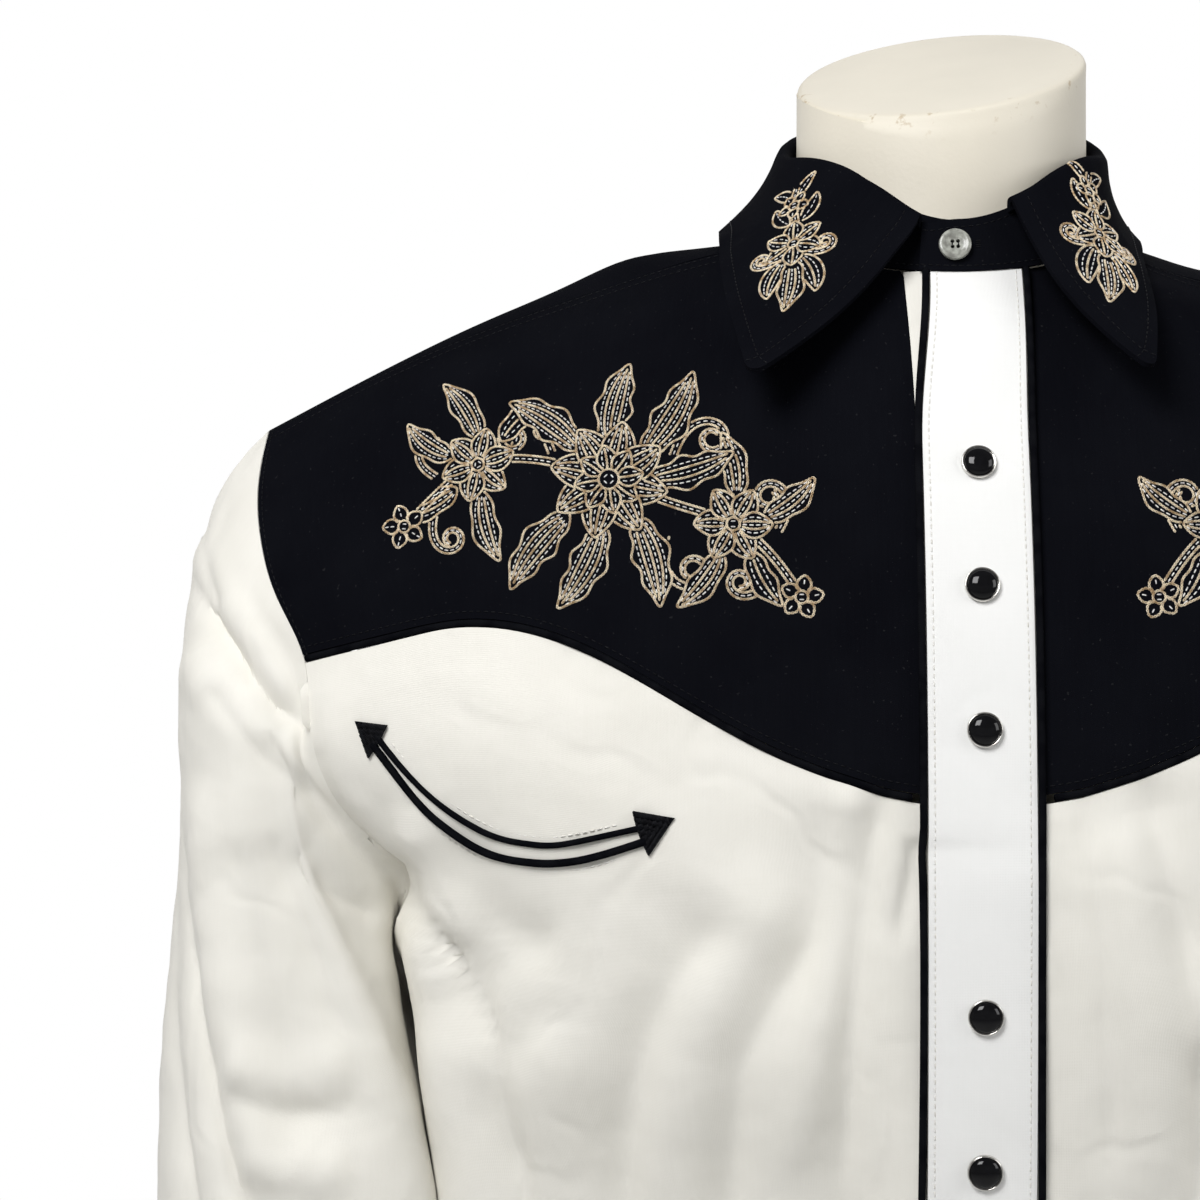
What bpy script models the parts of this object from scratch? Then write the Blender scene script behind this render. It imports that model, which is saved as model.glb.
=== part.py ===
"""Western snap shirt on a limbless dress form.

Metres, +Z up, the chest faces -Y, so +X is the wearer's left. The origin is the middle of the stand's
foot, on the surface it stands on.

Each cloth piece is a thin wall outside one continuous inner surface. Rows of that surface run up the
body from the hem, and columns run from the button edge, or the middle of the back, to the side seam
and the armhole. Half of the body is worked out with x counted away from the middle, then put on its
side: side is -1 for the wearer's right and +1 for the left.
"""

import math

import bmesh
import bpy
import numpy as np
from mathutils import Matrix, Vector
from mathutils.bvhtree import BVHTree

# ---- cloth -------------------------------------------------------------------------------------
CLOTH = 0.0012  # shirting, with its seam allowances
DOUBLE_CLOTH = 0.0018  # interfaced pieces: collar and cuffs
GAP = 0.0003  # between pieces at a seam
PIPING_R = 0.0013
PIPING_CLEAR_X = 0.0219  # the yoke pipings start this far out, beside the placket's
PIPING_END_GAP = 0.0010

# ---- heights -----------------------------------------------------------------------------------
UNDERARM_Z = 0.748
CHEST_Z = 0.804  # the rings below it are level, the columns above it arch to the shoulder
HEM_SIDE_Z = 0.338
HEM_FRONT_Z = 0.262
HEM_BACK_Z = 0.246
SIDE_Y = 0.005  # the side seam

# ---- neck, collar and shoulder -----------------------------------------------------------------
NECK_CENTRE_X = -0.0030  # the neck leans a little towards the wearer's right
# Level rings round the neck: half width, depth in front and behind, height at the side, and how far
# the front lies below the side (tilt + dip) and the back above it (tilt - dip).
NECKLINE = {
    "half_width": 0.0630,
    "front": 0.070,
    "back": 0.066,
    "side_z": 1.044,
    "tilt": 0.019,
    "dip": 0.007,
}
BAND_TOP = {
    "half_width": 0.0562,
    "front": 0.0655,
    "back": 0.058,
    "side_z": 1.0670,
    "tilt": 0.0260,
    "dip": 0.0049,
}
SHOULDER_SEAM_ANGLE = math.radians(65)  # round the neck from the front, where the shoulder seam starts
LEFT_SHOULDER_DROP = 0.010  # the wearer's left shoulder slopes more steeply beside the neck
BAND_START = math.radians(-12)  # the band's outer end, just past the middle of the front
BAND_END = math.radians(375)
BAND_LAP = 0.0025  # how far the outer end stands out over the inner one
BAND_SEAM_GAP = 0.0006
BAND_LEAN = 0.30  # how far the band leans in for its height
BAND_COLUMNS = 34
NECKLINE_TRIM = {"front": 0.0024, "back": 0.0036}  # the yokes end this far short of the band
LEAF_CORNER = math.radians(19)  # where each collar leaf starts, round the neck from the front
FALL_COLUMNS = 26
FALL_BELLY = -0.003
FALL_REST = 0.0026  # the fall's clearance over the yokes
LEAF_BOW = 0.0045  # how far a leaf's front edge bows out

# ---- front opening -----------------------------------------------------------------------------
OPENING_HALF = 0.0188  # the front panels end here, beside the button stand
OPENING_HALF_TOP = {-1: 0.0222, 1: 0.0206}
PLACKET_HALF = 0.0180
PLACKET_TOP_NARROWER = 0.0020
PLACKET_CENTRE_X = -0.0004
PLACKET_TOP_SHIFT = 0.0035
PLACKET_TOP_TRIM = 0.0010
TOP_TAPER = (0.955, 1.018)  # between these heights the opening widens and the placket shifts
SNAP_CENTRE_X = 0.0004
SNAP_Z = (0.9487, 0.9070, 0.8587, 0.7636, 0.7117, 0.6600, 0.6085, 0.5570, 0.5055, 0.4540, 0.4025)
BUTTON_X = -0.0043
BUTTON_Z = 1.0272
BUTTON_R = 0.0058
BUTTON_THICKNESS = 0.0024

# A snap's cap from its middle to its rim, and down to the cloth.
SNAP_PROFILE = (
    # radius, height
    (0.0000, 0.0031),
    (0.0034, 0.0025),
    (0.0049, 0.0013),
    (0.0060, 0.0011),
    (0.0060, 0.0000),
    (0.0000, 0.0000),
)
SNAP_STEPS = 10

# ---- stand and form ----------------------------------------------------------------------------
FOOT_R = 0.170
FOOT_H = 0.010
POLE_R = 0.016
POLE_TOP_Z = 0.2117
NECK_CUT_Z = 1.1025
NECK_CUT_SLOPE_X = 0.121
NECK_CUT_SLOPE_Y = 0.458

# ---- mesh density ------------------------------------------------------------------------------
FRONT_COLUMNS = 12
FRONT_NECKLINE_COLUMNS = 4  # of those, the ones that end on the neckline
BACK_COLUMNS = 13  # each side of the middle
BACK_NECKLINE_COLUMNS = 5
PLACKET_COLUMNS = 4
SKIRT_ROWS = 7  # hem to underarm
UNDERARM_ROWS = 2  # underarm to chest
CHEST_ROWS = 3  # chest to yoke seam
YOKE_ROWS = 6  # yoke seam to shoulder
UNDERARM_ROW = SKIRT_ROWS
YOKE_ROW = SKIRT_ROWS + UNDERARM_ROWS + CHEST_ROWS

# Body rings, hem to chest: height, half width at the side seam, depth to the front and to the back.
BODY_RINGS = (
    # z, half_width, front, back
    (0.240, 0.2030, 0.1220, 0.1240),
    (0.340, 0.1990, 0.1200, 0.1200),
    (0.460, 0.1900, 0.1180, 0.1140),
    (0.580, 0.1855, 0.1190, 0.1120),
    (0.690, 0.1895, 0.1240, 0.1170),
    (0.757, 0.1990, 0.1270, 0.1215),
    (0.804, 0.2085, 0.1275, 0.1235),
    (0.830, 0.2105, 0.1275, 0.1235),
)
BODY_SQUARENESS = 2.75  # the exponent of the rings' outline: 2 is an ellipse

# The armhole seam, up from the underarm. Where x is None it lies on the body's ring.
ARMHOLE_FRONT = (
    # z, x, y
    (0.7480, None, 0.0050),
    (0.7650, None, -0.0150),
    (0.7850, None, -0.0350),
    (0.8040, None, -0.0520),
    (0.8140, 0.2128, -0.0600),
    (0.8282, 0.2216, -0.0680),
    (0.8425, 0.2276, -0.0740),
    (0.8575, 0.2320, -0.0755),
    (0.8744, 0.2337, -0.0740),
    (0.8825, 0.2352, -0.0710),
    (0.8984, 0.2438, -0.0660),
    (0.9201, 0.2528, -0.0530),
    (0.9426, 0.2573, -0.0345),
    (0.9543, 0.2578, -0.0220),
    (0.9655, 0.2575, -0.0080),
)
ARMHOLE_BACK = (
    # z, x, y
    (0.7480, None, 0.0050),
    (0.7650, None, 0.0290),
    (0.7850, None, 0.0490),
    (0.8040, None, 0.0640),
    (0.8220, 0.2150, 0.0760),
    (0.8420, 0.2245, 0.0830),
    (0.8620, 0.2320, 0.0840),
    (0.8800, 0.2375, 0.0795),
    (0.9000, 0.2440, 0.0705),
    (0.9200, 0.2500, 0.0570),
    (0.9400, 0.2545, 0.0380),
    (0.9560, 0.2570, 0.0140),
    (0.9655, 0.2575, -0.0080),
)

# The shoulder seam, out from the neck. It starts on the neckline.
SHOULDER_SEAM = (
    # x, y, z
    (0.0950, -0.0275, 1.0275),
    (0.1300, -0.0240, 1.0170),
    (0.1840, -0.0150, 0.9990),
    (0.2250, -0.0100, 0.9815),
    (0.2575, -0.0080, 0.9655),
)

# The yoke seams, out from the middle: half width and height.
YOKE_SEAM_FRONT = (
    # x, z
    (0.000, 0.8335),
    (0.021, 0.8355),
    (0.048, 0.8425),
    (0.077, 0.8545),
    (0.105, 0.8700),
    (0.128, 0.8827),
    (0.150, 0.8910),
    (0.170, 0.8940),
    (0.190, 0.8915),
    (0.210, 0.8865),
    (0.228, 0.8830),
    (0.240, 0.8790),
)
YOKE_SEAM_BACK = (
    # x, z
    (0.000, 0.8560),
    (0.030, 0.8640),
    (0.060, 0.8760),
    (0.095, 0.8890),
    (0.130, 0.8955),
    (0.165, 0.8950),
    (0.200, 0.8880),
    (0.240, 0.8790),
)

# The fall's lower edge, round the neck from the wearer's left leaf point to the right one.
# drop is how far its fold starts below the top of the band, on the band's outside.
COLLAR_EDGE = (
    # angle, x, y, z, drop
    (19, 0.0585, -0.1120, 0.9807, 0.002),
    (40, 0.0624, -0.0850, 1.0032, 0.000),
    (60, 0.0640, -0.0550, 1.0190, 0.000),
    (90, 0.0690, 0.0000, 1.0375, 0.000),
    (130, 0.0560, 0.0470, 1.0440, 0.000),
    (180, -0.0030, 0.0775, 1.0475, 0.000),
    (230, -0.0640, 0.0470, 1.0450, 0.000),
    (270, -0.0860, 0.0000, 1.0410, 0.000),
    (300, -0.0856, -0.0450, 1.0245, 0.003),
    (320, -0.0825, -0.0780, 1.0065, 0.007),
    (341, -0.0726, -0.1120, 0.9787, 0.010),
)
# The fold over the band, from the band's top edge out and down.
COLLAR_ROLL = (
    # out, up
    (0.0000, 0.0012),
    (0.0004, 0.0026),
    (0.0014, 0.0032),
    (0.0024, 0.0020),
)
FALL_ROWS = 5

# Soft folds, each from a high place to a low one; height is out from the cloth, or in where negative.
FRONT_FOLDS = (
    # x_high, z_high, x_low, z_low, half_width, height
    (-0.0400, 0.845, -0.0640, 0.560, 0.022, 0.0045),
    (-0.0620, 0.810, -0.0950, 0.560, 0.018, -0.0030),
    (-0.0950, 0.800, -0.1300, 0.470, 0.026, 0.0045),
    (-0.1560, 0.780, -0.1680, 0.450, 0.026, 0.0050),
    (0.0420, 0.840, 0.0600, 0.540, 0.022, 0.0040),
    (0.0900, 0.800, 0.1220, 0.480, 0.026, 0.0045),
    (0.1520, 0.760, 0.1620, 0.440, 0.028, 0.0050),
)
BACK_FOLDS = (
    # x_high, z_high, x_low, z_low, half_width, height
    (-0.1500, 0.870, -0.1180, 0.480, 0.030, 0.0050),
    (0.1550, 0.860, 0.1260, 0.460, 0.030, 0.0045),
    (-0.0450, 0.820, -0.0620, 0.400, 0.034, 0.0040),
    (0.0500, 0.830, 0.0560, 0.420, 0.034, 0.0040),
)
SLEEVE_FOLDS_FRONT = (
    # x_high, z_high, x_low, z_low, half_width, height
    (0.2820, 0.9080, 0.2260, 0.8480, 0.020, 0.0035),
    (0.2780, 0.8760, 0.2150, 0.8180, 0.020, -0.0050),
    (0.2890, 0.8450, 0.2420, 0.6600, 0.018, 0.0045),
    (0.2700, 0.8100, 0.2250, 0.6500, 0.016, -0.0030),
    (0.2880, 0.6500, 0.2150, 0.5900, 0.024, 0.0045),
    (0.2820, 0.5300, 0.2150, 0.5600, 0.022, 0.0040),
    (0.2780, 0.4700, 0.2200, 0.4400, 0.022, 0.0035),
)
SLEEVE_FOLDS_BACK = (
    # x_high, z_high, x_low, z_low, half_width, height
    (0.2850, 0.8900, 0.2250, 0.8200, 0.022, 0.0040),
    (0.2880, 0.8200, 0.2400, 0.6700, 0.022, 0.0040),
    (0.2880, 0.6300, 0.2150, 0.6000, 0.024, 0.0045),
    (0.2820, 0.5200, 0.2150, 0.5000, 0.022, 0.0040),
)

# The smile pocket: its two cords between the arrowheads, which start with their points.
POCKET_UPPER_CORD = (
    # x, z
    (0.2047, 0.8524),
    (0.1985, 0.8445),
    (0.1876, 0.8340),
    (0.1766, 0.8263),
    (0.1648, 0.8208),
    (0.1539, 0.8188),
    (0.1441, 0.8185),
    (0.1316, 0.8210),
    (0.1160, 0.8250),
)
POCKET_LOWER_CORD = (
    # x, z
    (0.2063, 0.8497),
    (0.1986, 0.8396),
    (0.1885, 0.8282),
    (0.1768, 0.8195),
    (0.1650, 0.8141),
    (0.1522, 0.8123),
    (0.1441, 0.8123),
    (0.1316, 0.8145),
    (0.1148, 0.8203),
)
POCKET_CORD_R = {"upper": 0.0009, "lower": 0.0011}
POCKET_CORD_POINTS = 12
POCKET_LIFT = 0.0008  # the cords and arrowheads bridge the panel's curve
ARROWHEADS = {
    "outer": ((0.2149, 0.8595), (0.2031, 0.8584), (0.2100, 0.8469)),
    "inner": ((0.1028, 0.8287), (0.1166, 0.8308), (0.1112, 0.8161)),
}
ARROWHEAD_THICKNESS = 0.0007

# Sleeve rings, upper arm to cuff: the outer line, the under line, half depth and middle.
SLEEVE_RINGS = (
    # top_x, top_z, under_x, under_z, half_depth, y
    (0.2902, 0.8380, 0.2000, 0.6690, 0.0810, 0.003),
    (0.2912, 0.8080, 0.1985, 0.6480, 0.0805, 0.002),
    (0.2935, 0.7760, 0.1975, 0.6250, 0.0800, 0.000),
    (0.2953, 0.7420, 0.1970, 0.6000, 0.0795, -0.003),
    (0.2960, 0.7040, 0.1970, 0.5730, 0.0785, -0.006),
    (0.2955, 0.6620, 0.1975, 0.5450, 0.0770, -0.009),
    (0.2930, 0.5950, 0.2000, 0.4980, 0.0740, -0.014),
    (0.2900, 0.5300, 0.2040, 0.4530, 0.0695, -0.020),
    (0.2875, 0.4700, 0.2085, 0.4150, 0.0650, -0.025),
    (0.2840, 0.4150, 0.2130, 0.3900, 0.0595, -0.030),
    (0.2800, 0.3700, 0.2200, 0.3690, 0.0540, -0.033),
)
SLEEVE_SEAM_ROWS = 4
# Rows of the sleeve head between the armhole and the first ring, as shares of the way.
SLEEVE_HEAD_ROWS = (0.06, 0.14, 0.24, 0.36, 0.50, 0.66, 0.83)
# How the sleeve leaves the armhole: on past the seam, out from the body, and down.
SLEEVE_SETTING = {
    # past, out, down
    "top": (1.00, 0.00, 0.47),
    "middle": (0.55, 0.12, 0.45),
    "under": (0.35, 0.50, 0.00),
}
SLEEVE_SQUARENESS = (0.90, 0.68)  # outer and inner half; power of their sine and cosine: 1 is an ellipse
SLEEVE_FLAT_SIDE = (0.35, 0.75)  # how far down the ring the inner side starts to lie flat, and is flat
SLEEVE_CLEAR = 0.0050  # between the body's inner surface and the sleeve's, where they hang side by side
# The side of the sleeve that hangs against the body, and how fully it lies flat there.
SLEEVE_INNER_SIDE = (
    # z, x, flat
    (0.370, 0.2200, 0.0),
    (0.450, 0.2060, 0.3),
    (0.520, 0.1970, 0.7),
    (0.600, 0.1900, 1.0),
    (0.686, 0.1866, 1.0),
    (0.719, 0.1905, 1.0),
    (0.760, 0.1926, 1.0),
    (0.785, 0.1985, 1.0),
    (0.804, 0.2080, 0.9),
    (0.830, 0.2220, 0.7),
    (0.860, 0.2330, 0.4),
    (0.890, 0.2400, 0.15),
    (0.920, 0.2520, 0.0),
)
CUFF_HEIGHT = 0.062
CUFF_LAP = 0.0024
CUFF_OPENING = 0.80  # round the cuff from its outer line, towards the front
CUFF_OVERLAP = 0.10
CUFF_COLUMNS = 28
CUFF_SNAP_SPACING = 0.034
CUFF_SNAP_LIFT = 0.0009  # the cuff curves away under a snap's flat back

# Dress form rings, bottom to neck.
FORM_RINGS = (
    # half_width, front, back, z_side, z_front, z_back
    (0.110, 0.070, 0.075, 0.212, 0.212, 0.212),
    (0.142, 0.090, 0.098, 0.216, 0.216, 0.216),
    (0.156, 0.098, 0.106, 0.232, 0.232, 0.232),
    (0.166, 0.102, 0.112, 0.300, 0.300, 0.300),
    (0.168, 0.102, 0.111, 0.370, 0.370, 0.370),
    (0.160, 0.099, 0.103, 0.455, 0.455, 0.455),
    (0.149, 0.096, 0.093, 0.545, 0.545, 0.545),
    (0.156, 0.102, 0.095, 0.640, 0.640, 0.640),
    (0.170, 0.112, 0.106, 0.735, 0.735, 0.735),
    (0.180, 0.116, 0.111, 0.800, 0.795, 0.800),
    (0.189, 0.115, 0.112, 0.850, 0.838, 0.850),
    (0.197, 0.110, 0.110, 0.896, 0.878, 0.895),
    (0.2020, 0.103, 0.104, 0.930, 0.912, 0.932),
    (0.2010, 0.095, 0.095, 0.957, 0.940, 0.962),
    (0.1900, 0.087, 0.0850, 0.978, 0.962, 0.986),
    (0.1680, 0.078, 0.0675, 0.9922, 0.980, 0.9975),
    (0.1380, 0.070, 0.0540, 1.0042, 0.993, 1.008),
    (0.1060, 0.063, 0.0510, 1.0165, 1.002, 1.020),
    (0.0780, 0.058, 0.0515, 1.0285, 1.011, 1.036),
    (0.0580, 0.055, 0.054, 1.0395, 1.022, 1.056),
    (0.0545, 0.053, 0.053, 1.0600, 1.042, 1.072),
    (0.0545, 0.053, 0.054, 1.0860, 1.058, 1.096),
)
FORM_POINTS = 26


# ---- curves through short tables ---------------------------------------------------------------
def smooth(at, xs, ys):
    """Values of a smooth curve through (xs, ys), with no overshoot between two points."""
    xs, ys, at = (np.asarray(v, float) for v in (xs, ys, at))
    slope = np.diff(ys) / np.diff(xs)
    tangent = np.empty_like(ys)
    tangent[0], tangent[-1] = slope[0], slope[-1]
    flat = slope[:-1] * slope[1:] <= 0
    both = np.where(flat, 1.0, slope[:-1] + slope[1:])
    tangent[1:-1] = np.where(flat, 0.0, 2 * slope[:-1] * slope[1:] / both)
    at = np.clip(at, xs[0], xs[-1])
    i = np.clip(np.searchsorted(xs, at) - 1, 0, len(xs) - 2)
    width = xs[i + 1] - xs[i]
    t = (at - xs[i]) / width
    return (
        ys[i] * (2 * t**3 - 3 * t**2 + 1)
        + ys[i + 1] * (3 * t**2 - 2 * t**3)
        + tangent[i] * width * (t**3 - 2 * t**2 + t)
        + tangent[i + 1] * width * (t**3 - t**2)
    )


def through(table, at, column):
    """One column of a table, read at a value of its first column."""
    rows = np.array(table, float)
    return smooth(at, rows[:, 0], rows[:, column])


def ease(value, low, high):
    """0 below low, 1 above high, and smooth between them."""
    t = np.clip((np.asarray(value, float) - low) / (high - low), 0.0, 1.0)
    return t * t * (3 - 2 * t)


def along(points, shares):
    """Points at these shares of the length of a line."""
    length = np.concatenate([[0.0], np.cumsum(np.linalg.norm(np.diff(points, axis=0), axis=1))])
    at = np.asarray(shares) * length[-1]
    return np.stack([np.interp(at, length, points[:, k]) for k in range(points.shape[1])], axis=-1)


def unit(vectors):
    return vectors / np.linalg.norm(vectors, axis=-1, keepdims=True)


# ---- the body's inner surface ------------------------------------------------------------------
def body_ring(z, back):
    """The plan of a body ring from its middle to the side seam, as many (x, y) points."""
    half = through(BODY_RINGS, z, 1)
    depth = through(BODY_RINGS, z, 3 if back else 2)
    turn = np.linspace(0, math.pi / 2, 97)
    power = 2 / BODY_SQUARENESS
    reach = depth - SIDE_Y if back else -(depth + SIDE_Y)
    return np.stack([half * np.sin(turn) ** power, SIDE_Y + reach * np.cos(turn) ** power], axis=1)


def body_x(y, z):
    """Half the body's width at this depth, below the chest."""
    ring = body_ring(z, y > SIDE_Y)
    order = np.argsort(ring[:, 1])
    return float(np.interp(y, ring[order, 1], ring[order, 0], left=0.0, right=0.0))


def opening_half(z, side):
    """From the middle of the front to the front panel's edge."""
    return OPENING_HALF + (OPENING_HALF_TOP[side] - OPENING_HALF) * float(ease(z, *TOP_TAPER))


def ring_row(heights, shares, back, side):
    """A row of the body below the chest: a point for each share of the way to the side or armhole."""
    row = []
    for z, share in zip(heights, shares):
        ring = body_ring(z, back)
        if z > UNDERARM_Z:
            edge_y = float(through([(r[0], r[2]) for r in (ARMHOLE_BACK if back else ARMHOLE_FRONT)], z, 1))
            keep = ring[:, 1] > edge_y if back else ring[:, 1] < edge_y
            last = int(keep.sum())
            t = (edge_y - ring[last - 1, 1]) / (ring[last, 1] - ring[last - 1, 1])
            ring = np.vstack([ring[:last], ring[last - 1] + t * (ring[last] - ring[last - 1])])
        length = np.linalg.norm(np.diff(ring, axis=0), axis=1).sum()
        start = 0.0 if back else opening_half(z, side) / length
        x, y = along(ring, start + share * (1 - start))
        row.append((x, y, z))
    return np.array(row)


def neck_point(ring, angle, centre_x=NECK_CENTRE_X):
    """A point of a ring round the neck, by the angle from the front towards the wearer's left."""
    c = math.cos(angle)
    depth = ring["front"] if c > 0 else ring["back"]
    z = ring["side_z"] - ring["tilt"] * c - ring["dip"] * c * c
    return np.array([centre_x + ring["half_width"] * math.sin(angle), -depth * c, z])


def shoulder_drop(x, side):
    """How far the wearer's left shoulder lies below the right one, x out from the middle."""
    if side < 0:
        return 0.0
    return LEFT_SHOULDER_DROP * float(ease(x, 0.03, 0.09) * (1 - ease(x, 0.14, 0.25)))


def column_counts(back):
    """How many columns a half has, and how many of them end on the neckline."""
    if back:
        return BACK_COLUMNS, BACK_NECKLINE_COLUMNS
    return FRONT_COLUMNS, FRONT_NECKLINE_COLUMNS


def top_edge(back, side):
    """The upper ends of the columns: along the neckline, then along the shoulder seam."""
    columns, neckline = column_counts(back)
    centre = side * NECK_CENTRE_X
    if back:
        start = math.pi - math.asin(-centre / NECKLINE["half_width"])
    else:
        start = math.asin((OPENING_HALF_TOP[side] - centre) / NECKLINE["half_width"])
    points = [neck_point(NECKLINE, a, centre) for a in np.linspace(start, SHOULDER_SEAM_ANGLE, neckline + 1)]
    seam = [tuple(points[-1])] + list(SHOULDER_SEAM)
    for x in np.linspace(seam[0][0], seam[-1][0], columns - neckline + 1)[1:]:
        points.append(np.array([x, through(seam, x, 1), through(seam, x, 2)]))
    return np.array([p - np.array([0.0, 0.0, shoulder_drop(p[0], side)]) for p in points])


def arch(bottom, top, sweep, turn):
    """A point of a column above the chest: upright at the bottom, leaning over towards the top."""
    h = (1 - math.cos(turn)) / (1 - math.cos(sweep))
    v = math.sin(turn) / math.sin(sweep)
    return bottom + (top - bottom) * np.array([h, h, v])


def body_half(back, side):
    """The inner surface of half the front or half the back, hem to shoulder, as rows of points."""
    columns, neckline = column_counts(back)
    split = 0.58 if back else 0.27
    shares = np.concatenate(
        [np.linspace(0, split, neckline + 1), np.linspace(split, 1, columns - neckline + 1)[1:]]
    )
    middle = HEM_BACK_Z if back else HEM_FRONT_Z
    hem = middle + (HEM_SIDE_Z - middle) * ease(shares, 0.35, 1.0)
    rows = [
        ring_row(hem + (UNDERARM_Z - hem) * (i / SKIRT_ROWS), shares, back, side) for i in range(SKIRT_ROWS)
    ]
    for z in np.linspace(UNDERARM_Z, CHEST_Z, UNDERARM_ROWS + 1):
        rows.append(ring_row(np.full(len(shares), z), shares, back, side))
    chest, top = rows[-1], top_edge(back, side)
    sweeps = (62, 98, 104, 94) if back else (58, 76, 77, 82)
    sweep = np.radians(np.interp(np.arange(columns + 1), [0, neckline, neckline + 2, columns], sweeps))
    armhole = [row for row in (ARMHOLE_BACK if back else ARMHOLE_FRONT) if row[1] is not None]
    armhole = [(chest[-1][2], chest[-1][0], chest[-1][1])] + armhole
    seam_table = YOKE_SEAM_BACK if back else YOKE_SEAM_FRONT

    def point(c, turn):
        """A point of column c; the outer columns are drawn out to the armhole."""
        p = arch(chest[c], top[c], sweep[c], turn)
        edge = arch(chest[-1], top[-1], sweep[-1], turn / sweep[c] * sweep[-1])
        off = [through(armhole, edge[2], k) - edge[k - 1] for k in (1, 2)]
        return p + shares[c] ** 3 * np.array([off[0], off[1], 0.0])

    def seam_turn(c):
        """Where column c crosses the yoke seam, found by halving."""
        low, high = 0.0, sweep[c]
        for _ in range(30):
            turn = (low + high) / 2
            p = point(c, turn)
            below = p[2] < through(seam_table, p[0], 1)
            low, high = (turn, high) if below else (low, turn)
        return low

    seam = [seam_turn(c) for c in range(columns + 1)]
    for i in range(1, CHEST_ROWS + 1):
        rows.append(np.array([point(c, seam[c] * i / CHEST_ROWS) for c in range(columns + 1)]))
    for i in range(1, YOKE_ROWS + 1):
        rows.append(
            np.array([point(c, seam[c] + (sweep[c] - seam[c]) * i / YOKE_ROWS) for c in range(columns + 1)])
        )
    return np.array(rows) * np.array([side, 1.0, 1.0])


# ---- normals and walls -------------------------------------------------------------------------
def grid_normals(grid, outward, closed=False):
    """Unit normals of a grid of points; outward is +1 or -1."""
    if closed:
        across = np.roll(grid, -1, axis=1) - np.roll(grid, 1, axis=1)
    else:
        across = np.gradient(grid, axis=1)
    return unit(np.cross(across, np.gradient(grid, axis=0)) * outward)


def across_seam(x, x_other, normals_other):
    """Normals of the other piece at these places along the seam."""
    order = np.argsort(x_other)
    return np.stack([np.interp(x, x_other[order], normals_other[order, k]) for k in range(3)], axis=1)


def folded(grid, normals, folds, face, seam_rows=0):
    """The grid with soft folds on the part of it that faces the front (face -1) or the back (1).

    The folds grow from nothing at the first row to their full height this many rows on.
    """
    rise = np.zeros(grid.shape[:2])
    for x_high, z_high, x_low, z_low, half_width, height in folds:
        run = np.array([x_low - x_high, z_low - z_high])
        offset = grid[..., [0, 2]] - np.array([x_high, z_high])
        share = offset @ run / (run @ run)
        away = np.linalg.norm(offset - share[..., None] * run, axis=-1)
        fade = ease(share, 0.0, 0.25) * (1 - ease(share, 0.7, 1.0))
        rise += height * fade * np.exp(-((away / half_width) ** 2))
    rise *= np.clip(normals[..., 1] * face * 1.6, 0.0, 1.0)
    if seam_rows:
        rise *= ease(np.arange(len(grid)), 0, seam_rows)[:, None]
    return grid + normals * rise[..., None]


def body_surfaces(side):
    """The half's front and back with their normals, which are shared along the seams between them."""
    front, back = body_half(False, side), body_half(True, side)
    front = folded(front, grid_normals(front, side), FRONT_FOLDS, -1)
    back = folded(back, grid_normals(back, -side), BACK_FOLDS, 1)
    front_n, back_n = grid_normals(front, side), grid_normals(back, -side)
    for normals in (front_n, back_n):
        normals[:, 0, 0] = 0.0
        normals[:, 0] = unit(normals[:, 0])
    skirt = slice(0, UNDERARM_ROW + 1)
    shared = unit(front_n[skirt, -1] + back_n[skirt, -1])
    front_n[skirt, -1], back_n[skirt, -1] = shared, shared
    f, b = slice(FRONT_NECKLINE_COLUMNS, None), slice(BACK_NECKLINE_COLUMNS, None)
    x_front, x_back = front[-1, f, 0], back[-1, b, 0]
    shared = unit(front_n[-1, f] + across_seam(x_front, x_back, back_n[-1, b]))
    back_n[-1, b] = unit(across_seam(x_back, x_front, shared))
    front_n[-1, f] = shared
    return front, front_n, back, back_n


def pulled_in(grid, **trims):
    """The grid with its edges moved into the piece by these lengths: first_row, last_row and so on."""
    source, grid = grid, grid.copy()
    grid[0] += unit(source[1] - source[0]) * trims.get("first_row", 0.0)
    grid[-1] += unit(source[-2] - source[-1]) * trims.get("last_row", 0.0)
    grid[:, 0] += unit(source[:, 1] - source[:, 0]) * trims.get("first_column", 0.0)
    grid[:, -1] += unit(source[:, -2] - source[:, -1]) * trims.get("last_column", 0.0)
    return grid


def off_neck(edge, normals, last, amount):
    """A yoke's upper edge, with its part along the neckline moved away from the band."""
    moved = edge.copy()
    ahead = np.gradient(edge, axis=0)
    for c in range(last):
        out = np.array([ahead[c, 1], -ahead[c, 0], 0.0])
        out *= math.copysign(1.0, out[:2] @ edge[c, :2])
        out -= (out @ normals[c]) * normals[c]
        moved[c] += unit(out) * amount
    moved[last] += unit(edge[last + 1] - edge[last]) * amount
    return moved


def material(name, colour, roughness, metallic=0.0):
    made = bpy.data.materials.new(name)
    made.use_nodes = True
    shader = made.node_tree.nodes["Principled BSDF"]
    shader.inputs["Base Color"].default_value = (*colour, 1.0)
    shader.inputs["Roughness"].default_value = roughness
    shader.inputs["Metallic"].default_value = metallic
    made.diffuse_color = (*colour, 1.0)
    return made


def new_object(name, data, made):
    data.materials.append(made)
    obj = bpy.data.objects.new(name, data)
    SHIRT.objects.link(obj)
    return obj


def finish_mesh(name, bm, made):
    """Turns a bmesh into an object of the shirt, with its faces pointing out."""
    bmesh.ops.recalc_face_normals(bm, faces=bm.faces)
    if bm.calc_volume(signed=True) < 0:
        bmesh.ops.reverse_faces(bm, faces=bm.faces)
    mesh = bpy.data.meshes.new(name)
    bm.to_mesh(mesh)
    bm.free()
    mesh.shade_smooth()
    mesh.set_sharp_from_angle(angle=math.radians(40))
    return new_object(name, mesh, made)


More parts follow.
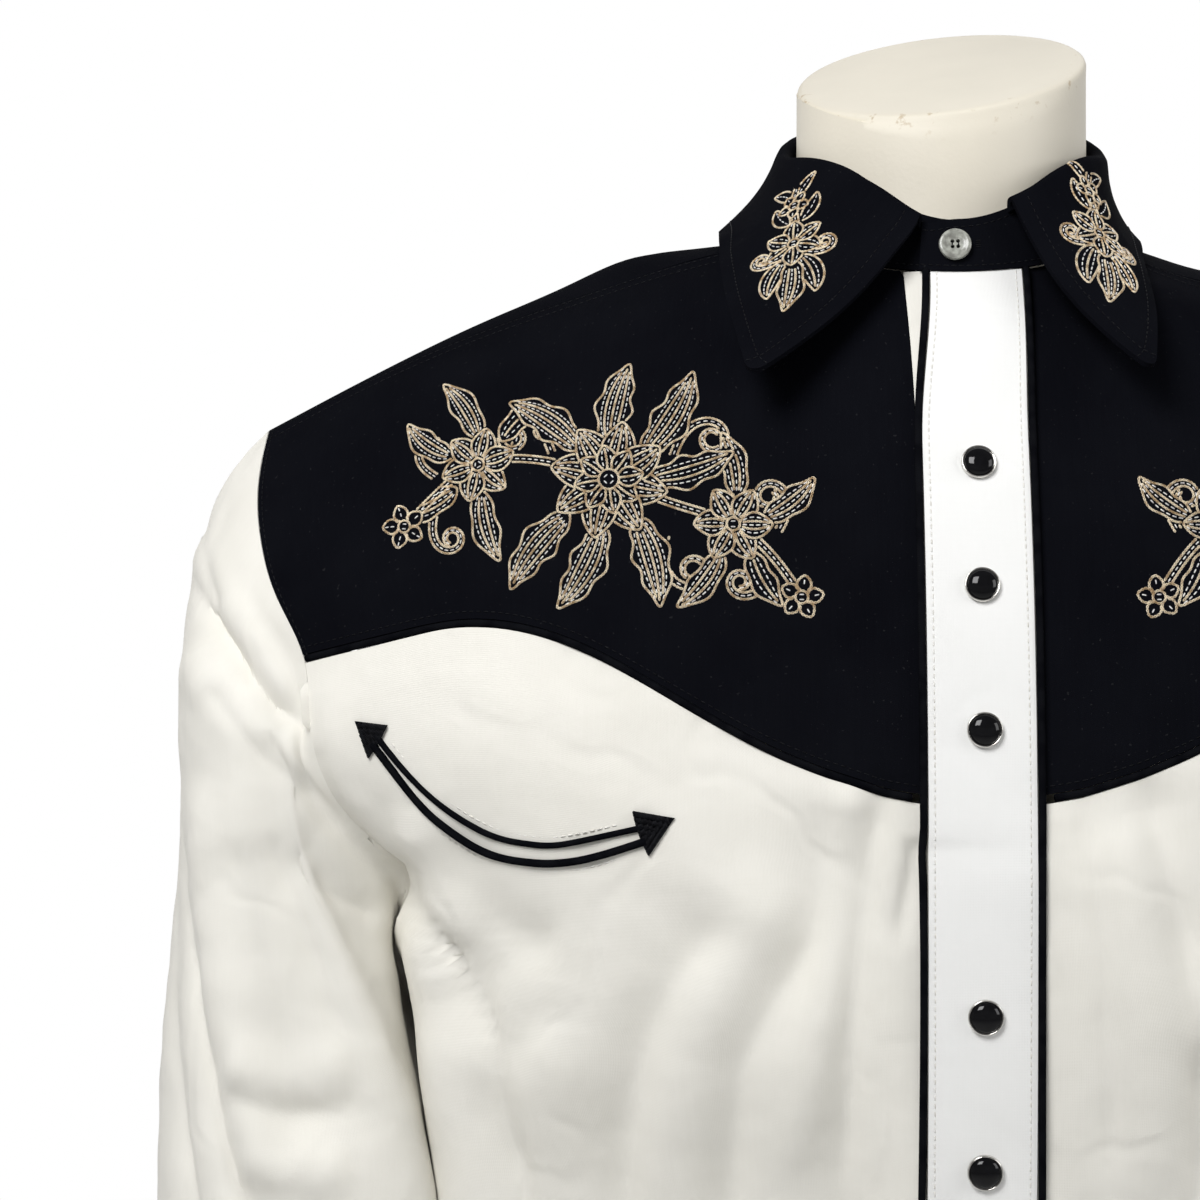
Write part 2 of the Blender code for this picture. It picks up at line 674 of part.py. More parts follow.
def splits(grid, r, c, n):
    """The corners of a grid's quad in two triangles, cut along its shorter diagonal."""
    corners = ((r, c), (r, n), (r + 1, n), (r + 1, c))
    if math.dist(grid[corners[0]], grid[corners[2]]) > math.dist(grid[corners[1]], grid[corners[3]]):
        corners = corners[1:] + corners[:1]
    return corners[:3], (corners[0], *corners[2:])


def wall(name, inner, normals, thickness, made, closed=False):
    """A cloth piece: a wall of that thickness outside the inner grid of points."""
    rows, columns = inner.shape[:2]
    steps = columns if closed else columns - 1
    bm = bmesh.new()
    inside, outside = (
        [[bm.verts.new(p) for p in row] for row in grid] for grid in (inner, inner + normals * thickness)
    )

    def quad(a, b, c, d):
        bm.faces.new((a, b, c))
        bm.faces.new((a, c, d))

    for c in range(steps):
        n = (c + 1) % columns
        for r in range(rows - 1):
            for corners in splits(inner, r, c, n):
                bm.faces.new([outside[i][k] for i, k in corners])
                bm.faces.new([inside[i][k] for i, k in corners])
        for r in (0, rows - 1):
            quad(inside[r][c], inside[r][n], outside[r][n], outside[r][c])
    if not closed:
        for c in (0, columns - 1):
            for r in range(rows - 1):
                quad(inside[r][c], inside[r + 1][c], outside[r + 1][c], outside[r][c])
    return finish_mesh(name, bm, made)


def tree_of(grids):
    """A search tree over grids of points, with the triangles that wall() gives them."""
    points, triangles = [], []
    for grid in grids:
        rows, columns = grid.shape[:2]
        start = len(points)
        points += [Vector(p) for p in grid.reshape(-1, 3)]
        for r in range(rows - 1):
            for c in range(columns - 1):
                for corners in splits(grid, r, c, c + 1):
                    triangles.append([start + i * columns + k for i, k in corners])
    return BVHTree.FromPolygons(points, triangles)


def seat(tree, x, z, lift):
    """The point of the front at (x, z), moved out by lift, and the front's normal there."""
    place, normal, _, _ = tree.ray_cast(Vector((x, -1.0, z)), Vector((0.0, 1.0, 0.0)))
    if normal.y > 0:
        normal = -normal
    return place + normal * lift, normal


def tube(name, points, radius, made):
    """A cord along those points."""
    curve = bpy.data.curves.new(name, "CURVE")
    curve.dimensions = "3D"
    curve.bevel_depth = radius
    curve.bevel_resolution = 1
    curve.use_fill_caps = True
    spline = curve.splines.new("POLY")
    spline.points.add(len(points) - 1)
    for made_point, p in zip(spline.points, points):
        made_point.co = (*p, 1.0)
    return new_object(name, curve, made)


# ---- pieces of the shirt -----------------------------------------------------------------------
def build_fronts_and_back(halves):
    half_gap = GAP / 2
    seam_trim = PIPING_R + GAP
    sides = {"first_column": half_gap, "last_column": half_gap}
    for side, name in SIDES.items():
        front, front_n = halves[side][:2]
        panel = pulled_in(front[: YOKE_ROW + 1], last_row=seam_trim, **sides)
        wall(f"front_{name}", panel, front_n[: YOKE_ROW + 1], CLOTH, WHITE)
        yoke = front[YOKE_ROW:].copy()
        yoke[-1] = off_neck(yoke[-1], front_n[-1], FRONT_NECKLINE_COLUMNS, NECKLINE_TRIM["front"])
        trimmed = pulled_in(yoke, first_row=seam_trim, last_row=half_gap, **sides)
        wall(f"front_yoke_{name}", trimmed, front_n[YOKE_ROW:], CLOTH, BLACK)
        half, half_n = halves[side][2:]
        half[-1] = off_neck(half[-1], half_n[-1], BACK_NECKLINE_COLUMNS, NECKLINE_TRIM["back"])
    back = np.concatenate([halves[-1][2][:, :0:-1], halves[1][2]], axis=1)
    back_n = np.concatenate([halves[-1][3][:, :0:-1], halves[1][3]], axis=1)
    panel = pulled_in(back[: YOKE_ROW + 1], last_row=seam_trim, **sides)
    wall("back_panel", panel, back_n[: YOKE_ROW + 1], CLOTH, WHITE)
    yoke = back[YOKE_ROW:]
    trimmed = pulled_in(yoke, first_row=seam_trim, last_row=half_gap, **sides)
    wall("back_yoke", trimmed, back_n[YOKE_ROW:], CLOTH, BLACK)
    return back, back_n


def build_yoke_pipings(halves, back, back_n):
    """The black cord between each panel and its yoke."""
    rise = CLOTH * 0.8
    for side, name in SIDES.items():
        front, front_n = halves[side][:2]
        line = front[YOKE_ROW] + front_n[YOKE_ROW] * rise
        share = (PIPING_CLEAR_X - abs(line[0, 0])) / abs(line[1, 0] - line[0, 0])
        line[0] += (line[1] - line[0]) * share
        line[-1] += unit(line[-2] - line[-1]) * PIPING_END_GAP
        tube(f"yoke_piping_{name}", line, PIPING_R, CORD)
    line = back[YOKE_ROW] + back_n[YOKE_ROW] * rise
    line[0] += unit(line[1] - line[0]) * PIPING_END_GAP
    line[-1] += unit(line[-2] - line[-1]) * PIPING_END_GAP
    tube("yoke_piping_back", line, PIPING_R, CORD)


def build_placket(halves):
    """The under placket between the fronts, the placket over it, and the pipings beside the placket."""
    right, left = halves[-1][0][:, 0], halves[1][0][:, 0]
    crown = 0.003 * ease(right[:, 2], *TOP_TAPER)
    columns = np.linspace(0, 1, PLACKET_COLUMNS + 1)
    under = np.array([[r + (l - r) * t for t in columns] for r, l in zip(right, left)])
    under[:, :, 1] -= crown[:, None] * (1 - (2 * columns - 1) ** 2)[None, :]
    under_n = grid_normals(under, 1)
    trimmed = pulled_in(under, last_row=NECKLINE_TRIM["front"], first_column=GAP / 2, last_column=GAP / 2)
    wall("under_placket", trimmed, under_n, CLOTH, WHITE)

    z = trimmed[:, 2, 2]
    taper = ease(z, *TOP_TAPER)
    centre = PLACKET_CENTRE_X + PLACKET_TOP_SHIFT * taper
    half = PLACKET_HALF - PLACKET_TOP_NARROWER * taper
    base = pulled_in(trimmed, last_row=PLACKET_TOP_TRIM) + under_n * (CLOTH + GAP)
    over = np.empty_like(base)
    for r in range(len(base)):
        x = centre[r] + half[r] * (2 * columns - 1)
        over[r] = np.stack([x] + [np.interp(x, base[r, :, 0], base[r, :, k]) for k in (1, 2)], axis=1)
    over_n = grid_normals(over, 1)
    wall("placket", over, over_n, CLOTH, WHITE)

    skin = [halves[s][0] + halves[s][1] * CLOTH for s in SIDES] + [under + under_n * CLOTH]
    tree = tree_of(skin)
    for side, name in SIDES.items():
        points = []
        for r in range(len(over)):
            edge = over[r, 0 if side < 0 else -1]
            x = edge[0] + side * (PIPING_R + GAP)
            inset = 0.001 if r == 0 else (-0.0004 if r == len(over) - 1 else 0.0)
            points.append(seat(tree, x, edge[2] + inset, PIPING_R + GAP)[0])
        tube(f"placket_piping_{name}", points, PIPING_R, CORD)
    return tree_of([over + over_n * CLOTH]), tree_of([halves[s][0] + halves[s][1] * CLOTH for s in SIDES])


def turned(name, profile, steps, made):
    """A turned piece about its own Z, from a profile of (radius, height), top to bottom."""
    bm = bmesh.new()
    points = [bm.verts.new((r, 0.0, h)) for r, h in profile]
    for a, b in zip(points, points[1:]):
        bm.edges.new((a, b))
    mesh = bpy.data.meshes.new(name)
    bm.to_mesh(mesh)
    bm.free()
    obj = new_object(name, mesh, made)
    screw = obj.modifiers.new("turn", "SCREW")
    screw.steps = screw.render_steps = steps
    screw.use_merge_vertices = True
    screw.merge_threshold = 0.0001
    screw.use_smooth_shade = True
    return obj


def place_on(obj, place, normal):
    """Puts an object's origin at a place, with its Z along the normal."""
    turn = Vector((0.0, 0.0, 1.0)).rotation_difference(Vector(normal))
    obj.matrix_world = Matrix.Translation(place) @ turn.to_matrix().to_4x4()


def build_snaps(placket_tree):
    for i, z in enumerate(SNAP_Z, 1):
        obj = turned(f"snap_{i:02d}", SNAP_PROFILE, SNAP_STEPS, ENAMEL)
        place_on(obj, *seat(placket_tree, SNAP_CENTRE_X, z, GAP))


def build_pockets(front_tree):
    """The smile pocket on each front: two cords and an arrowhead at each end."""
    for side, name in SIDES.items():
        for position, table in (("upper", POCKET_UPPER_CORD), ("lower", POCKET_LOWER_CORD)):
            at, marks = np.linspace(0, len(table) - 1, POCKET_CORD_POINTS), np.arange(len(table))
            xs, zs = (smooth(at, marks, [row[k] for row in table]) for k in (0, 1))
            lift = POCKET_CORD_R[position] + POCKET_LIFT
            points = [seat(front_tree, side * x, z, lift)[0] for x, z in zip(xs, zs)]
            tube(f"pocket_cord_{position}_{name}", points, POCKET_CORD_R[position], CORD)
        for position, corners in ARROWHEADS.items():
            seats = [seat(front_tree, side * x, z, POCKET_LIFT) for x, z in corners]
            bm = bmesh.new()
            low = [bm.verts.new(place) for place, _ in seats]
            high = [bm.verts.new(place + normal * ARROWHEAD_THICKNESS) for place, normal in seats]
            middle = bm.verts.new(sum((v.co for v in high), Vector()) / 3 + seats[0][1] * ARROWHEAD_THICKNESS)
            bm.faces.new(low)
            for i in range(3):
                n = (i + 1) % 3
                bm.faces.new((low[i], low[n], high[n], high[i]))
                bm.faces.new((high[i], high[n], middle))
            finish_mesh(f"pocket_arrowhead_{position}_{name}", bm, CORD)


def clear_of(tree, p, distance):
    """The point, moved out where it is nearer to the surface than this, or inside it."""
    place, normal, _, _ = tree.find_nearest(Vector(p))
    if normal.z < 0:
        normal = -normal
    depth = (Vector(p) - place).dot(normal)
    if depth < distance:
        return np.array(Vector(p) + normal * (distance - depth))
    return p


def build_collar(skin_tree):
    """The band, whose outer end laps over the inner one, and the fall folded over it."""

    def lap(angle):
        return BAND_LAP * (1 - float(ease(angle, math.radians(22), math.radians(60))))

    def ring_outward(ring, angle):
        ahead = neck_point(ring, angle + 0.01) - neck_point(ring, angle - 0.01)
        return unit(np.array([ahead[1], -ahead[0], 0.0]))

    up = np.array([0.0, 0.0, 1.0])
    rows = []
    for share in (0.0, 0.5, 1.0):
        row = []
        for a in np.linspace(BAND_START, BAND_END, BAND_COLUMNS):
            foot = neck_point(NECKLINE, a) + up * BAND_SEAM_GAP
            top = neck_point(BAND_TOP, a) - up * 0.003 * (1 - float(ease(a, BAND_START, 0.0)))
            row.append(foot + (top - foot) * share + ring_outward(NECKLINE, a) * lap(a))
        rows.append(row)
    band = np.array(rows)
    band_n = grid_normals(band, 1)
    wall("collar_stand", band, band_n, DOUBLE_CLOTH, BLACK)

    first = math.degrees(LEAF_CORNER)
    spread = np.linspace(-1, 1, FALL_COLUMNS)
    spread = 0.5 + 0.5 * (0.8 * spread + 0.2 * spread**3)
    columns = []
    for degrees in first + (360 - 2 * first) * spread:
        angle = math.radians(degrees)
        out = ring_outward(BAND_TOP, angle)
        drop = float(through(COLLAR_EDGE, degrees, 4))
        outside = float(ease(drop, 0.0, 0.0008)) * (DOUBLE_CLOTH + 2 * GAP) + drop * BAND_LEAN
        root = neck_point(BAND_TOP, angle) + out * (DOUBLE_CLOTH + lap(angle) + outside) - up * drop
        line = [root + out * o + up * u for o, u in COLLAR_ROLL]
        start, end = line[-1], np.array([float(through(COLLAR_EDGE, degrees, k)) for k in (1, 2, 3)])
        near_tip = 1 - float(ease(min(degrees, 360 - degrees), first, first + 14))
        bow = np.array([1.0 if degrees > 180 else -1.0, 0.0, -0.6]) * LEAF_BOW * near_tip
        for share in np.linspace(0, 1, FALL_ROWS + 1)[1:]:
            p = start + (end - start) * share + (out * FALL_BELLY + bow) * math.sin(math.pi * share)
            line.append(clear_of(skin_tree, p, FALL_REST))
        columns.append(line)
    fall = np.array(columns).transpose(1, 0, 2)
    wall("collar_fall", fall, grid_normals(fall, -1), DOUBLE_CLOTH, BLACK)
    return tree_of([band + band_n * DOUBLE_CLOTH])


def build_button(band_tree):
    place, normal = seat(band_tree, BUTTON_X, BUTTON_Z, GAP)
    bm = bmesh.new()
    bmesh.ops.create_cone(
        bm, cap_ends=True, segments=20, radius1=BUTTON_R, radius2=BUTTON_R, depth=BUTTON_THICKNESS,
        matrix=Matrix.Translation((0, 0, BUTTON_THICKNESS / 2)),
    )
    place_on(finish_mesh("collar_button", bm, SHELL), place, normal)


def armhole_loop(front, front_n, back, back_n):
    """The armhole seam from the shoulder point down the front and up the back, and its normals."""
    down, up = slice(None, UNDERARM_ROW - 1, -1), slice(UNDERARM_ROW + 1, -1)
    loop = np.concatenate([front[down, -1], back[up, -1]])
    normals = np.concatenate([front_n[down, -1], back_n[up, -1]])
    return loop, normals


def sleeve_turns(loop):
    """How far round the sleeve each point of the armhole lies, from the top by way of the front."""
    under = int(np.argmin(loop[:, 2]))
    front = np.linspace(0, math.pi, under + 1)
    back = np.linspace(math.pi, 2 * math.pi, len(loop) - under + 1)[1:-1]
    return np.concatenate([front, back])


def sleeve_rings(turns):
    """Rings of the sleeve's inner surface, from the upper arm to the cuff, each starting at the top."""
    forward = np.array([0.0, -1.0, 0.0])
    c, s = np.cos(turns), np.sin(turns)
    power = np.where(c > 0, *SLEEVE_SQUARENESS)
    xi = np.sign(c) * abs(c) ** power
    eta = np.sign(s) * abs(s) ** power
    rings = []
    for top_x, top_z, under_x, under_z, half_depth, y in SLEEVE_RINGS:
        top, under = np.array([top_x, y, top_z]), np.array([under_x, y, under_z])
        ring = (top + under) / 2 + xi[:, None] * (top - under) / 2 + (eta * half_depth)[:, None] * forward
        side_x, flat = (through(SLEEVE_INNER_SIDE, ring[:, 2], k) for k in (1, 2))
        beside = [body_x(p[1], min(p[2], CHEST_Z)) + SLEEVE_CLEAR for p in ring]
        ring[:, 0] += flat * ease(-xi, *SLEEVE_FLAT_SIDE) * (np.maximum(side_x, beside) - ring[:, 0])
        rings.append(ring)
    return np.array(rings)


def sleeve_head(start, first, second, turns, past, out):
    """Rows from the armhole to the first ring, leaving the armhole as the sleeve is set in."""
    c, s = np.cos(turns), np.sin(turns)
    shares = {"top": np.maximum(c, 0) ** 2, "middle": s**2, "under": np.maximum(-c, 0) ** 2}
    amounts = sum(shares[k][:, None] * np.array(SLEEVE_SETTING[k]) for k in shares)
    leaving = past * amounts[:, :1] + out * amounts[:, 1:2] - np.array([0.0, 0.0, 1.0]) * amounts[:, 2:]
    length = np.linalg.norm(first - start, axis=1, keepdims=True)
    leaving, arriving = leaving * length, unit(second - first) * length
    rows = []
    for t in SLEEVE_HEAD_ROWS:
        rows.append(
            start * (2 * t**3 - 3 * t**2 + 1)
            + first * (3 * t**2 - 2 * t**3)
            + leaving * (t**3 - 2 * t**2 + t)
            + arriving * (t**3 - t**2)
        )
    return np.array(rows)


def held_off(tree, grid, distance):
    """The sleeve's grid, moved out where it is nearer than this to the body it hangs beside."""
    grid = grid.copy()
    for row in grid[1:]:
        for p in row:
            place, normal, _, _ = tree.find_nearest(Vector(p))
            if normal.x < 0:
                normal = -normal
            off = Vector(p) - place
            depth = off.dot(normal)
            if depth < distance and (off - normal * depth).length < 0.001:
                p += np.array(normal) * (distance - depth)
    return grid


def lapped(ring, start, overlap, lift, columns):
    """An open strip round a closed ring, whose last end lies over its first."""
    closed = np.vstack([ring, ring[:1]])
    middle = ring.mean(axis=0)
    strip = []
    for share in np.linspace(0, 1 + overlap, columns):
        p = along(closed, (start + share) % 1.0)
        out = unit((p - middle) * np.array([1.0, 1.0, 0.0]))
        strip.append(p + out * lift * float(ease(share, 1 - 2.2 * overlap, 1 - 0.1 * overlap)))
    return np.array(strip)


def build_sleeves(loop, loop_normals, body_tree):
    turns = sleeve_turns(loop)
    rings = sleeve_rings(turns)
    past = unit(np.cross(loop_normals, np.roll(loop, -1, axis=0) - np.roll(loop, 1, axis=0)))
    start = loop + past * GAP / 2
    head = sleeve_head(start, rings[0], rings[1], turns, past, loop_normals)
    grid = held_off(body_tree, np.concatenate([start[None], head, rings]), SLEEVE_CLEAR)
    grid = folded(grid, grid_normals(grid, 1, closed=True), SLEEVE_FOLDS_FRONT, -1, SLEEVE_SEAM_ROWS)
    grid = folded(grid, grid_normals(grid, 1, closed=True), SLEEVE_FOLDS_BACK, 1, SLEEVE_SEAM_ROWS)
    normals = grid_normals(grid, 1, closed=True)
    normals[0] = loop_normals
    normals[-1, :, 2] = 0.0
    normals[-1] = unit(normals[-1])
    cuff = []
    for share in (0.0, 0.5, 1.0):
        lowered = grid[-1] - np.array([0.0, 0.0, GAP + CUFF_HEIGHT * share])
        cuff.append(lapped(lowered, CUFF_OPENING, CUFF_OVERLAP, CUFF_LAP, CUFF_COLUMNS))
    cuff = np.array(cuff)
    cuff_n = grid_normals(cuff, 1)
    cuff_n[:, :, 2] = 0.0
    cuff_n = unit(cuff_n)
    for side, name in SIDES.items():
        mirror = np.array([side, 1.0, 1.0])
        wall(f"sleeve_{name}", grid * mirror, normals * mirror, CLOTH, WHITE, closed=True)
        wall(f"cuff_{name}", cuff * mirror, cuff_n * mirror, DOUBLE_CLOTH, BLACK)
        snap_column = CUFF_COLUMNS - 2
        place = (cuff[1, snap_column] + cuff_n[1, snap_column] * (DOUBLE_CLOTH + CUFF_SNAP_LIFT)) * mirror
        for position, height in (("upper", 0.5 * CUFF_SNAP_SPACING), ("lower", -0.5 * CUFF_SNAP_SPACING)):
            obj = turned(f"cuff_snap_{position}_{name}", SNAP_PROFILE, SNAP_STEPS, ENAMEL)
            place_on(obj, Vector(place) + Vector((0.0, 0.0, height)), cuff_n[1, snap_column] * mirror)


# ---- form and stand ----------------------------------------------------------------------------
def build_form():
    rings = []
    for half_width, front, back, z_side, z_front, z_back in FORM_RINGS:
        ring = []
        for i in range(FORM_POINTS):
            s, c = math.sin(2 * math.pi * i / FORM_POINTS), math.cos(2 * math.pi * i / FORM_POINTS)
            depth, z_end = (front, z_front) if c > 0 else (back, z_back)
            x = half_width * s
            z = z_side * s * s + z_end * c * c
            lean = float(ease(z, 0.96, 1.04))
            drop = shoulder_drop(abs(x), 1 if x > 0 else -1) * float(ease(z, 0.90, 0.98))
            ring.append((x + NECK_CENTRE_X * lean, -depth * c, z - drop))
        rings.append(ring)
    rings.append([(x, y, NECK_CUT_Z + NECK_CUT_SLOPE_X * x + NECK_CUT_SLOPE_Y * y) for x, y, _ in rings[-1]])
    bm = bmesh.new()
    verts = [[bm.verts.new(p) for p in ring] for ring in rings]
    for low, high in zip(verts, verts[1:]):
        for i in range(FORM_POINTS):
            n = (i + 1) % FORM_POINTS
            bm.faces.new((low[i], low[n], high[n], high[i]))
    bm.faces.new(verts[0])
    bm.faces.new(verts[-1])
    finish_mesh("form_torso", bm, FORM)


def cylinder(name, radius, low, high, segments):
    bm = bmesh.new()
    bmesh.ops.create_cone(
        bm, cap_ends=True, segments=segments, radius1=radius, radius2=radius, depth=high - low,
        matrix=Matrix.Translation((0, 0, (low + high) / 2)),
    )
    return finish_mesh(name, bm, STEEL)


for old in list(bpy.data.objects):
    bpy.data.objects.remove(old)
SHIRT = bpy.data.collections.new("western_snap_shirt")
bpy.context.scene.collection.children.link(SHIRT)
SIDES = {-1: "right", 1: "left"}

WHITE = material("white_shirting", (0.86, 0.85, 0.81), 0.75)
BLACK = material("black_shirting", (0.012, 0.013, 0.018), 0.8)
CORD = material("black_cord", (0.010, 0.011, 0.014), 0.7)
ENAMEL = material("snap_enamel", (0.01, 0.01, 0.012), 0.12)
SHELL = material("shell_button", (0.70, 0.68, 0.60), 0.25)
FORM = material("form_paint", (0.80, 0.76, 0.66), 0.55)
STEEL = material("stand_steel", (0.55, 0.55, 0.56), 0.3, 1.0)

HALVES = {side: body_surfaces(side) for side in SIDES}
BACK, BACK_N = build_fronts_and_back(HALVES)
build_yoke_pipings(HALVES, BACK, BACK_N)
PLACKET_TREE, FRONT_TREE = build_placket(HALVES)
build_snaps(PLACKET_TREE)
build_pockets(FRONT_TREE)
YOKES = [HALVES[s][k][YOKE_ROW:] + HALVES[s][k + 1][YOKE_ROW:] * CLOTH for s in SIDES for k in (0, 2)]
BAND_TREE = build_collar(tree_of(YOKES))
build_button(BAND_TREE)
build_sleeves(*armhole_loop(*HALVES[1]), tree_of([HALVES[1][0], HALVES[1][2]]))
build_form()
cylinder("stand_foot", FOOT_R, 0.0, FOOT_H, 48)
cylinder("stand_pole", POLE_R, FOOT_H + GAP, POLE_TOP_Z, 24)
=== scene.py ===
"""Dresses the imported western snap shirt: cloth with its folds, stitching, embroidery, snaps, form and stand.

Metres, +Z up. The chest faces -Y, so +X is the wearer's left. Cloth is worked out on grids of points:
rows run up from the hem, and columns run from the opening, or the middle of the back, to the armhole.
"""

from __future__ import annotations

import logging
import math
from dataclasses import dataclass, field
from enum import Enum

import bmesh
import bpy
import numpy as np
from mathutils import Matrix, Vector, noise
from mathutils.bvhtree import BVHTree

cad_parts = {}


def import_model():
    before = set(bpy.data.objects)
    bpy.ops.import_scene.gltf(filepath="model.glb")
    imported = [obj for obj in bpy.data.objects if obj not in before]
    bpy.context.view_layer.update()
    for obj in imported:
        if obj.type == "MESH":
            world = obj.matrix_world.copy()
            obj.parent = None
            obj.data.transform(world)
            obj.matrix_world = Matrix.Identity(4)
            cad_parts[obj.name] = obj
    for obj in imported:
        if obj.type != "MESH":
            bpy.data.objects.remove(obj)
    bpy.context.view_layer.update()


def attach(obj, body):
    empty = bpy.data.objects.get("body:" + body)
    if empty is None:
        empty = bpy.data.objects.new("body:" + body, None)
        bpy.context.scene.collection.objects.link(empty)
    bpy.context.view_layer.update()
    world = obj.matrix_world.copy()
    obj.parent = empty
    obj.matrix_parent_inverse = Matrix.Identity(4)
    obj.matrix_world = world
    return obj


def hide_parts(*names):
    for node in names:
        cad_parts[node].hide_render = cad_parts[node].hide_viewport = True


LOG = logging.getLogger("western_shirt")
Array = np.ndarray
Table = tuple[tuple[float, ...], ...]
Point = tuple[float, float, float]
BODY = "root"
CLOTH = 0.0012
DOUBLE_CLOTH = 0.0018
GAP = 0.0003
# how fast a fold fades in as the cloth turns to face the front or the back
FACING = 1.6


class Side(Enum):
    """A side of the shirt, as its wearer has it."""

    RIGHT = -1
    LEFT = 1

    @property
    def label(self) -> str:
        """The side's word in piece names."""
        return self.name.lower()

    @property
    def mirror(self) -> Array:
        """Turns a point with x counted outwards into one on this side."""
        return np.array([self.value, 1.0, 1.0])


class Edge(Enum):
    """An edge of a grid of cloth."""

    FIRST_ROW = "first_row"
    LAST_ROW = "last_row"
    FIRST_COLUMN = "first_column"
    LAST_COLUMN = "last_column"


class Stitch(Enum):
    """A kind of stitch."""

    RUNNING = "running"
    CHAIN = "chain"


# ---- curves ------------------------------------------------------------------------------------
def smooth(at: Array, xs: Array, ys: Array) -> Array:
    """Values of a smooth curve through points, with no overshoot between two of them.

    Args:
        at: Where to read the curve.
        xs: The points' places, rising.
        ys: The points' values.

    Returns:
        One value for each place in at.
    """
    xs, ys, at = (np.asarray(v, float) for v in (xs, ys, at))
    slope = np.diff(ys) / np.diff(xs)
    tangent = np.empty_like(ys)
    tangent[0], tangent[-1] = slope[0], slope[-1]
    flat = slope[:-1] * slope[1:] <= 0
    both = np.where(flat, 1.0, slope[:-1] + slope[1:])
    tangent[1:-1] = np.where(flat, 0.0, 2 * slope[:-1] * slope[1:] / both)
    at = np.clip(at, xs[0], xs[-1])
    i = np.clip(np.searchsorted(xs, at) - 1, 0, len(xs) - 2)
    width = xs[i + 1] - xs[i]
    t = (at - xs[i]) / width
    return (
        ys[i] * (2 * t**3 - 3 * t**2 + 1)
        + ys[i + 1] * (3 * t**2 - 2 * t**3)
        + tangent[i] * width * (t**3 - 2 * t**2 + t)
        + tangent[i + 1] * width * (t**3 - t**2)
    )


def through(table: Table, at: Array | float, column: int) -> Array:
    """One column of a table, read at values of its first column.

    Args:
        table: Rows of numbers, whose first column rises.
        at: Where to read it.
        column: Which column to read.

    Returns:
        The values there.
    """
    rows = np.array(table, float)
    return smooth(at, rows[:, 0], rows[:, column])


def ease(value: Array | float, low: float, high: float) -> Array:
    """0 below low, 1 above high, and smooth between them."""
    t = np.clip((np.asarray(value, float) - low) / (high - low), 0.0, 1.0)
    return t * t * (3 - 2 * t)


def unit(vectors: Array) -> Array:
    """The vectors at length one."""
    return vectors / np.linalg.norm(vectors, axis=-1, keepdims=True)


def lengths_along(points: Array) -> Array:
    """How far along a line each of its points lies."""
    return np.concatenate([[0.0], np.cumsum(np.linalg.norm(np.diff(points[:, :3], axis=0), axis=1))])


def along(points: Array, shares: Array | float) -> Array:
    """Points of a line at these shares of its length.

    Args:
        points: The line, whose first columns are its coordinates.
        shares: From 0 at its start to 1 at its end.

    Returns:
        A row of the line's columns for each share.
    """
    length = lengths_along(points)
    at = np.asarray(shares) * length[-1]
    return np.stack([np.interp(at, length, points[:, k]) for k in range(points.shape[1])], axis=-1)


def spline_weights(knots: Array, at: Array) -> Array:
    """Weights that read a natural cubic spline through values at the knots.

    Args:
        knots: Where the values are.
        at: Where to read the spline.

    Returns:
        A matrix with a row for each place and a column for each knot.
    """
    count, step = len(knots), np.diff(knots)
    system, jumps = np.eye(count), np.zeros((count, count))
    for i in range(1, count - 1):
        before, after = step[i - 1], step[i]
        system[i, i - 1 : i + 2] = before, 2 * (before + after), after
        jumps[i, i - 1 : i + 2] = 6 / before, -6 / before - 6 / after, 6 / after
    bend = np.linalg.solve(system, jumps)
    i = np.clip(np.searchsorted(knots, at, side="right") - 1, 0, count - 2)
    t = ((at - knots[i]) / step[i])[:, None]
    square = (step[i] ** 2)[:, None] / 6
    near, far = np.eye(count)[i], np.eye(count)[i + 1]
    curved = ((1 - t) ** 3 - (1 - t)) * bend[i] + (t**3 - t) * bend[i + 1]
    return (1 - t) * near + t * far + square * curved


def stepped(knots: Array, steps: list[int]) -> Array:
    """Places from the first knot to the last, with so many steps in each interval."""
    parts = [np.linspace(a, b, n + 1)[:-1] for a, b, n in zip(knots[:-1], knots[1:], steps)]
    return np.concatenate([*parts, knots[-1:]])


def curve(points: Table, count: int) -> Array:
    """A smooth curve through points.

    Args:
        points: The points, in order.
        count: How many points of the curve to give back.

    Returns:
        Points at even steps from the first to the last.
    """
    marks = np.arange(len(points), dtype=float)
    return spline_weights(marks, np.linspace(0, len(points) - 1, count)) @ np.array(points)


def row_places(grid: Array) -> Array:
    """How far along a grid each of its rows lies, on the average of its columns."""
    steps = np.linalg.norm(np.diff(grid, axis=0), axis=2).mean(axis=1)
    return np.concatenate([[0], np.cumsum(steps)])


def refined(
    grid: Array, row_knots: Array, row_steps: list[int], column_steps: int, closed: bool = False
) -> Array:
    """A finer grid, smooth through the points of a coarse one.

    Args:
        grid: Rows of points.
        row_knots: How far up each row counts as lying.
        row_steps: Steps between each row and the next.
        column_steps: Steps between each column and the next.
        closed: Whether the rows are rings.

    Returns:
        The finer grid.
    """
    if closed:
        wrap, columns = 4, grid.shape[1]
        grid = grid[:, np.arange(-wrap, columns + wrap) % columns]
        across_at = stepped(np.arange(columns + 1.0), [column_steps] * columns)[:-1] + wrap
    else:
        across_at = stepped(np.arange(float(grid.shape[1])), [column_steps] * (grid.shape[1] - 1))
    across = spline_weights(np.arange(float(grid.shape[1])), across_at)
    up = spline_weights(row_knots, stepped(row_knots, row_steps))
    return np.einsum("ar,bc,rck->abk", up, across, grid)


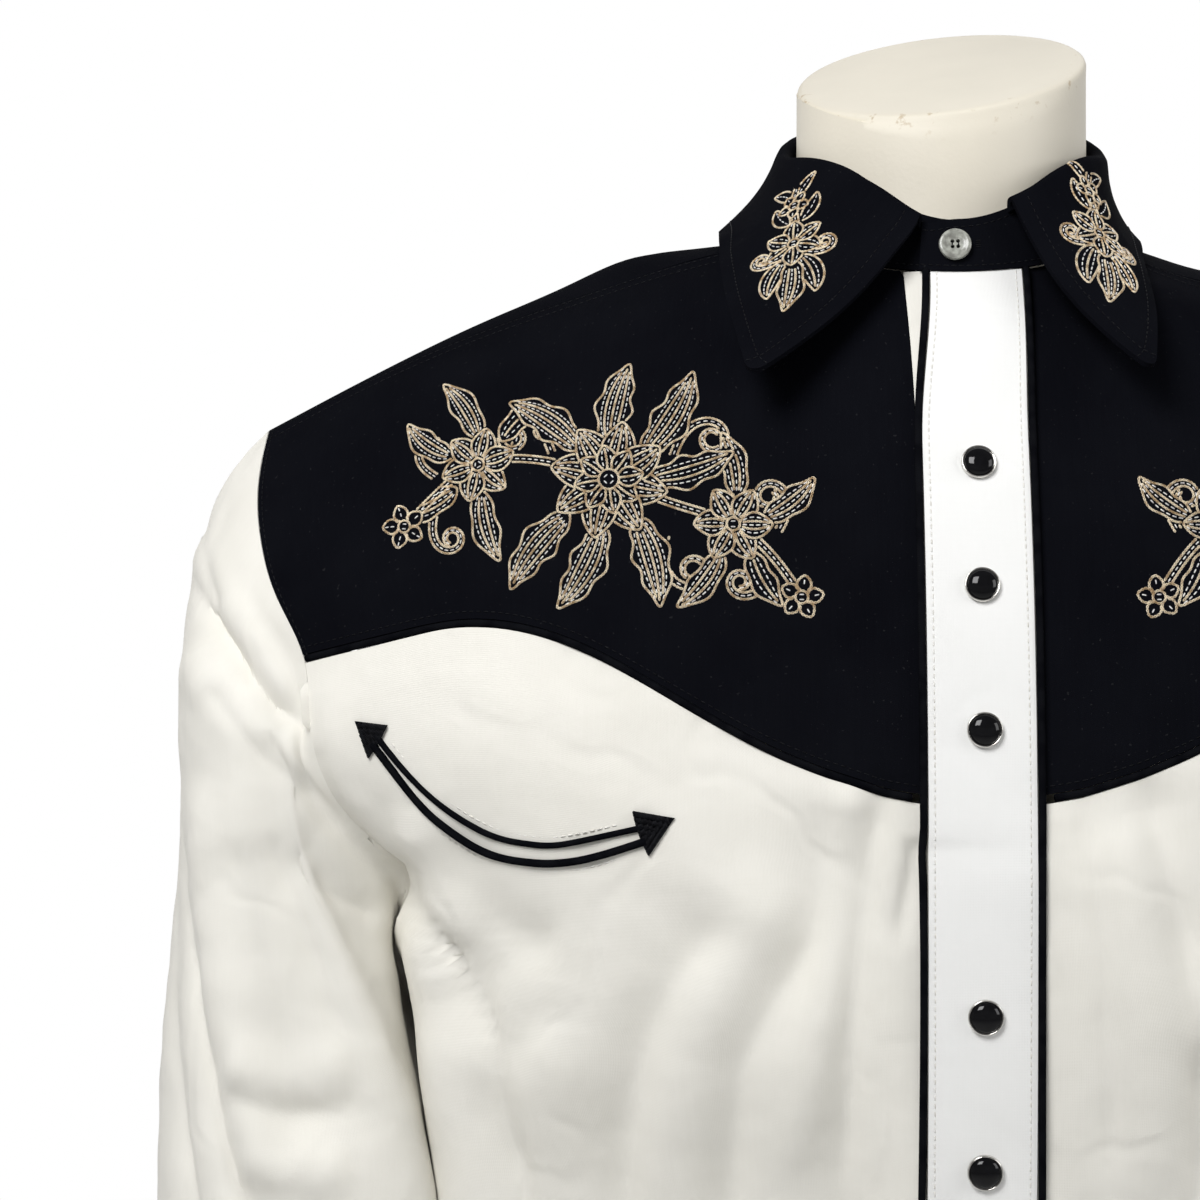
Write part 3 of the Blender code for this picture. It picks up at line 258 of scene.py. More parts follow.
def grid_normals(grid: Array, outward: int, closed: bool = False) -> Array:
    """Unit normals of a grid of points.

    Args:
        grid: Rows of points.
        outward: +1 or -1, whichever makes the normals point out.
        closed: Whether the rows are rings.

    Returns:
        A normal for each point.
    """
    if closed:
        across = np.roll(grid, -1, axis=1) - np.roll(grid, 1, axis=1)
    else:
        across = np.gradient(grid, axis=1)
    return unit(np.cross(across, np.gradient(grid, axis=0)) * outward)


# ---- finishes ----------------------------------------------------------------------------------
Colour = tuple[float, float, float]


class Graph:
    """A material's nodes, added one at a time and joined to each other."""

    def __init__(self, name: str) -> None:
        """Starts a material with only its shader and output."""
        self.material = bpy.data.materials.new(name)
        self.material.use_nodes = True
        self.tree = self.material.node_tree
        self.shader = self.tree.nodes["Principled BSDF"]

    def add(self, kind: str, inputs: dict | None = None, **settings: object) -> bpy.types.Node:
        """Adds a node.

        Args:
            kind: The node's type, without its common prefix.
            inputs: A value, or an output socket to link, for each input by name or number.
            settings: The node's own properties.

        Returns:
            The new node.
        """
        node = self.tree.nodes.new("ShaderNode" + kind)
        for key, value in settings.items():
            setattr(node, key, value)
        for key, value in (inputs or {}).items():
            self.feed(node.inputs[key], value)
        return node

    def feed(self, socket: bpy.types.NodeSocket, value: object) -> None:
        """Links an output to a socket, or sets the socket's own value."""
        if isinstance(value, bpy.types.NodeSocket):
            self.tree.links.new(value, socket)
        else:
            socket.default_value = value

    def ramp(
        self, factor: bpy.types.NodeSocket, stops: tuple[tuple[float, Colour], ...]
    ) -> bpy.types.NodeSocket:
        """A colour ramp's output, for stops of (place, colour)."""
        node = self.add("ValToRGB", {0: factor})
        elements = node.color_ramp.elements
        while len(elements) < len(stops):
            elements.new(0.5)
        for element, (place, colour) in zip(elements, stops):
            element.position = place
            element.color = (*colour, 1.0)
        return node.outputs["Color"]

    def noise(self, vector: bpy.types.NodeSocket, scale: float, detail: float = 3.0) -> bpy.types.NodeSocket:
        """The value of a noise texture."""
        node = self.add("TexNoise", {"Vector": vector, "Scale": scale, "Detail": detail})
        return node.outputs[0]

    def math(self, operation: str, a: object, b: object) -> bpy.types.NodeSocket:
        """The result of a sum of two values."""
        return self.add("Math", {0: a, 1: b}, operation=operation).outputs[0]

    def bumps(self, layers: list[tuple[bpy.types.NodeSocket, float]]) -> None:
        """Gives the shader a normal with several bump layers of (height, distance in metres)."""
        normal = None
        for height, distance in layers:
            inputs = {"Height": height, "Distance": distance, "Strength": 1.0}
            if normal is not None:
                inputs["Normal"] = normal
            normal = self.add("Bump", inputs).outputs["Normal"]
        self.feed(self.shader.inputs["Normal"], normal)

    def constants(self, **values: object) -> None:
        """Sets the shader's own sockets, with underscores for the spaces in their names."""
        for key, value in values.items():
            self.shader.inputs[key.replace("_", " ")].default_value = value


@dataclass(frozen=True)
class Finish:
    """A surface finish. Its material is made once."""

    name: str
    colour: Colour

    def material(self) -> bpy.types.Material:
        """The finish's material, made when it is first asked for."""
        return bpy.data.materials.get(self.name) or self.paint()

    def paint(self) -> bpy.types.Material:
        """Makes the material."""
        raise NotImplementedError


@dataclass(frozen=True)
class Shirting(Finish):
    """Fine plain-woven cotton: warp and weft, soft mottling, a slight fuzz and light crumpling."""

    deep: Colour = (0.5, 0.5, 0.5)
    roughness: float = 0.8
    sheen: float = 0.15
    yarn: float = 0.00052
    weave_depth: float = 0.00004
    crumple: float = 0.0006
    lint: float = 0.0
    shine: float = 0.25
    creases: float = 0.0
    mottle_scale: float = 28.0
    slub_scale: Point = (900.0, 60.0, 1.0)
    lint_scale: float = 900.0
    crumple_scale: float = 46.0
    crease_scale: float = 13.0
    crease_width: float = 0.045

    def paint(self) -> bpy.types.Material:
        """Makes the cloth's material."""
        g = Graph(self.name)
        weave = g.add("UVMap", uv_map="weave").outputs[0]
        place = g.add("TexCoord").outputs["Object"]
        scale = 2 * math.pi / (20 * self.yarn)
        threads = [
            g.add("TexWave", {"Vector": weave, "Scale": scale, "Distortion": 0.6, "Detail": 1.0},
                  bands_direction=axis).outputs[1]
            for axis in "XY"
        ]
        cross = g.math("MAXIMUM", *threads)
        mottle = g.noise(place, self.mottle_scale, 5.0)
        slub = g.noise(g.add("Mapping", {0: weave, 3: self.slub_scale}).outputs[0], 1.0, 2.0)
        tone = g.math("ADD", g.math("MULTIPLY", mottle, 0.75), g.math("MULTIPLY", slub, 0.25))
        colour = g.ramp(tone, ((0.30, self.deep), (0.72, self.colour)))
        if self.lint:
            speck = g.noise(place, self.lint_scale, 0.0)
            fleck = g.ramp(speck, ((0.80, (0.0, 0.0, 0.0)), (0.86, (self.lint,) * 3)))
            colour = g.add("MixRGB", {0: 1.0, 1: colour, 2: fleck}, blend_type="ADD").outputs[0]
        g.feed(g.shader.inputs["Base Color"], colour)
        rough = g.add("MapRange", {0: slub, 3: self.roughness - 0.06, 4: self.roughness + 0.06}).outputs[0]
        g.feed(g.shader.inputs["Roughness"], rough)
        soft = g.noise(place, self.crumple_scale, 2.0)
        layers = [(soft, self.crumple), (cross, self.weave_depth)]
        if self.creases:
            away = g.math("SUBTRACT", g.noise(place, self.crease_scale, 2.5), 0.5)
            away = g.math("ABSOLUTE", away, 0.0)
            inputs = {0: away, 1: 0.0, 2: self.crease_width, 3: 0.0, 4: 1.0}
            line = g.add("MapRange", inputs, interpolation_type="SMOOTHSTEP")
            layers.insert(0, (line.outputs[0], self.creases))
        g.bumps(layers)
        g.constants(Sheen_Weight=self.sheen, Sheen_Roughness=0.5, Specular_IOR_Level=self.shine)
        return g.material


@dataclass(frozen=True)
class Thread(Finish):
    """Sewing or embroidery thread, whose shade changes a little from stitch to stitch."""

    dark: Colour = (0.1, 0.1, 0.1)
    roughness: float = 0.45
    sheen: float = 0.3
    metallic: float = 0.0
    patch: float = 520.0
    shine: float = 0.5
    twist_scale: float = 700.0
    twist_depth: float = 0.00006

    def paint(self) -> bpy.types.Material:
        """Makes the thread's material."""
        g = Graph(self.name)
        place = g.add("TexCoord").outputs["Object"]
        shade = g.noise(place, self.patch, 1.0)
        g.feed(g.shader.inputs["Base Color"], g.ramp(shade, ((0.36, self.dark), (0.58, self.colour))))
        inputs = {"Vector": place, "Scale": self.twist_scale, "Distortion": 2.0}
        twist = g.add("TexWave", inputs, bands_direction="DIAGONAL")
        g.bumps([(twist.outputs[1], self.twist_depth)])
        g.constants(Roughness=self.roughness, Sheen_Weight=self.sheen, Metallic=self.metallic)
        g.constants(Specular_IOR_Level=self.shine)
        return g.material


@dataclass(frozen=True)
class Gloss(Finish):
    """Enamel, metal, shell or paint: smooth, with faint wear."""

    worn: Colour = (0.1, 0.1, 0.1)
    roughness: float = 0.1
    metallic: float = 0.0
    coat: float = 0.0
    see_through: float = 0.0
    shine: float = 0.5
    wear_scale: float = 300.0
    wear_depth: float = 0.00001

    def paint(self) -> bpy.types.Material:
        """Makes the glossy material."""
        g = Graph(self.name)
        place = g.add("TexCoord").outputs["Object"]
        wear = g.noise(place, self.wear_scale, 4.0)
        g.feed(g.shader.inputs["Base Color"], g.ramp(wear, ((0.35, self.worn), (0.60, self.colour))))
        rough = g.add("MapRange", {0: wear, 3: self.roughness * 0.7, 4: self.roughness * 1.4}).outputs[0]
        g.feed(g.shader.inputs["Roughness"], rough)
        g.bumps([(wear, self.wear_depth)])
        g.constants(Metallic=self.metallic, Coat_Weight=self.coat, Transmission_Weight=self.see_through)
        g.constants(Specular_IOR_Level=self.shine)
        return g.material


WHITE = Shirting(
    "white_poplin", (0.855, 0.835, 0.775), deep=(0.815, 0.795, 0.73),
    crumple=0.0010, sheen=0.08, creases=0.0003,
)
# The placket's poplin is a copy of the white poplin painted lighter. Its extra brightness is painted light,
# set to make up for the shade the flat, front-facing placket gets under these lights.
PLACKET_PAINTED_LIGHTER = Shirting(
    "white_placket_poplin", (0.88, 0.88, 0.87), deep=(0.855, 0.855, 0.84),
    crumple=0.0003, sheen=0.08, creases=0.0001,
)
BLACK = Shirting(
    "black_poplin", (0.0048, 0.0052, 0.0074), deep=(0.0030, 0.0032, 0.0050), roughness=0.9, sheen=0.0,
    lint=0.010, shine=0.012, creases=0.0003,
)
CORD = Thread(
    "black_cotton_cord", (0.0060, 0.0063, 0.0080), dark=(0.0036, 0.0038, 0.0052),
    roughness=1.0, sheen=0.0, patch=160.0, shine=0.0,
)
BLACK_THREAD = Thread(
    "black_thread", (0.0070, 0.0074, 0.0095), dark=(0.0028, 0.0028, 0.0042),
    roughness=0.55, sheen=0.0, shine=0.12,
)
WHITE_THREAD = Thread("white_thread", (0.84, 0.83, 0.79), dark=(0.74, 0.72, 0.66))
GOLD_THREAD = Thread(
    "gold_thread", (0.96, 0.82, 0.60), dark=(0.50, 0.33, 0.16), roughness=0.36, metallic=0.15, patch=420.0
)
SILVER_THREAD = Thread(
    "silver_thread", (0.95, 0.94, 0.93), dark=(0.66, 0.64, 0.66), roughness=0.35, metallic=0.1
)
ENAMEL = Gloss(
    "black_enamel", (0.0030, 0.0030, 0.0038), worn=(0.0045, 0.0045, 0.0055),
    roughness=0.07, coat=0.08, shine=0.22,
)
NICKEL = Gloss("bright_nickel", (0.80, 0.78, 0.74), worn=(0.55, 0.53, 0.50), roughness=0.16, metallic=1.0)
SHELL = Gloss(
    "pearl_shell", (0.36, 0.37, 0.33), worn=(0.20, 0.20, 0.18), roughness=0.25, coat=0.2, wear_scale=420.0
)
STEEL = Gloss("satin_steel", (0.56, 0.56, 0.57), worn=(0.46, 0.46, 0.47), roughness=0.3, metallic=1.0)


@dataclass(frozen=True)
class FormPaint(Finish):
    """A painted fibreglass form: satin cream, scuffed along the rim of its neck."""

    scuffed: Colour = (0.56, 0.47, 0.34)

    def paint(self) -> bpy.types.Material:
        """Makes the form's material."""
        g = Graph(self.name)
        place = g.add("TexCoord").outputs["Object"]
        cloud = g.noise(place, 14.0, 4.0)
        base = g.ramp(cloud, ((0.30, tuple(0.90 * c for c in self.colour)), (0.70, self.colour)))
        chips = g.noise(place, 210.0, 5.0)
        wear = g.ramp(chips, ((0.62, (0.0, 0.0, 0.0)), (0.68, (1.0, 1.0, 1.0))))
        rim = g.add("Attribute", attribute_name="rim").outputs["Fac"]
        amount = g.math("MULTIPLY", wear, rim)
        mixed = g.add("MixRGB", {0: amount, 1: base, 2: (*self.scuffed, 1.0)}).outputs[0]
        g.feed(g.shader.inputs["Base Color"], mixed)
        grain = g.noise(place, 500.0, 3.0)
        g.bumps([(cloud, 0.0004), (grain, 0.00008)])
        g.constants(Roughness=0.5, Specular_IOR_Level=0.35)
        return g.material


FORM_PAINT = FormPaint("form_paint_cream", (0.78, 0.73, 0.62))


# ---- making and placing pieces -----------------------------------------------------------------
def new_piece(
    name: str, mesh: bpy.types.Mesh, finishes: list[Finish], nodes: list[str]
) -> bpy.types.Object:
    """Puts a mesh in the scene as a piece of the shirt, dressed and riding on its body.

    Args:
        name: The piece's name.
        mesh: Its mesh, in the row frame.
        finishes: Its finishes, in the order of its material slots.
        nodes: The solids that it stands for.

    Returns:
        The piece.
    """
    for finish in finishes:
        mesh.materials.append(finish.material())
    obj = bpy.data.objects.new(name, mesh)
    bpy.context.scene.collection.objects.link(obj)
    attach(obj, BODY)
    if nodes:
        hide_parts(*nodes)
    return obj


def mesh_of(name: str, vertices: Array, faces: Array | list, smooth_shading: bool = True) -> bpy.types.Mesh:
    """A mesh from its vertices and faces."""
    mesh = bpy.data.meshes.new(name)
    mesh.from_pydata(np.asarray(vertices).tolist(), [], faces if isinstance(faces, list) else faces.tolist())
    mesh.update()
    if smooth_shading:
        mesh.shade_smooth()
    return mesh


def grid_faces(rows: int, columns: int, closed: bool, start: int = 0) -> Array:
    """The quads of a grid of vertices, a row after a row.

    Args:
        rows: How many rows.
        columns: How many vertices in a row.
        closed: Whether the last column joins the first.
        start: The first vertex's number.

    Returns:
        Four vertex numbers for each quad.
    """
    r, c = np.meshgrid(np.arange(rows - 1), np.arange(columns if closed else columns - 1), indexing="ij")
    n = (c + 1) % columns
    low, high = r * columns, (r + 1) * columns
    quads = np.stack([low + c, low + n, high + n, high + c], axis=-1)
    return quads.reshape(-1, 4) + start


def capped_faces(rows: int, count: int) -> list[list[int]]:
    """The faces of a stack of closed rings of so many vertices, with a flat face at each end."""
    last = (rows - 1) * count
    ends = [list(range(last, last + count)), list(range(count))[::-1]]
    return grid_faces(rows, count, True).tolist() + ends


def turned_rings(profile: Array | Table, sides: int) -> list[Array]:
    """A ring of points about the Z axis for each (radius, height) of a profile."""
    turn = np.linspace(0, 2 * math.pi, sides, endpoint=False)
    return [np.stack([r * np.cos(turn), r * np.sin(turn), np.full(sides, h)], axis=1) for r, h in profile]


def from_bmesh(name: str, bm: bmesh.types.BMesh) -> bpy.types.Mesh:
    """The mesh that an editing mesh holds. The editing mesh is freed."""
    mesh = bpy.data.meshes.new(name)
    bm.to_mesh(mesh)
    bm.free()
    return mesh


def tube_mesh(name: str, line: Array, radius: float | Array, sides: int = 10) -> bpy.types.Mesh:
    """A round cord along a line, closed at its ends."""
    ahead = unit(np.gradient(line, axis=0))
    aside = unit(np.cross(ahead, np.array([0.31, 0.17, 0.94])))
    third = np.cross(ahead, aside)
    turn = np.linspace(0, 2 * math.pi, sides, endpoint=False)
    ring = np.cos(turn)[None, :, None] * aside[:, None] + np.sin(turn)[None, :, None] * third[:, None]
    rings = line[:, None] + ring * np.broadcast_to(np.asarray(radius, float), (len(line),))[:, None, None]
    faces = grid_faces(len(line), sides, True).tolist()
    last = (len(line) - 1) * sides
    faces += [list(range(sides))[::-1], list(range(last, last + sides))]
    return mesh_of(name, rings.reshape(-1, 3), faces)


@dataclass
class Sheet:
    """The inner side of a piece of cloth: a grid of points, with normals that point out of it."""

    points: Array
    normals: Array
    closed: bool = False

    def part(self, rows: slice, columns: slice = slice(None)) -> Sheet:
        """The part in these rows and columns."""
        return Sheet(self.points[rows, columns].copy(), self.normals[rows, columns].copy(), self.closed)

    def lifted(self, distance: float) -> Array:
        """Its points, moved out by a distance."""
        return self.points + self.normals * distance

    def trimmed(self, **trims: float) -> Sheet:
        """The sheet with its edges moved into it by lengths, named as in Edge."""
        source, grid = self.points, self.points.copy()
        grid[0] += unit(source[1] - source[0]) * trims.get("first_row", 0.0)
        grid[-1] += unit(source[-2] - source[-1]) * trims.get("last_row", 0.0)
        grid[:, 0] += unit(source[:, 1] - source[:, 0]) * trims.get("first_column", 0.0)
        grid[:, -1] += unit(source[:, -2] - source[:, -1]) * trims.get("last_column", 0.0)
        return Sheet(grid, self.normals, self.closed)

    def crumpled(self, amount: float, size: float, seed: float) -> Sheet:
        """The sheet with a soft uneven surface.

        Args:
            amount: The most that it rises or sinks.
            size: The width of one rise.
            seed: Which pattern it has.

        Returns:
            The uneven sheet.
        """
        flat = self.points.reshape(-1, 3) / size + seed
        rise = np.array([noise.noise(Vector(p)) for p in flat]).reshape(self.points.shape[:2])
        return Sheet(self.points + self.normals * (rise * amount)[..., None], self.normals, self.closed)

    def inset(self, edge: Edge, distance: float, lift: float) -> Array:
        """A line at a distance inside an edge.

        Args:
            edge: Which edge.
            distance: How far in from it.
            lift: How far out of the inner side.

        Returns:
            Rows of a point and the normal there, six numbers in all.
        """
        both = np.concatenate([self.lifted(lift), self.normals], axis=-1)
        if edge in (Edge.FIRST_COLUMN, Edge.LAST_COLUMN):
            both = both.transpose(1, 0, 2)
        if edge in (Edge.LAST_ROW, Edge.LAST_COLUMN):
            both = both[::-1]
        lines = []
        for k in range(both.shape[1]):
            length = lengths_along(both[:12, k])
            lines.append([np.interp(distance, length, both[:12, k, i]) for i in range(6)])
        return np.array(lines)

    def tree(self, lift: float) -> BVHTree:
        """A search tree over the sheet, moved out by a lift."""
        rows, columns = self.points.shape[:2]
        quads = grid_faces(rows, columns, self.closed).tolist()
        return BVHTree.FromPolygons([Vector(p) for p in self.lifted(lift).reshape(-1, 3)], quads)

    def shell(self, name: str, thickness: float) -> bpy.types.Mesh:
        """The cloth as a thin closed shell, with its weave laid out in metres."""
        rows, columns = self.points.shape[:2]
        inside, outside = self.points.reshape(-1, 3), self.lifted(thickness).reshape(-1, 3)
        count = rows * columns
        skin = grid_faces(rows, columns, self.closed)
        corner = outside[skin[0]]
        facing = np.dot(np.cross(corner[1] - corner[0], corner[2] - corner[0]), self.normals[0, 0]) > 0
        flip = slice(None) if facing else slice(None, None, -1)
        faces = [skin[:, flip] + count, skin[:, ::-1][:, flip]]
        rims = [np.arange(columns), np.arange(columns) + (rows - 1) * columns]
        if not self.closed:
            rims += [np.arange(rows) * columns, np.arange(rows) * columns + columns - 1]
        for number, rim in enumerate(rims):
            line = np.append(rim, rim[0]) if self.closed else rim
            a, b = line[:-1], line[1:]
            quad = np.stack([a, b, b + count, a + count], axis=1)
            turned = (number in (1, 2)) == facing
            faces.append(quad[:, ::-1] if turned else quad)
        mesh = mesh_of(name, np.vstack([inside, outside]), np.concatenate(faces))
        mesh.set_sharp_from_angle(angle=math.radians(50))
        across = np.linalg.norm(np.diff(self.points, axis=1), axis=2).mean(axis=0)
        up = np.linalg.norm(np.diff(self.points, axis=0), axis=2).mean(axis=1)
        u = np.broadcast_to(np.append(0, np.cumsum(across))[None, :], (rows, columns))
        v = np.broadcast_to(np.append(0, np.cumsum(up))[:, None], (rows, columns))
        both = np.tile(np.stack([u, v], axis=-1).reshape(-1, 2), (2, 1))
        layer = mesh.uv_layers.new(name="weave")
        corners = np.empty(len(mesh.loops), dtype=np.int32)
        mesh.loops.foreach_get("vertex_index", corners)
        layer.data.foreach_set("uv", both[corners].astype(np.float32).ravel())
        return mesh


@dataclass(frozen=True)
class Fold:
    """A soft fold along a path of (x, z), out from the cloth, or in where its height is negative.

    lap above 1 makes the side to the left of the path broad and the other side steep. A low power makes a
    crisp crease, and 2 a soft one.
    """

    path: tuple[tuple[float, float], ...]
    half_width: float
    height: float
    lap: float = 1.0
    power: float = 2.0
    begin: float = 0.12
    end: float = 0.20

    def rise(self, x: Array, z: Array) -> Array:
        """How far it lifts the cloth.

        Args:
            x: The places across.
            z: The places up.

        Returns:
            The rise at each place.
        """
        points = np.array(self.path)
        steps = np.diff(points, axis=0)
        sizes = np.linalg.norm(steps, axis=1)
        starts = np.append(0, np.cumsum(sizes))
        best, aside, place = np.full(x.shape, np.inf), np.zeros(x.shape), np.zeros(x.shape)
        for start, step, size, begun in zip(points, steps, sizes, starts):
            dx, dz = x - start[0], z - start[1]
            share = np.clip((dx * step[0] + dz * step[1]) / size**2, 0, 1)
            away = np.hypot(dx - share * step[0], dz - share * step[1])
            hand = np.sign(step[0] * dz - step[1] * dx)
            nearer = away < best
            best = np.where(nearer, away, best)
            aside = np.where(nearer, hand, aside)
            place = np.where(nearer, begun + share * size, place)
        share = place / starts[-1]
        width = self.half_width * np.where(aside > 0, self.lap, 1 / self.lap)
        fade = ease(share, 0.0, self.begin) * (1 - ease(share, 1 - self.end, 1.0))
        return self.height * fade * np.exp(-((best / width) ** self.power))


def folds(table: Table) -> list[Fold]:
    """Straight folds from rows of x_high, z_high, x_low, z_low, half_width, height."""
    return [Fold(((row[0], row[1]), (row[2], row[3])), row[4], row[5]) for row in table]


def rolled(distance: Array, at: float, width: float, height: float) -> Array:
    """A rounded ridge or trough beside an edge.

    Args:
        distance: How far each point lies from the edge.
        at: How far from the edge its middle runs.
        width: Its half width.
        height: Its height, below 0 for a trough.

    Returns:
        The rise at each point.
    """
    return height * np.exp(-(((distance - at) / width) ** 2))


def folded(
    grid: Array, normals: Array, made: list[Fold], face: int, shift: float = 0.0, strength: float = 1.0
) -> Array:
    """A grid with folds on the part of it that faces the front or the back.

    Args:
        grid: Rows of points.
        normals: The normal at each point.
        made: The folds.
        face: -1 for the front, +1 for the back.
        shift: How much lower the folds are set.
        strength: What their heights are multiplied by.

    Returns:
        The folded grid.
    """
    rise = strength * sum(fold.rise(grid[..., 0], grid[..., 2] + shift) for fold in made)
    return grid + normals * (rise * np.clip(normals[..., 1] * face * FACING, 0.0, 1.0))[..., None]


# ---- stitching ---------------------------------------------------------------------------------
@dataclass
class Sewing:
    """Stitches of one thread, gathered into one piece."""

    name: str
    finish: Thread
    length: float = 0.0021
    pitch: float = 0.0027
    radius: float = 0.00024
    kind: Stitch = Stitch.RUNNING
    link_width: float = 0.00125
    lines: list[Array] = field(default_factory=list)

    def sew(self, line: Array) -> None:
        """Adds a line of rows of a point and a normal."""
        self.lines.append(line)

    def running(self) -> tuple[Array, Array]:
        """One stitch of length one along x and radius one, sunk a little at both ends."""
        ring = ((-0.34, 0.9), (0.0, 1.0), (0.34, 0.9))
        sides = 4
        turn = np.arange(sides) * 2 * math.pi / sides + math.pi / 2
        points = [(x, math.cos(t) * r, math.sin(t) * r + 0.25) for x, r in ring for t in turn]
        points += [(-0.5, 0.0, -0.5), (0.5, 0.0, -0.5)]
        faces = []
        for r in range(2):
            for s in range(sides):
                n = (s + 1) % sides
                a, b, c, d = r * sides + s, r * sides + n, (r + 1) * sides + n, (r + 1) * sides + s
                faces += [(a, b, c), (a, c, d)]
        last, ends = 2 * sides, 3 * sides
        faces += [((s + 1) % sides, s, ends) for s in range(sides)]
        faces += [(last + s, last + (s + 1) % sides, ends + 1) for s in range(sides)]
        return np.array(points, float), np.array(faces)

    def chain(self) -> tuple[Array, Array]:
        """One link: a loop of thread as long as one along x, in radii across and up."""
        around, sides = 6, 3
        turn = np.arange(around) * 2 * math.pi / around
        reach = self.link_width / 2 / self.radius - 1
        points, faces = [], []
        for t in turn:
            x, y = 0.42 * math.cos(t), reach * math.sin(t) * (1 - 0.35 * math.cos(t))
            for side in range(sides):
                s = side * 2 * math.pi / sides + math.pi / 2
                out, high = 1.25 * math.cos(s), 1.15 * math.sin(s) + 0.5
                slim = self.radius / self.length
                points.append((x + out * slim * math.cos(t), y + out * math.sin(t), high))
        for k in range(around):
            for side in range(sides):
                n, m = (k + 1) % around, (side + 1) % sides
                a, b, c, d = k * sides + side, n * sides + side, n * sides + m, k * sides + m
                faces += [(a, b, c), (a, c, d)]
        return np.array(points, float), np.array(faces)

    def piece(self, slot: str) -> bpy.types.Object:
        """Makes the piece from all the lines sewn so far."""
        template, triangles = self.running() if self.kind is Stitch.RUNNING else self.chain()
        rows = []
        for line in self.lines:
            total = lengths_along(line)[-1]
            count = max(1, int(total / self.pitch))
            at = (np.arange(count) + 0.5) / count
            half = self.pitch * 0.35 / total
            here, before, after = (along(line, np.clip(at + k, 0, 1)) for k in (0.0, -half, half))
            rows.append(np.concatenate([here, after[:, :3] - before[:, :3]], axis=1))
        rows = np.concatenate(rows)
        ahead, up = unit(rows[:, 6:9]), unit(rows[:, 3:6])
        side = unit(np.cross(up, ahead))
        up = np.cross(ahead, side)
        x, y, z = (template[:, k] for k in range(3))
        vertices = (
            rows[:, None, :3]
            + (x * self.length)[None, :, None] * ahead[:, None]
            + (y * self.radius)[None, :, None] * side[:, None]
            + (z * self.radius)[None, :, None] * up[:, None]
        )
        shift = (np.arange(len(rows)) * len(template))[:, None, None]
        faces = (triangles[None] + shift).reshape(-1, 3)
        LOG.info("%s: %d stitches, %d triangles", self.name, len(rows), len(faces))
        mesh = mesh_of(self.name, vertices.reshape(-1, 3), faces)
        return new_piece(self.name, mesh, [self.finish], [])


def seat(tree: BVHTree, x: float, z: float, lift: float) -> tuple[Vector, Vector]:
    """A point on the front.

    Args:
        tree: The front's outer side.
        x: Its place across.
        z: Its place up.
        lift: How far it is moved out of the cloth.

    Returns:
        The point, and the normal there.
    """
    place, normal, _, _ = tree.ray_cast(Vector((x, -1.0, z)), Vector((0.0, 1.0, 0.0)))
    if normal.y > 0:
        normal = -normal
    return place + normal * lift, normal


def seated(tree: BVHTree, side: Side, flat: Array, lift: float) -> Array:
    """A line laid onto the front.

    Args:
        tree: The front's outer side.
        side: The side it lies on.
        flat: Its (x, z), with x counted outwards.
        lift: How far out of the cloth it lies.

    Returns:
        Rows of a point and the normal there.
    """
    return np.array([[*p, *n] for p, n in (seat(tree, side.value * x, z, lift) for x, z in flat)])


# ---- the body of the shirt ---------------------------------------------------------------------
@dataclass
class NeckRing:
    """A ring round the neck. Its front lies below its sides by tilt + dip, its back above by tilt - dip."""

    half_width: float
    front: float
    back: float
    side_z: float
    tilt: float
    dip: float
    vee: float = 0.0

    def point(self, angle: float, centre_x: float) -> Array:
        """A point of the ring, by the angle from the front towards the wearer's left."""
        c = math.cos(angle)
        z = self.side_z - self.tilt * c - self.dip * c * c
        if c > 0:
            z += self.vee * math.sin(2 * angle) ** 2
        depth = self.front if c > 0 else self.back
        return np.array([centre_x + self.half_width * math.sin(angle), -depth * c, z])

    def outward(self, angle: float, centre_x: float) -> Array:
        """The level direction out of the ring."""
        ahead = self.point(angle + 0.01, centre_x) - self.point(angle - 0.01, centre_x)
        return unit(np.array([ahead[1], -ahead[0], 0.0]))


NECK_CENTRE_X = -0.0030
NECKLINE = NeckRing(0.0630, 0.070, 0.066, 1.044, 0.019, 0.007)
BAND_TOP = NeckRing(0.0562, 0.0655, 0.058, 1.0675, 0.0260, 0.0049, 0.0088)
TOP_TAPER = (0.955, 1.018)


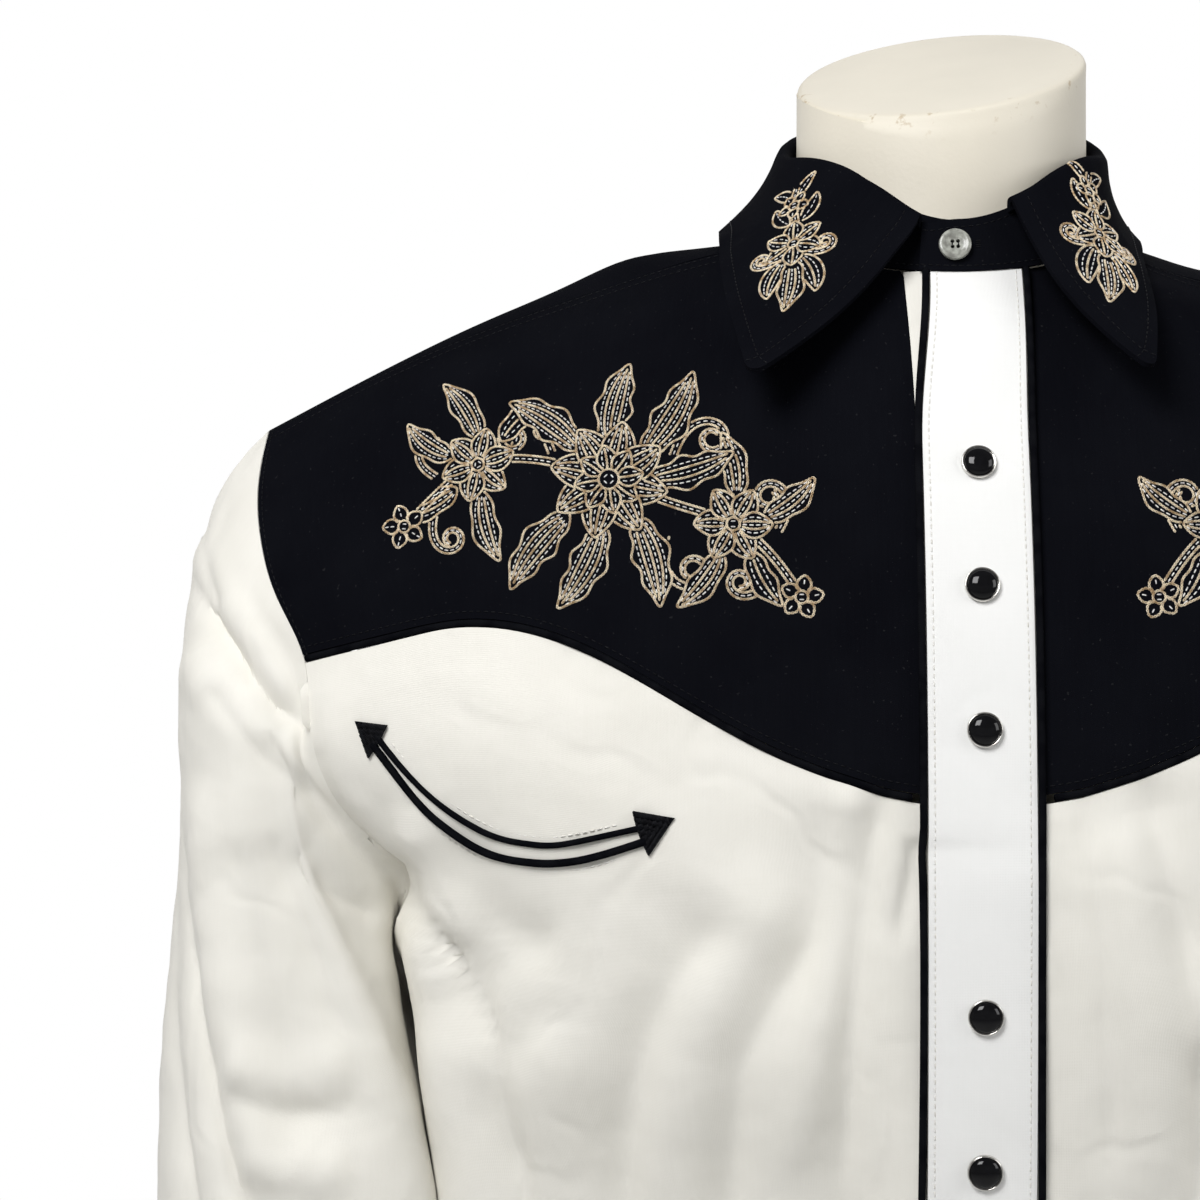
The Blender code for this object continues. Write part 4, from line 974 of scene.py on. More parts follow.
@dataclass
class Body:
    """The surface that fronts, back and yokes lie on, and the pieces cut from it."""

    underarm_z: float = 0.748
    chest_z: float = 0.804
    hem_side_z: float = 0.338
    hem_middle_z: dict[bool, float] = field(default_factory=lambda: {False: 0.262, True: 0.246})
    side_y: float = 0.005
    squareness: float = 2.75
    shoulder_seam_angle: float = math.radians(65)
    left_shoulder_drop: float = 0.010
    opening_half_width: float = 0.0188
    opening_half_top: dict[Side, float] = field(
        default_factory=lambda: {Side.RIGHT: 0.0222, Side.LEFT: 0.0206}
    )
    columns: dict[bool, tuple[int, int]] = field(default_factory=lambda: {False: (12, 4), True: (13, 5)})
    skirt_rows: int = 7
    underarm_rows: int = 2
    chest_rows: int = 3
    yoke_rows: int = 6
    skirt_steps: int = 12
    steps: int = 6
    fold_strength: float = 1.9
    piping_r: float = 0.0013
    # how far from the armhole, width, height
    armhole_ridge: Point = (0.010, 0.0065, 0.0026)
    neck_trims: dict[bool, float] = field(default_factory=lambda: {False: 0.0019, True: 0.0030})
    rings: Table = (
        # z, half_width, front, back
        (0.240, 0.2030, 0.1220, 0.1240),
        (0.340, 0.1990, 0.1200, 0.1200),
        (0.460, 0.1900, 0.1180, 0.1140),
        (0.580, 0.1855, 0.1190, 0.1120),
        (0.690, 0.1895, 0.1240, 0.1170),
        (0.757, 0.1990, 0.1270, 0.1215),
        (0.804, 0.2085, 0.1275, 0.1235),
        (0.830, 0.2105, 0.1275, 0.1235),
    )
    armhole_front: Table = (
        # z, x, y; nan is on the body's ring
        (0.7480, math.nan, 0.0050),
        (0.7650, math.nan, -0.0150),
        (0.7850, math.nan, -0.0350),
        (0.8040, math.nan, -0.0520),
        (0.8140, 0.2128, -0.0600),
        (0.8282, 0.2216, -0.0680),
        (0.8425, 0.2276, -0.0740),
        (0.8575, 0.2320, -0.0755),
        (0.8744, 0.2337, -0.0740),
        (0.8825, 0.2352, -0.0710),
        (0.8984, 0.2438, -0.0660),
        (0.9201, 0.2528, -0.0530),
        (0.9426, 0.2573, -0.0345),
        (0.9543, 0.2578, -0.0220),
        (0.9655, 0.2575, -0.0080),
    )
    armhole_back: Table = (
        # z, x, y
        (0.7480, math.nan, 0.0050),
        (0.7650, math.nan, 0.0290),
        (0.7850, math.nan, 0.0490),
        (0.8040, math.nan, 0.0640),
        (0.8220, 0.2150, 0.0760),
        (0.8420, 0.2245, 0.0830),
        (0.8620, 0.2320, 0.0840),
        (0.8800, 0.2375, 0.0795),
        (0.9000, 0.2440, 0.0705),
        (0.9200, 0.2500, 0.0570),
        (0.9400, 0.2545, 0.0380),
        (0.9560, 0.2570, 0.0140),
        (0.9655, 0.2575, -0.0080),
    )
    shoulder_seam: Table = (
        # x, y, z
        (0.0950, -0.0275, 1.0275),
        (0.1300, -0.0240, 1.0170),
        (0.1840, -0.0150, 0.9990),
        (0.2250, -0.0100, 0.9815),
        (0.2575, -0.0080, 0.9655),
    )
    yoke_seam_front: Table = (
        # x, z
        (0.000, 0.8335),
        (0.021, 0.8355),
        (0.048, 0.8425),
        (0.077, 0.8545),
        (0.105, 0.8700),
        (0.128, 0.8827),
        (0.150, 0.8910),
        (0.170, 0.8940),
        (0.190, 0.8915),
        (0.210, 0.8865),
        (0.228, 0.8830),
        (0.240, 0.8790),
    )
    yoke_seam_back: Table = (
        # x, z
        (0.000, 0.8560),
        (0.030, 0.8640),
        (0.060, 0.8760),
        (0.095, 0.8890),
        (0.130, 0.8955),
        (0.165, 0.8950),
        (0.200, 0.8880),
        (0.240, 0.8790),
    )
    front_folds: list[Fold] = field(
        default_factory=lambda: folds(
            (
                # x_high, z_high, x_low, z_low, half_width, height
                (-0.1560, 0.780, -0.1680, 0.450, 0.026, 0.0050),
                (0.0420, 0.840, 0.0600, 0.540, 0.022, 0.0040),
                (0.0900, 0.800, 0.1220, 0.480, 0.026, 0.0045),
                (0.1520, 0.760, 0.1620, 0.440, 0.028, 0.0050),
            )
        )
        + [
            Fold(((-0.0330, 0.846), (-0.0410, 0.790), (-0.0480, 0.690)), 0.0055, -0.0014, power=1.5),
            Fold(
                ((-0.0461, 0.840), (-0.0501, 0.808), (-0.0562, 0.788), (-0.0702, 0.768), (-0.0823, 0.744),
                 (-0.0880, 0.700), (-0.0900, 0.620)),
                0.0120, -0.0034, 0.8, 1.7,
            ),
            Fold(
                ((-0.0800, 0.802), (-0.1044, 0.772), (-0.1165, 0.748), (-0.1245, 0.710), (-0.1260, 0.640)),
                0.0120, -0.0034, 0.8, 1.7,
            ),
            Fold(
                ((-0.1400, 0.768), (-0.1640, 0.740), (-0.1730, 0.700), (-0.1740, 0.640)),
                0.0100, -0.0026, power=1.7,
            ),
            Fold(((-0.1870, 0.778), (-0.1640, 0.786), (-0.1400, 0.782)), 0.0110, -0.0026, power=1.8),
            Fold(((-0.0220, 0.824), (-0.0250, 0.808), (-0.0290, 0.786)), 0.0035, -0.0014, power=1.4),
            Fold(((-0.0640, 0.812), (-0.0900, 0.765), (-0.1040, 0.710), (-0.1080, 0.640)), 0.0150, 0.0022),
            Fold(((-0.0430, 0.850), (-0.0520, 0.780), (-0.0650, 0.700)), 0.0060, 0.0018),
            Fold(
                ((-0.2040, 0.816), (-0.1960, 0.797), (-0.1800, 0.774), (-0.1620, 0.742)),
                0.0065, -0.0034, 0.7, 1.3,
            ),
            Fold(((-0.1980, 0.828), (-0.1840, 0.800), (-0.1640, 0.770)), 0.0080, 0.0026),
            Fold(((-0.1820, 0.770), (-0.1740, 0.735), (-0.1560, 0.690)), 0.0070, -0.0020, power=1.5),
            Fold(((0.0330, 0.846), (0.0380, 0.790), (0.0440, 0.700)), 0.0060, -0.0018, power=1.5),
            Fold(((0.0520, 0.850), (0.0680, 0.780), (0.0860, 0.690)), 0.0080, -0.0022, power=1.5),
            Fold(((0.0840, 0.850), (0.1120, 0.780), (0.1320, 0.700)), 0.0100, -0.0022, power=1.6),
            Fold(((0.2040, 0.820), (0.1900, 0.790), (0.1660, 0.752)), 0.0070, -0.0030, 1.4, 1.3),
            Fold(((0.1980, 0.832), (0.1800, 0.802), (0.1560, 0.772)), 0.0080, 0.0024),
            *(
                Fold(
                    ((s * 0.2040, 0.806), (s * 0.1950, 0.780), (s * 0.1885, 0.745), (s * 0.1850, 0.700),
                     (s * 0.1820, 0.640), (s * 0.1800, 0.560)),
                    0.0160, 0.0062, begin=0.12, end=0.45,
                )
                for s in (-1, 1)
            ),
            Fold(((-0.1750, 0.685), (-0.1000, 0.680), (-0.0150, 0.685)), 0.0520, -0.0070),
            Fold(((0.1750, 0.685), (0.1000, 0.680), (0.0150, 0.685)), 0.0520, -0.0055),
            Fold(((-0.1720, 0.790), (-0.1640, 0.735), (-0.1560, 0.660)), 0.0060, -0.0022, power=1.4),
            Fold(((0.1640, 0.780), (0.1560, 0.720), (0.1500, 0.640)), 0.0070, -0.0024, power=1.4),
            Fold(((0.0700, 0.760), (0.0740, 0.690), (0.0760, 0.590)), 0.0080, -0.0024, power=1.5),
        ]
    )
    back_folds: list[Fold] = field(
        default_factory=lambda: folds(
            (
                # x_high, z_high, x_low, z_low, half_width, height
                (-0.1500, 0.870, -0.1180, 0.480, 0.030, 0.0050),
                (0.1550, 0.860, 0.1260, 0.460, 0.030, 0.0045),
                (-0.0450, 0.820, -0.0620, 0.400, 0.034, 0.0040),
                (0.0500, 0.830, 0.0560, 0.420, 0.034, 0.0040),
            )
        )
    )
    fronts: dict[Side, Sheet] = field(default_factory=dict)
    back: Sheet | None = None

    @property
    def underarm_row(self) -> int:
        """The fine row at the underarm."""
        return self.skirt_rows * self.skirt_steps

    @property
    def yoke_row(self) -> int:
        """The fine row at the yoke seam."""
        return self.underarm_row + (self.underarm_rows + self.chest_rows) * self.steps

    def ring(self, z: float, back: bool) -> Array:
        """The plan of a ring from its middle to the side seam, as many (x, y) points."""
        half = through(self.rings, z, 1)
        depth = through(self.rings, z, 3 if back else 2)
        turn = np.linspace(0, math.pi / 2, 97)
        power = 2 / self.squareness
        reach = depth - self.side_y if back else -(depth + self.side_y)
        return np.stack([half * np.sin(turn) ** power, self.side_y + reach * np.cos(turn) ** power], axis=1)

    def half_width_at(self, y: float, z: float) -> float:
        """Half the body's width at this depth, below the chest."""
        ring = self.ring(z, y > self.side_y)
        order = np.argsort(ring[:, 1])
        return float(np.interp(y, ring[order, 1], ring[order, 0], left=0.0, right=0.0))

    def opening_half(self, z: float, side: Side) -> float:
        """From the middle of the front to the front panel's edge."""
        wider = self.opening_half_top[side] - self.opening_half_width
        return self.opening_half_width + wider * float(ease(z, *TOP_TAPER))

    def ring_row(self, heights: Array, shares: Array, back: bool, side: Side) -> Array:
        """A row below the chest.

        Args:
            heights: The height of each of its points.
            shares: How far each lies on the way to the side or the armhole.
            back: Whether it is the back's.
            side: The half it belongs to.

        Returns:
            Its points.
        """
        row = []
        for z, share in zip(heights, shares):
            ring = self.ring(z, back)
            if z > self.underarm_z:
                table = self.armhole_back if back else self.armhole_front
                edge_y = float(through(tuple((r[0], r[2]) for r in table), z, 1))
                keep = ring[:, 1] > edge_y if back else ring[:, 1] < edge_y
                last = int(keep.sum())
                t = (edge_y - ring[last - 1, 1]) / (ring[last, 1] - ring[last - 1, 1])
                ring = np.vstack([ring[:last], ring[last - 1] + t * (ring[last] - ring[last - 1])])
            length = np.linalg.norm(np.diff(ring, axis=0), axis=1).sum()
            start = 0.0 if back else self.opening_half(z, side) / length
            x, y = along(np.column_stack([ring, np.zeros(len(ring))]), start + share * (1 - start))[:2]
            row.append((x, y, z))
        return np.array(row)

    def shoulder_drop(self, x: float, side: Side) -> float:
        """How far the wearer's left shoulder lies below the right one, x out from the middle."""
        if side is Side.RIGHT:
            return 0.0
        return self.left_shoulder_drop * float(ease(x, 0.03, 0.09) * (1 - ease(x, 0.14, 0.25)))

    def top_edge(self, back: bool, side: Side) -> Array:
        """The upper ends of the columns: along the neckline, then along the shoulder seam."""
        columns, neckline = self.columns[back]
        centre = side.value * NECK_CENTRE_X
        if back:
            start = math.pi - math.asin(-centre / NECKLINE.half_width)
        else:
            start = math.asin((self.opening_half_top[side] - centre) / NECKLINE.half_width)
        angles = np.linspace(start, self.shoulder_seam_angle, neckline + 1)
        points = [NECKLINE.point(a, centre) for a in angles]
        seam = (tuple(points[-1]), *self.shoulder_seam)
        for x in np.linspace(seam[0][0], seam[-1][0], columns - neckline + 1)[1:]:
            points.append(np.array([x, through(seam, x, 1), through(seam, x, 2)]))
        return np.array([p - np.array([0.0, 0.0, self.shoulder_drop(p[0], side)]) for p in points])

    @staticmethod
    def arch(bottom: Array, top: Array, sweep: float, turn: float) -> Array:
        """A point of a column above the chest: upright at the bottom, leaning over towards the top."""
        h = (1 - math.cos(turn)) / (1 - math.cos(sweep))
        v = math.sin(turn) / math.sin(sweep)
        return bottom + (top - bottom) * np.array([h, h, v])

    def half(self, back: bool, side: Side) -> Array:
        """Half the front or the back.

        Args:
            back: Whether it is the back's.
            side: The half.

        Returns:
            Coarse rows of points, from the hem to the shoulder.
        """
        columns, neckline = self.columns[back]
        split = 0.58 if back else 0.27
        shares = np.concatenate(
            [np.linspace(0, split, neckline + 1), np.linspace(split, 1, columns - neckline + 1)[1:]]
        )
        middle = self.hem_middle_z[back]
        hem = middle + (self.hem_side_z - middle) * ease(shares, 0.35, 1.0)
        rows = [
            self.ring_row(hem + (self.underarm_z - hem) * (i / self.skirt_rows), shares, back, side)
            for i in range(self.skirt_rows)
        ]
        for z in np.linspace(self.underarm_z, self.chest_z, self.underarm_rows + 1):
            rows.append(self.ring_row(np.full(len(shares), z), shares, back, side))
        chest, top = rows[-1], self.top_edge(back, side)
        sweeps = (62, 98, 104, 94) if back else (58, 76, 77, 82)
        sweep = np.radians(np.interp(np.arange(columns + 1), [0, neckline, neckline + 2, columns], sweeps))
        table = self.armhole_back if back else self.armhole_front
        armhole = ((chest[-1][2], chest[-1][0], chest[-1][1]), *(row for row in table if row[1] == row[1]))
        seam_table = self.yoke_seam_back if back else self.yoke_seam_front

        def point(c: int, turn: float) -> Array:
            """A point of column c; the outer columns are drawn out to the armhole."""
            p = self.arch(chest[c], top[c], sweep[c], turn)
            edge = self.arch(chest[-1], top[-1], sweep[-1], turn / sweep[c] * sweep[-1])
            off = [through(armhole, edge[2], k) - edge[k - 1] for k in (1, 2)]
            return p + shares[c] ** 3 * np.array([off[0], off[1], 0.0])

        seam = []
        for c in range(columns + 1):
            low, high = 0.0, sweep[c]
            for _ in range(30):
                turn = (low + high) / 2
                p = point(c, turn)
                low, high = (turn, high) if p[2] < through(seam_table, p[0], 1) else (low, turn)
            seam.append(low)
        for i in range(1, self.chest_rows + 1):
            rows.append(np.array([point(c, seam[c] * i / self.chest_rows) for c in range(columns + 1)]))
        for i in range(1, self.yoke_rows + 1):
            turns = [seam[c] + (sweep[c] - seam[c]) * i / self.yoke_rows for c in range(columns + 1)]
            rows.append(np.array([point(c, turn) for c, turn in enumerate(turns)]))
        return np.array(rows) * side.mirror

    def armhole_roll(self, grid: Array, normals: Array) -> Array:
        """A front with a soft roll beside its armhole, between the underarm and the yoke."""
        steps = np.linalg.norm(np.diff(grid, axis=1), axis=2)[:, ::-1]
        reach = np.concatenate([np.zeros((len(grid), 1)), np.cumsum(steps, axis=1)], axis=1)[:, ::-1]
        rows = np.arange(len(grid))
        ends = ease(rows, self.underarm_row, self.underarm_row + 8)
        ends *= 1 - ease(rows, self.yoke_row - 7, self.yoke_row)
        return grid + normals * (rolled(reach, *self.armhole_ridge) * ends[:, None])[..., None]

    def lay_out(self) -> None:
        """Works out the fronts and the back as fine sheets, with normals shared along their seams."""
        halves = {(back, side): self.half(back, side) for back in (False, True) for side in Side}
        knots = lengths_along(halves[False, Side.LEFT][:, -1])
        row_steps = [self.skirt_steps] * self.skirt_rows
        row_steps += [self.steps] * (self.underarm_rows + self.chest_rows + self.yoke_rows)
        for side in Side:
            fine = refined(halves[False, side], knots, row_steps, self.steps)
            fine = folded(fine, grid_normals(fine, side.value), self.front_folds, -1, 0.0, self.fold_strength)
            fine = self.armhole_roll(fine, grid_normals(fine, side.value))
            self.fronts[side] = Sheet(fine, grid_normals(fine, side.value))
            edge = self.fronts[side].normals
            edge[:, 0, 0] = 0.0
            edge[:, 0] = unit(edge[:, 0])
        whole = np.concatenate([halves[True, Side.RIGHT][:, :0:-1], halves[True, Side.LEFT]], axis=1)
        fine = refined(whole, knots, row_steps, self.steps)
        fine = folded(fine, grid_normals(fine, -1), self.back_folds, 1)
        self.back = Sheet(fine, grid_normals(fine, -1))
        last = fine.shape[1] - 1
        shoulder = (self.columns[False][0] - self.columns[False][1]) * self.steps
        for side in Side:
            front, column = self.fronts[side].normals, (0 if side is Side.RIGHT else last)
            skirt = slice(0, self.underarm_row + 1)
            shared = unit(front[skirt, -1] + self.back.normals[skirt, column])
            front[skirt, -1], self.back.normals[skirt, column] = shared, shared
            along_back = slice(0, shoulder + 1) if side is Side.RIGHT else slice(last - shoulder, last + 1)
            theirs = self.back.normals[-1, along_back]
            theirs = theirs[::-1] if side is Side.RIGHT else theirs
            shared = unit(front[-1, -shoulder - 1 :] + theirs)
            front[-1, -shoulder - 1 :] = shared
            self.back.normals[-1, along_back] = shared[::-1] if side is Side.RIGHT else shared

    def off_neck(self, edge: Array, normals: Array, columns: range, amount: float) -> None:
        """Moves the part of a yoke's upper edge along the neckline away from the band."""
        ahead = np.gradient(edge.copy(), axis=0)
        for c in columns:
            out = np.array([ahead[c, 1], -ahead[c, 0], 0.0])
            out *= math.copysign(1.0, out[:2] @ edge[c, :2])
            out -= (out @ normals[c]) * normals[c]
            edge[c] += unit(out) * amount

    def build(self) -> None:
        """Makes the panels and yokes."""
        seam_trim = self.piping_r + GAP
        sides = {"first_column": GAP / 2, "last_column": GAP / 2}
        for side in Side:
            sheet = self.fronts[side]
            panel = sheet.part(slice(0, self.yoke_row + 1)).trimmed(last_row=seam_trim, **sides)
            panel = panel.crumpled(0.0011, 0.036, 3.0 + side.value).crumpled(0.0004, 0.013, 6.0 + side.value)
            CUTS[f"front_{side.label}"].dress(panel, CLOTH, WHITE, "white_shirting")
            yoke = sheet.part(slice(self.yoke_row, None))
            inner = self.columns[False][1] * self.steps
            self.off_neck(yoke.points[-1], yoke.normals[-1], range(inner + 1), self.neck_trims[False])
            yoke = yoke.trimmed(first_row=seam_trim, last_row=GAP / 2, **sides)
            CUTS[f"front_yoke_{side.label}"].dress(yoke, CLOTH, BLACK, "black_shirting")
        panel = self.back.part(slice(0, self.yoke_row + 1)).trimmed(last_row=seam_trim, **sides)
        CUTS["back_panel"].dress(panel.crumpled(0.0011, 0.036, 9.0), CLOTH, WHITE, "white_shirting")
        yoke = self.back.part(slice(self.yoke_row, None))
        middle, inner = (yoke.points.shape[1] - 1) // 2, self.columns[True][1] * self.steps
        near_band = range(middle - inner, middle + inner + 1)
        self.off_neck(yoke.points[-1], yoke.normals[-1], near_band, self.neck_trims[True])
        yoke = yoke.trimmed(first_row=seam_trim, last_row=GAP / 2, **sides)
        CUTS["back_yoke"].dress(yoke, CLOTH, BLACK, "black_shirting")

    def pipe(self, clear_x: float = 0.0219, end_gap: float = 0.0010) -> None:
        """Makes the black cord between each panel and its yoke."""
        rise = CLOTH * 0.8
        for side in Side:
            sheet = self.fronts[side]
            line = sheet.points[self.yoke_row] + sheet.normals[self.yoke_row] * rise
            keep = abs(line[:, 0]) > clear_x
            line = line[keep]
            line[-1] += unit(line[-2] - line[-1]) * end_gap
            name = f"yoke_piping_{side.label}"
            new_piece("cord_" + name, tube_mesh(name, line, self.piping_r), [CORD], [name])
        line = self.back.points[self.yoke_row] + self.back.normals[self.yoke_row] * rise
        mesh = tube_mesh("yoke_piping_back", line[1:-1], self.piping_r)
        new_piece("cord_yoke_piping_back", mesh, [CORD], ["yoke_piping_back"])

    def topstitch(self, black: Sewing, white: Sewing) -> None:
        """Sews along the yoke seams, shoulders and hem."""
        for sheet in (*self.fronts.values(), self.back):
            yoke = sheet.part(slice(self.yoke_row, None))
            black.sew(yoke.inset(Edge.FIRST_ROW, 0.0042, CLOTH))
            white.sew(sheet.inset(Edge.FIRST_ROW, 0.0060, CLOTH))
        for side in Side:
            inner = self.columns[False][1] * self.steps
            yoke = self.fronts[side].part(slice(self.yoke_row, None), slice(inner, None))
            for distance in (0.0018, 0.0075):
                black.sew(yoke.inset(Edge.LAST_ROW, distance, CLOTH))
            black.sew(yoke.inset(Edge.LAST_COLUMN, 0.0020, CLOTH))


# ---- the front opening -------------------------------------------------------------------------
@dataclass
class Opening:
    """The under placket, the placket over it with its cords, and the snaps."""

    body: Body
    placket_half: float = 0.0180
    top_narrower: float = 0.0020
    centre_x: float = -0.0004
    top_shift: float = 0.0035
    top_trim: float = 0.0010
    under_trim: float = 0.0024
    crown: float = 0.003
    columns: int = 13
    snap_x: float = 0.0004
    snap_z: tuple[float, ...] = (
        0.9487, 0.9070, 0.8587, 0.7636, 0.7117, 0.6600, 0.6085, 0.5570, 0.5055, 0.4540, 0.4025
    )
    placket: Sheet | None = None

    def build(self) -> None:
        """Makes both plackets and the two cords."""
        right, left = (self.body.fronts[s].points[:, 0] for s in (Side.RIGHT, Side.LEFT))
        shares = np.linspace(0, 1, self.columns)
        crown = self.crown * ease(right[:, 2], *TOP_TAPER)
        under = right[:, None] + (left - right)[:, None] * shares[None, :, None]
        under[:, :, 1] -= crown[:, None] * (1 - (2 * shares - 1) ** 2)[None, :]
        sheet = Sheet(under, grid_normals(under, 1))
        trimmed = sheet.trimmed(last_row=self.under_trim, first_column=GAP / 2, last_column=GAP / 2)
        CUTS["under_placket"].dress(trimmed, CLOTH, WHITE, "white_shirting")
        z = trimmed.points[:, self.columns // 2, 2]
        taper = ease(z, *TOP_TAPER)
        centre = self.centre_x + self.top_shift * taper
        half = self.placket_half - self.top_narrower * taper
        base = trimmed.trimmed(last_row=self.top_trim).lifted(CLOTH + GAP)
        over = np.empty_like(base)
        for r in range(len(base)):
            x = centre[r] + half[r] * (2 * shares - 1)
            over[r] = np.stack([x] + [np.interp(x, base[r, :, 0], base[r, :, k]) for k in (1, 2)], axis=1)
        self.placket = Sheet(over, grid_normals(over, 1)).crumpled(0.0002, 0.018, 5.0)
        # The placket is dressed in the poplin painted lighter to offset its shade: painted light.
        CUTS["placket"].dress(self.placket, CLOTH, PLACKET_PAINTED_LIGHTER, "white_shirting")
        self.pipe(sheet)

    def pipe(self, under: Sheet) -> None:
        """Makes the cord beside each edge of the placket."""
        radius = self.body.piping_r
        trees = [s.tree(CLOTH) for s in (*self.body.fronts.values(), under)]
        for side in Side:
            line = []
            edge = self.placket.points[:, 0 if side is Side.RIGHT else -1]
            for p in edge:
                x = p[0] + side.value * (radius + GAP)
                hits = [t.ray_cast(Vector((x, -1.0, p[2])), Vector((0.0, 1.0, 0.0))) for t in trees]
                nearest = min((h for h in hits if h[0] is not None), key=lambda h: h[0].y)
                normal = nearest[1] if nearest[1].y < 0 else -nearest[1]
                line.append(nearest[0] + normal * (radius + GAP))
            line = np.array(line)
            line[2:-2] = (line[:-4] + line[1:-3] + line[2:-2] + line[3:-1] + line[4:]) / 5
            name = f"placket_piping_{side.label}"
            new_piece("cord_" + name, tube_mesh(name, line, radius), [CORD], [name])

    def topstitch(self, white: Sewing) -> None:
        """Sews beside both edges of the placket."""
        for edge in (Edge.FIRST_COLUMN, Edge.LAST_COLUMN):
            white.sew(self.placket.inset(edge, 0.0022, CLOTH))

    def snap_up(self) -> None:
        """Puts a cap at each snap's place."""
        tree = self.placket.tree(CLOTH)
        for i, z in enumerate(self.snap_z, 1):
            SnapCap().place(f"snap_{i:02d}", *seat(tree, self.snap_x, z, GAP))


@dataclass
class SnapCap:
    """A domed enamel cap in a bright metal rim."""

    steps: int = 48
    # radius, height, from the middle out
    dome: Table = (
        (0.00000, 0.00315),
        (0.00110, 0.00311),
        (0.00220, 0.00296),
        (0.00330, 0.00264),
        (0.00420, 0.00220),
        (0.00480, 0.00168),
        (0.00515, 0.00118),
        (0.00530, 0.00085),
    )
    rim: Table = (
        (0.00530, 0.00085),
        (0.00538, 0.00125),
        (0.00556, 0.00148),
        (0.00578, 0.00142),
        (0.00594, 0.00112),
        (0.00600, 0.00070),
        (0.00600, 0.00000),
        (0.00000, 0.00000),
    )

    def mesh(self, name: str) -> bpy.types.Mesh:
        """The cap about its own Z; the dome is its first material and the rim its second."""
        profile = np.array(self.dome + self.rim[1:])
        rings = turned_rings(profile[1:-1], self.steps)
        vertices = np.vstack([*rings, [[0, 0, profile[0, 1]], [0, 0, 0]]])
        faces = grid_faces(len(rings), self.steps, True)[:, ::-1].tolist()
        top = len(vertices) - 2
        faces += [(top, i, (i + 1) % self.steps) for i in range(self.steps)]
        last = (len(rings) - 1) * self.steps
        faces += [(top + 1, last + (i + 1) % self.steps, last + i) for i in range(self.steps)]
        mesh = mesh_of(name, vertices, faces)
        limit = (len(self.dome) - 2) * self.steps
        for polygon in mesh.polygons:
            ring = min(polygon.vertices)
            polygon.material_index = 0 if ring < limit or top in polygon.vertices else 1
        return mesh

    def place(self, node: str, place: Vector, normal: Vector) -> None:
        """Puts a cap on the cloth in the place of a solid."""
        mesh = self.mesh("cap_" + node)
        turn = Vector((0.0, 0.0, 1.0)).rotation_difference(normal)
        mesh.transform(Matrix.Translation(place) @ turn.to_matrix().to_4x4())
        new_piece("cap_" + node, mesh, [ENAMEL, NICKEL], [node])


# ---- the cut of each cloth piece ---------------------------------------------------------------
@dataclass(frozen=True)
class Cut:
    """A cloth piece's solid, and the flat size that its shown part was cut to."""

    node: str
    width: float
    length: float
    area: float
    held: str
    rests_on: tuple[str, ...]

    def dress(self, sheet: Sheet, thickness: float, finish: Finish, slot: str) -> bpy.types.Object:
        """Makes the piece, which stands for the solid."""
        name = "cloth_" + self.node
        obj = new_piece(name, sheet.shell(name, thickness), [finish], [self.node])
        LOG.info("%s: %d faces", name, len(obj.data.polygons))
        return obj


CUTS = {
    cut.node: cut
    for cut in (
        Cut("front_right", 0.282, 0.621, 0.1481, "hung", ("form_torso",)),
        Cut("front_left", 0.276, 0.618, 0.1467, "hung", ("form_torso",)),
        Cut("back_panel", 0.590, 0.643, 0.3072, "hung", ("form_torso",)),
        Cut("front_yoke_right", 0.269, 0.210, 0.0393, "hung", ("form_torso",)),
        Cut("front_yoke_left", 0.267, 0.208, 0.0383, "hung", ("form_torso",)),
        Cut("back_yoke", 0.702, 0.228, 0.1017, "hung", ("form_torso",)),
        Cut("under_placket", 0.044, 0.770, 0.0290, "hung", ("form_torso",)),
        Cut("placket", 0.036, 0.770, 0.0275, "hung", ("form_torso",)),
        Cut("sleeve_right", 0.610, 0.614, 0.2132, "hung", ("form_torso",)),
        Cut("sleeve_left", 0.610, 0.613, 0.2139, "hung", ("form_torso",)),
        Cut("cuff_right", 0.319, 0.062, 0.0197, "hung", ("form_torso",)),
        Cut("cuff_left", 0.317, 0.062, 0.0196, "hung", ("form_torso",)),
        Cut("collar_stand", 0.460, 0.034, 0.0117, "folded", ("form_torso",)),
        Cut("collar_fall", 0.502, 0.100, 0.0232, "folded", ("collar_stand",)),
    )
}


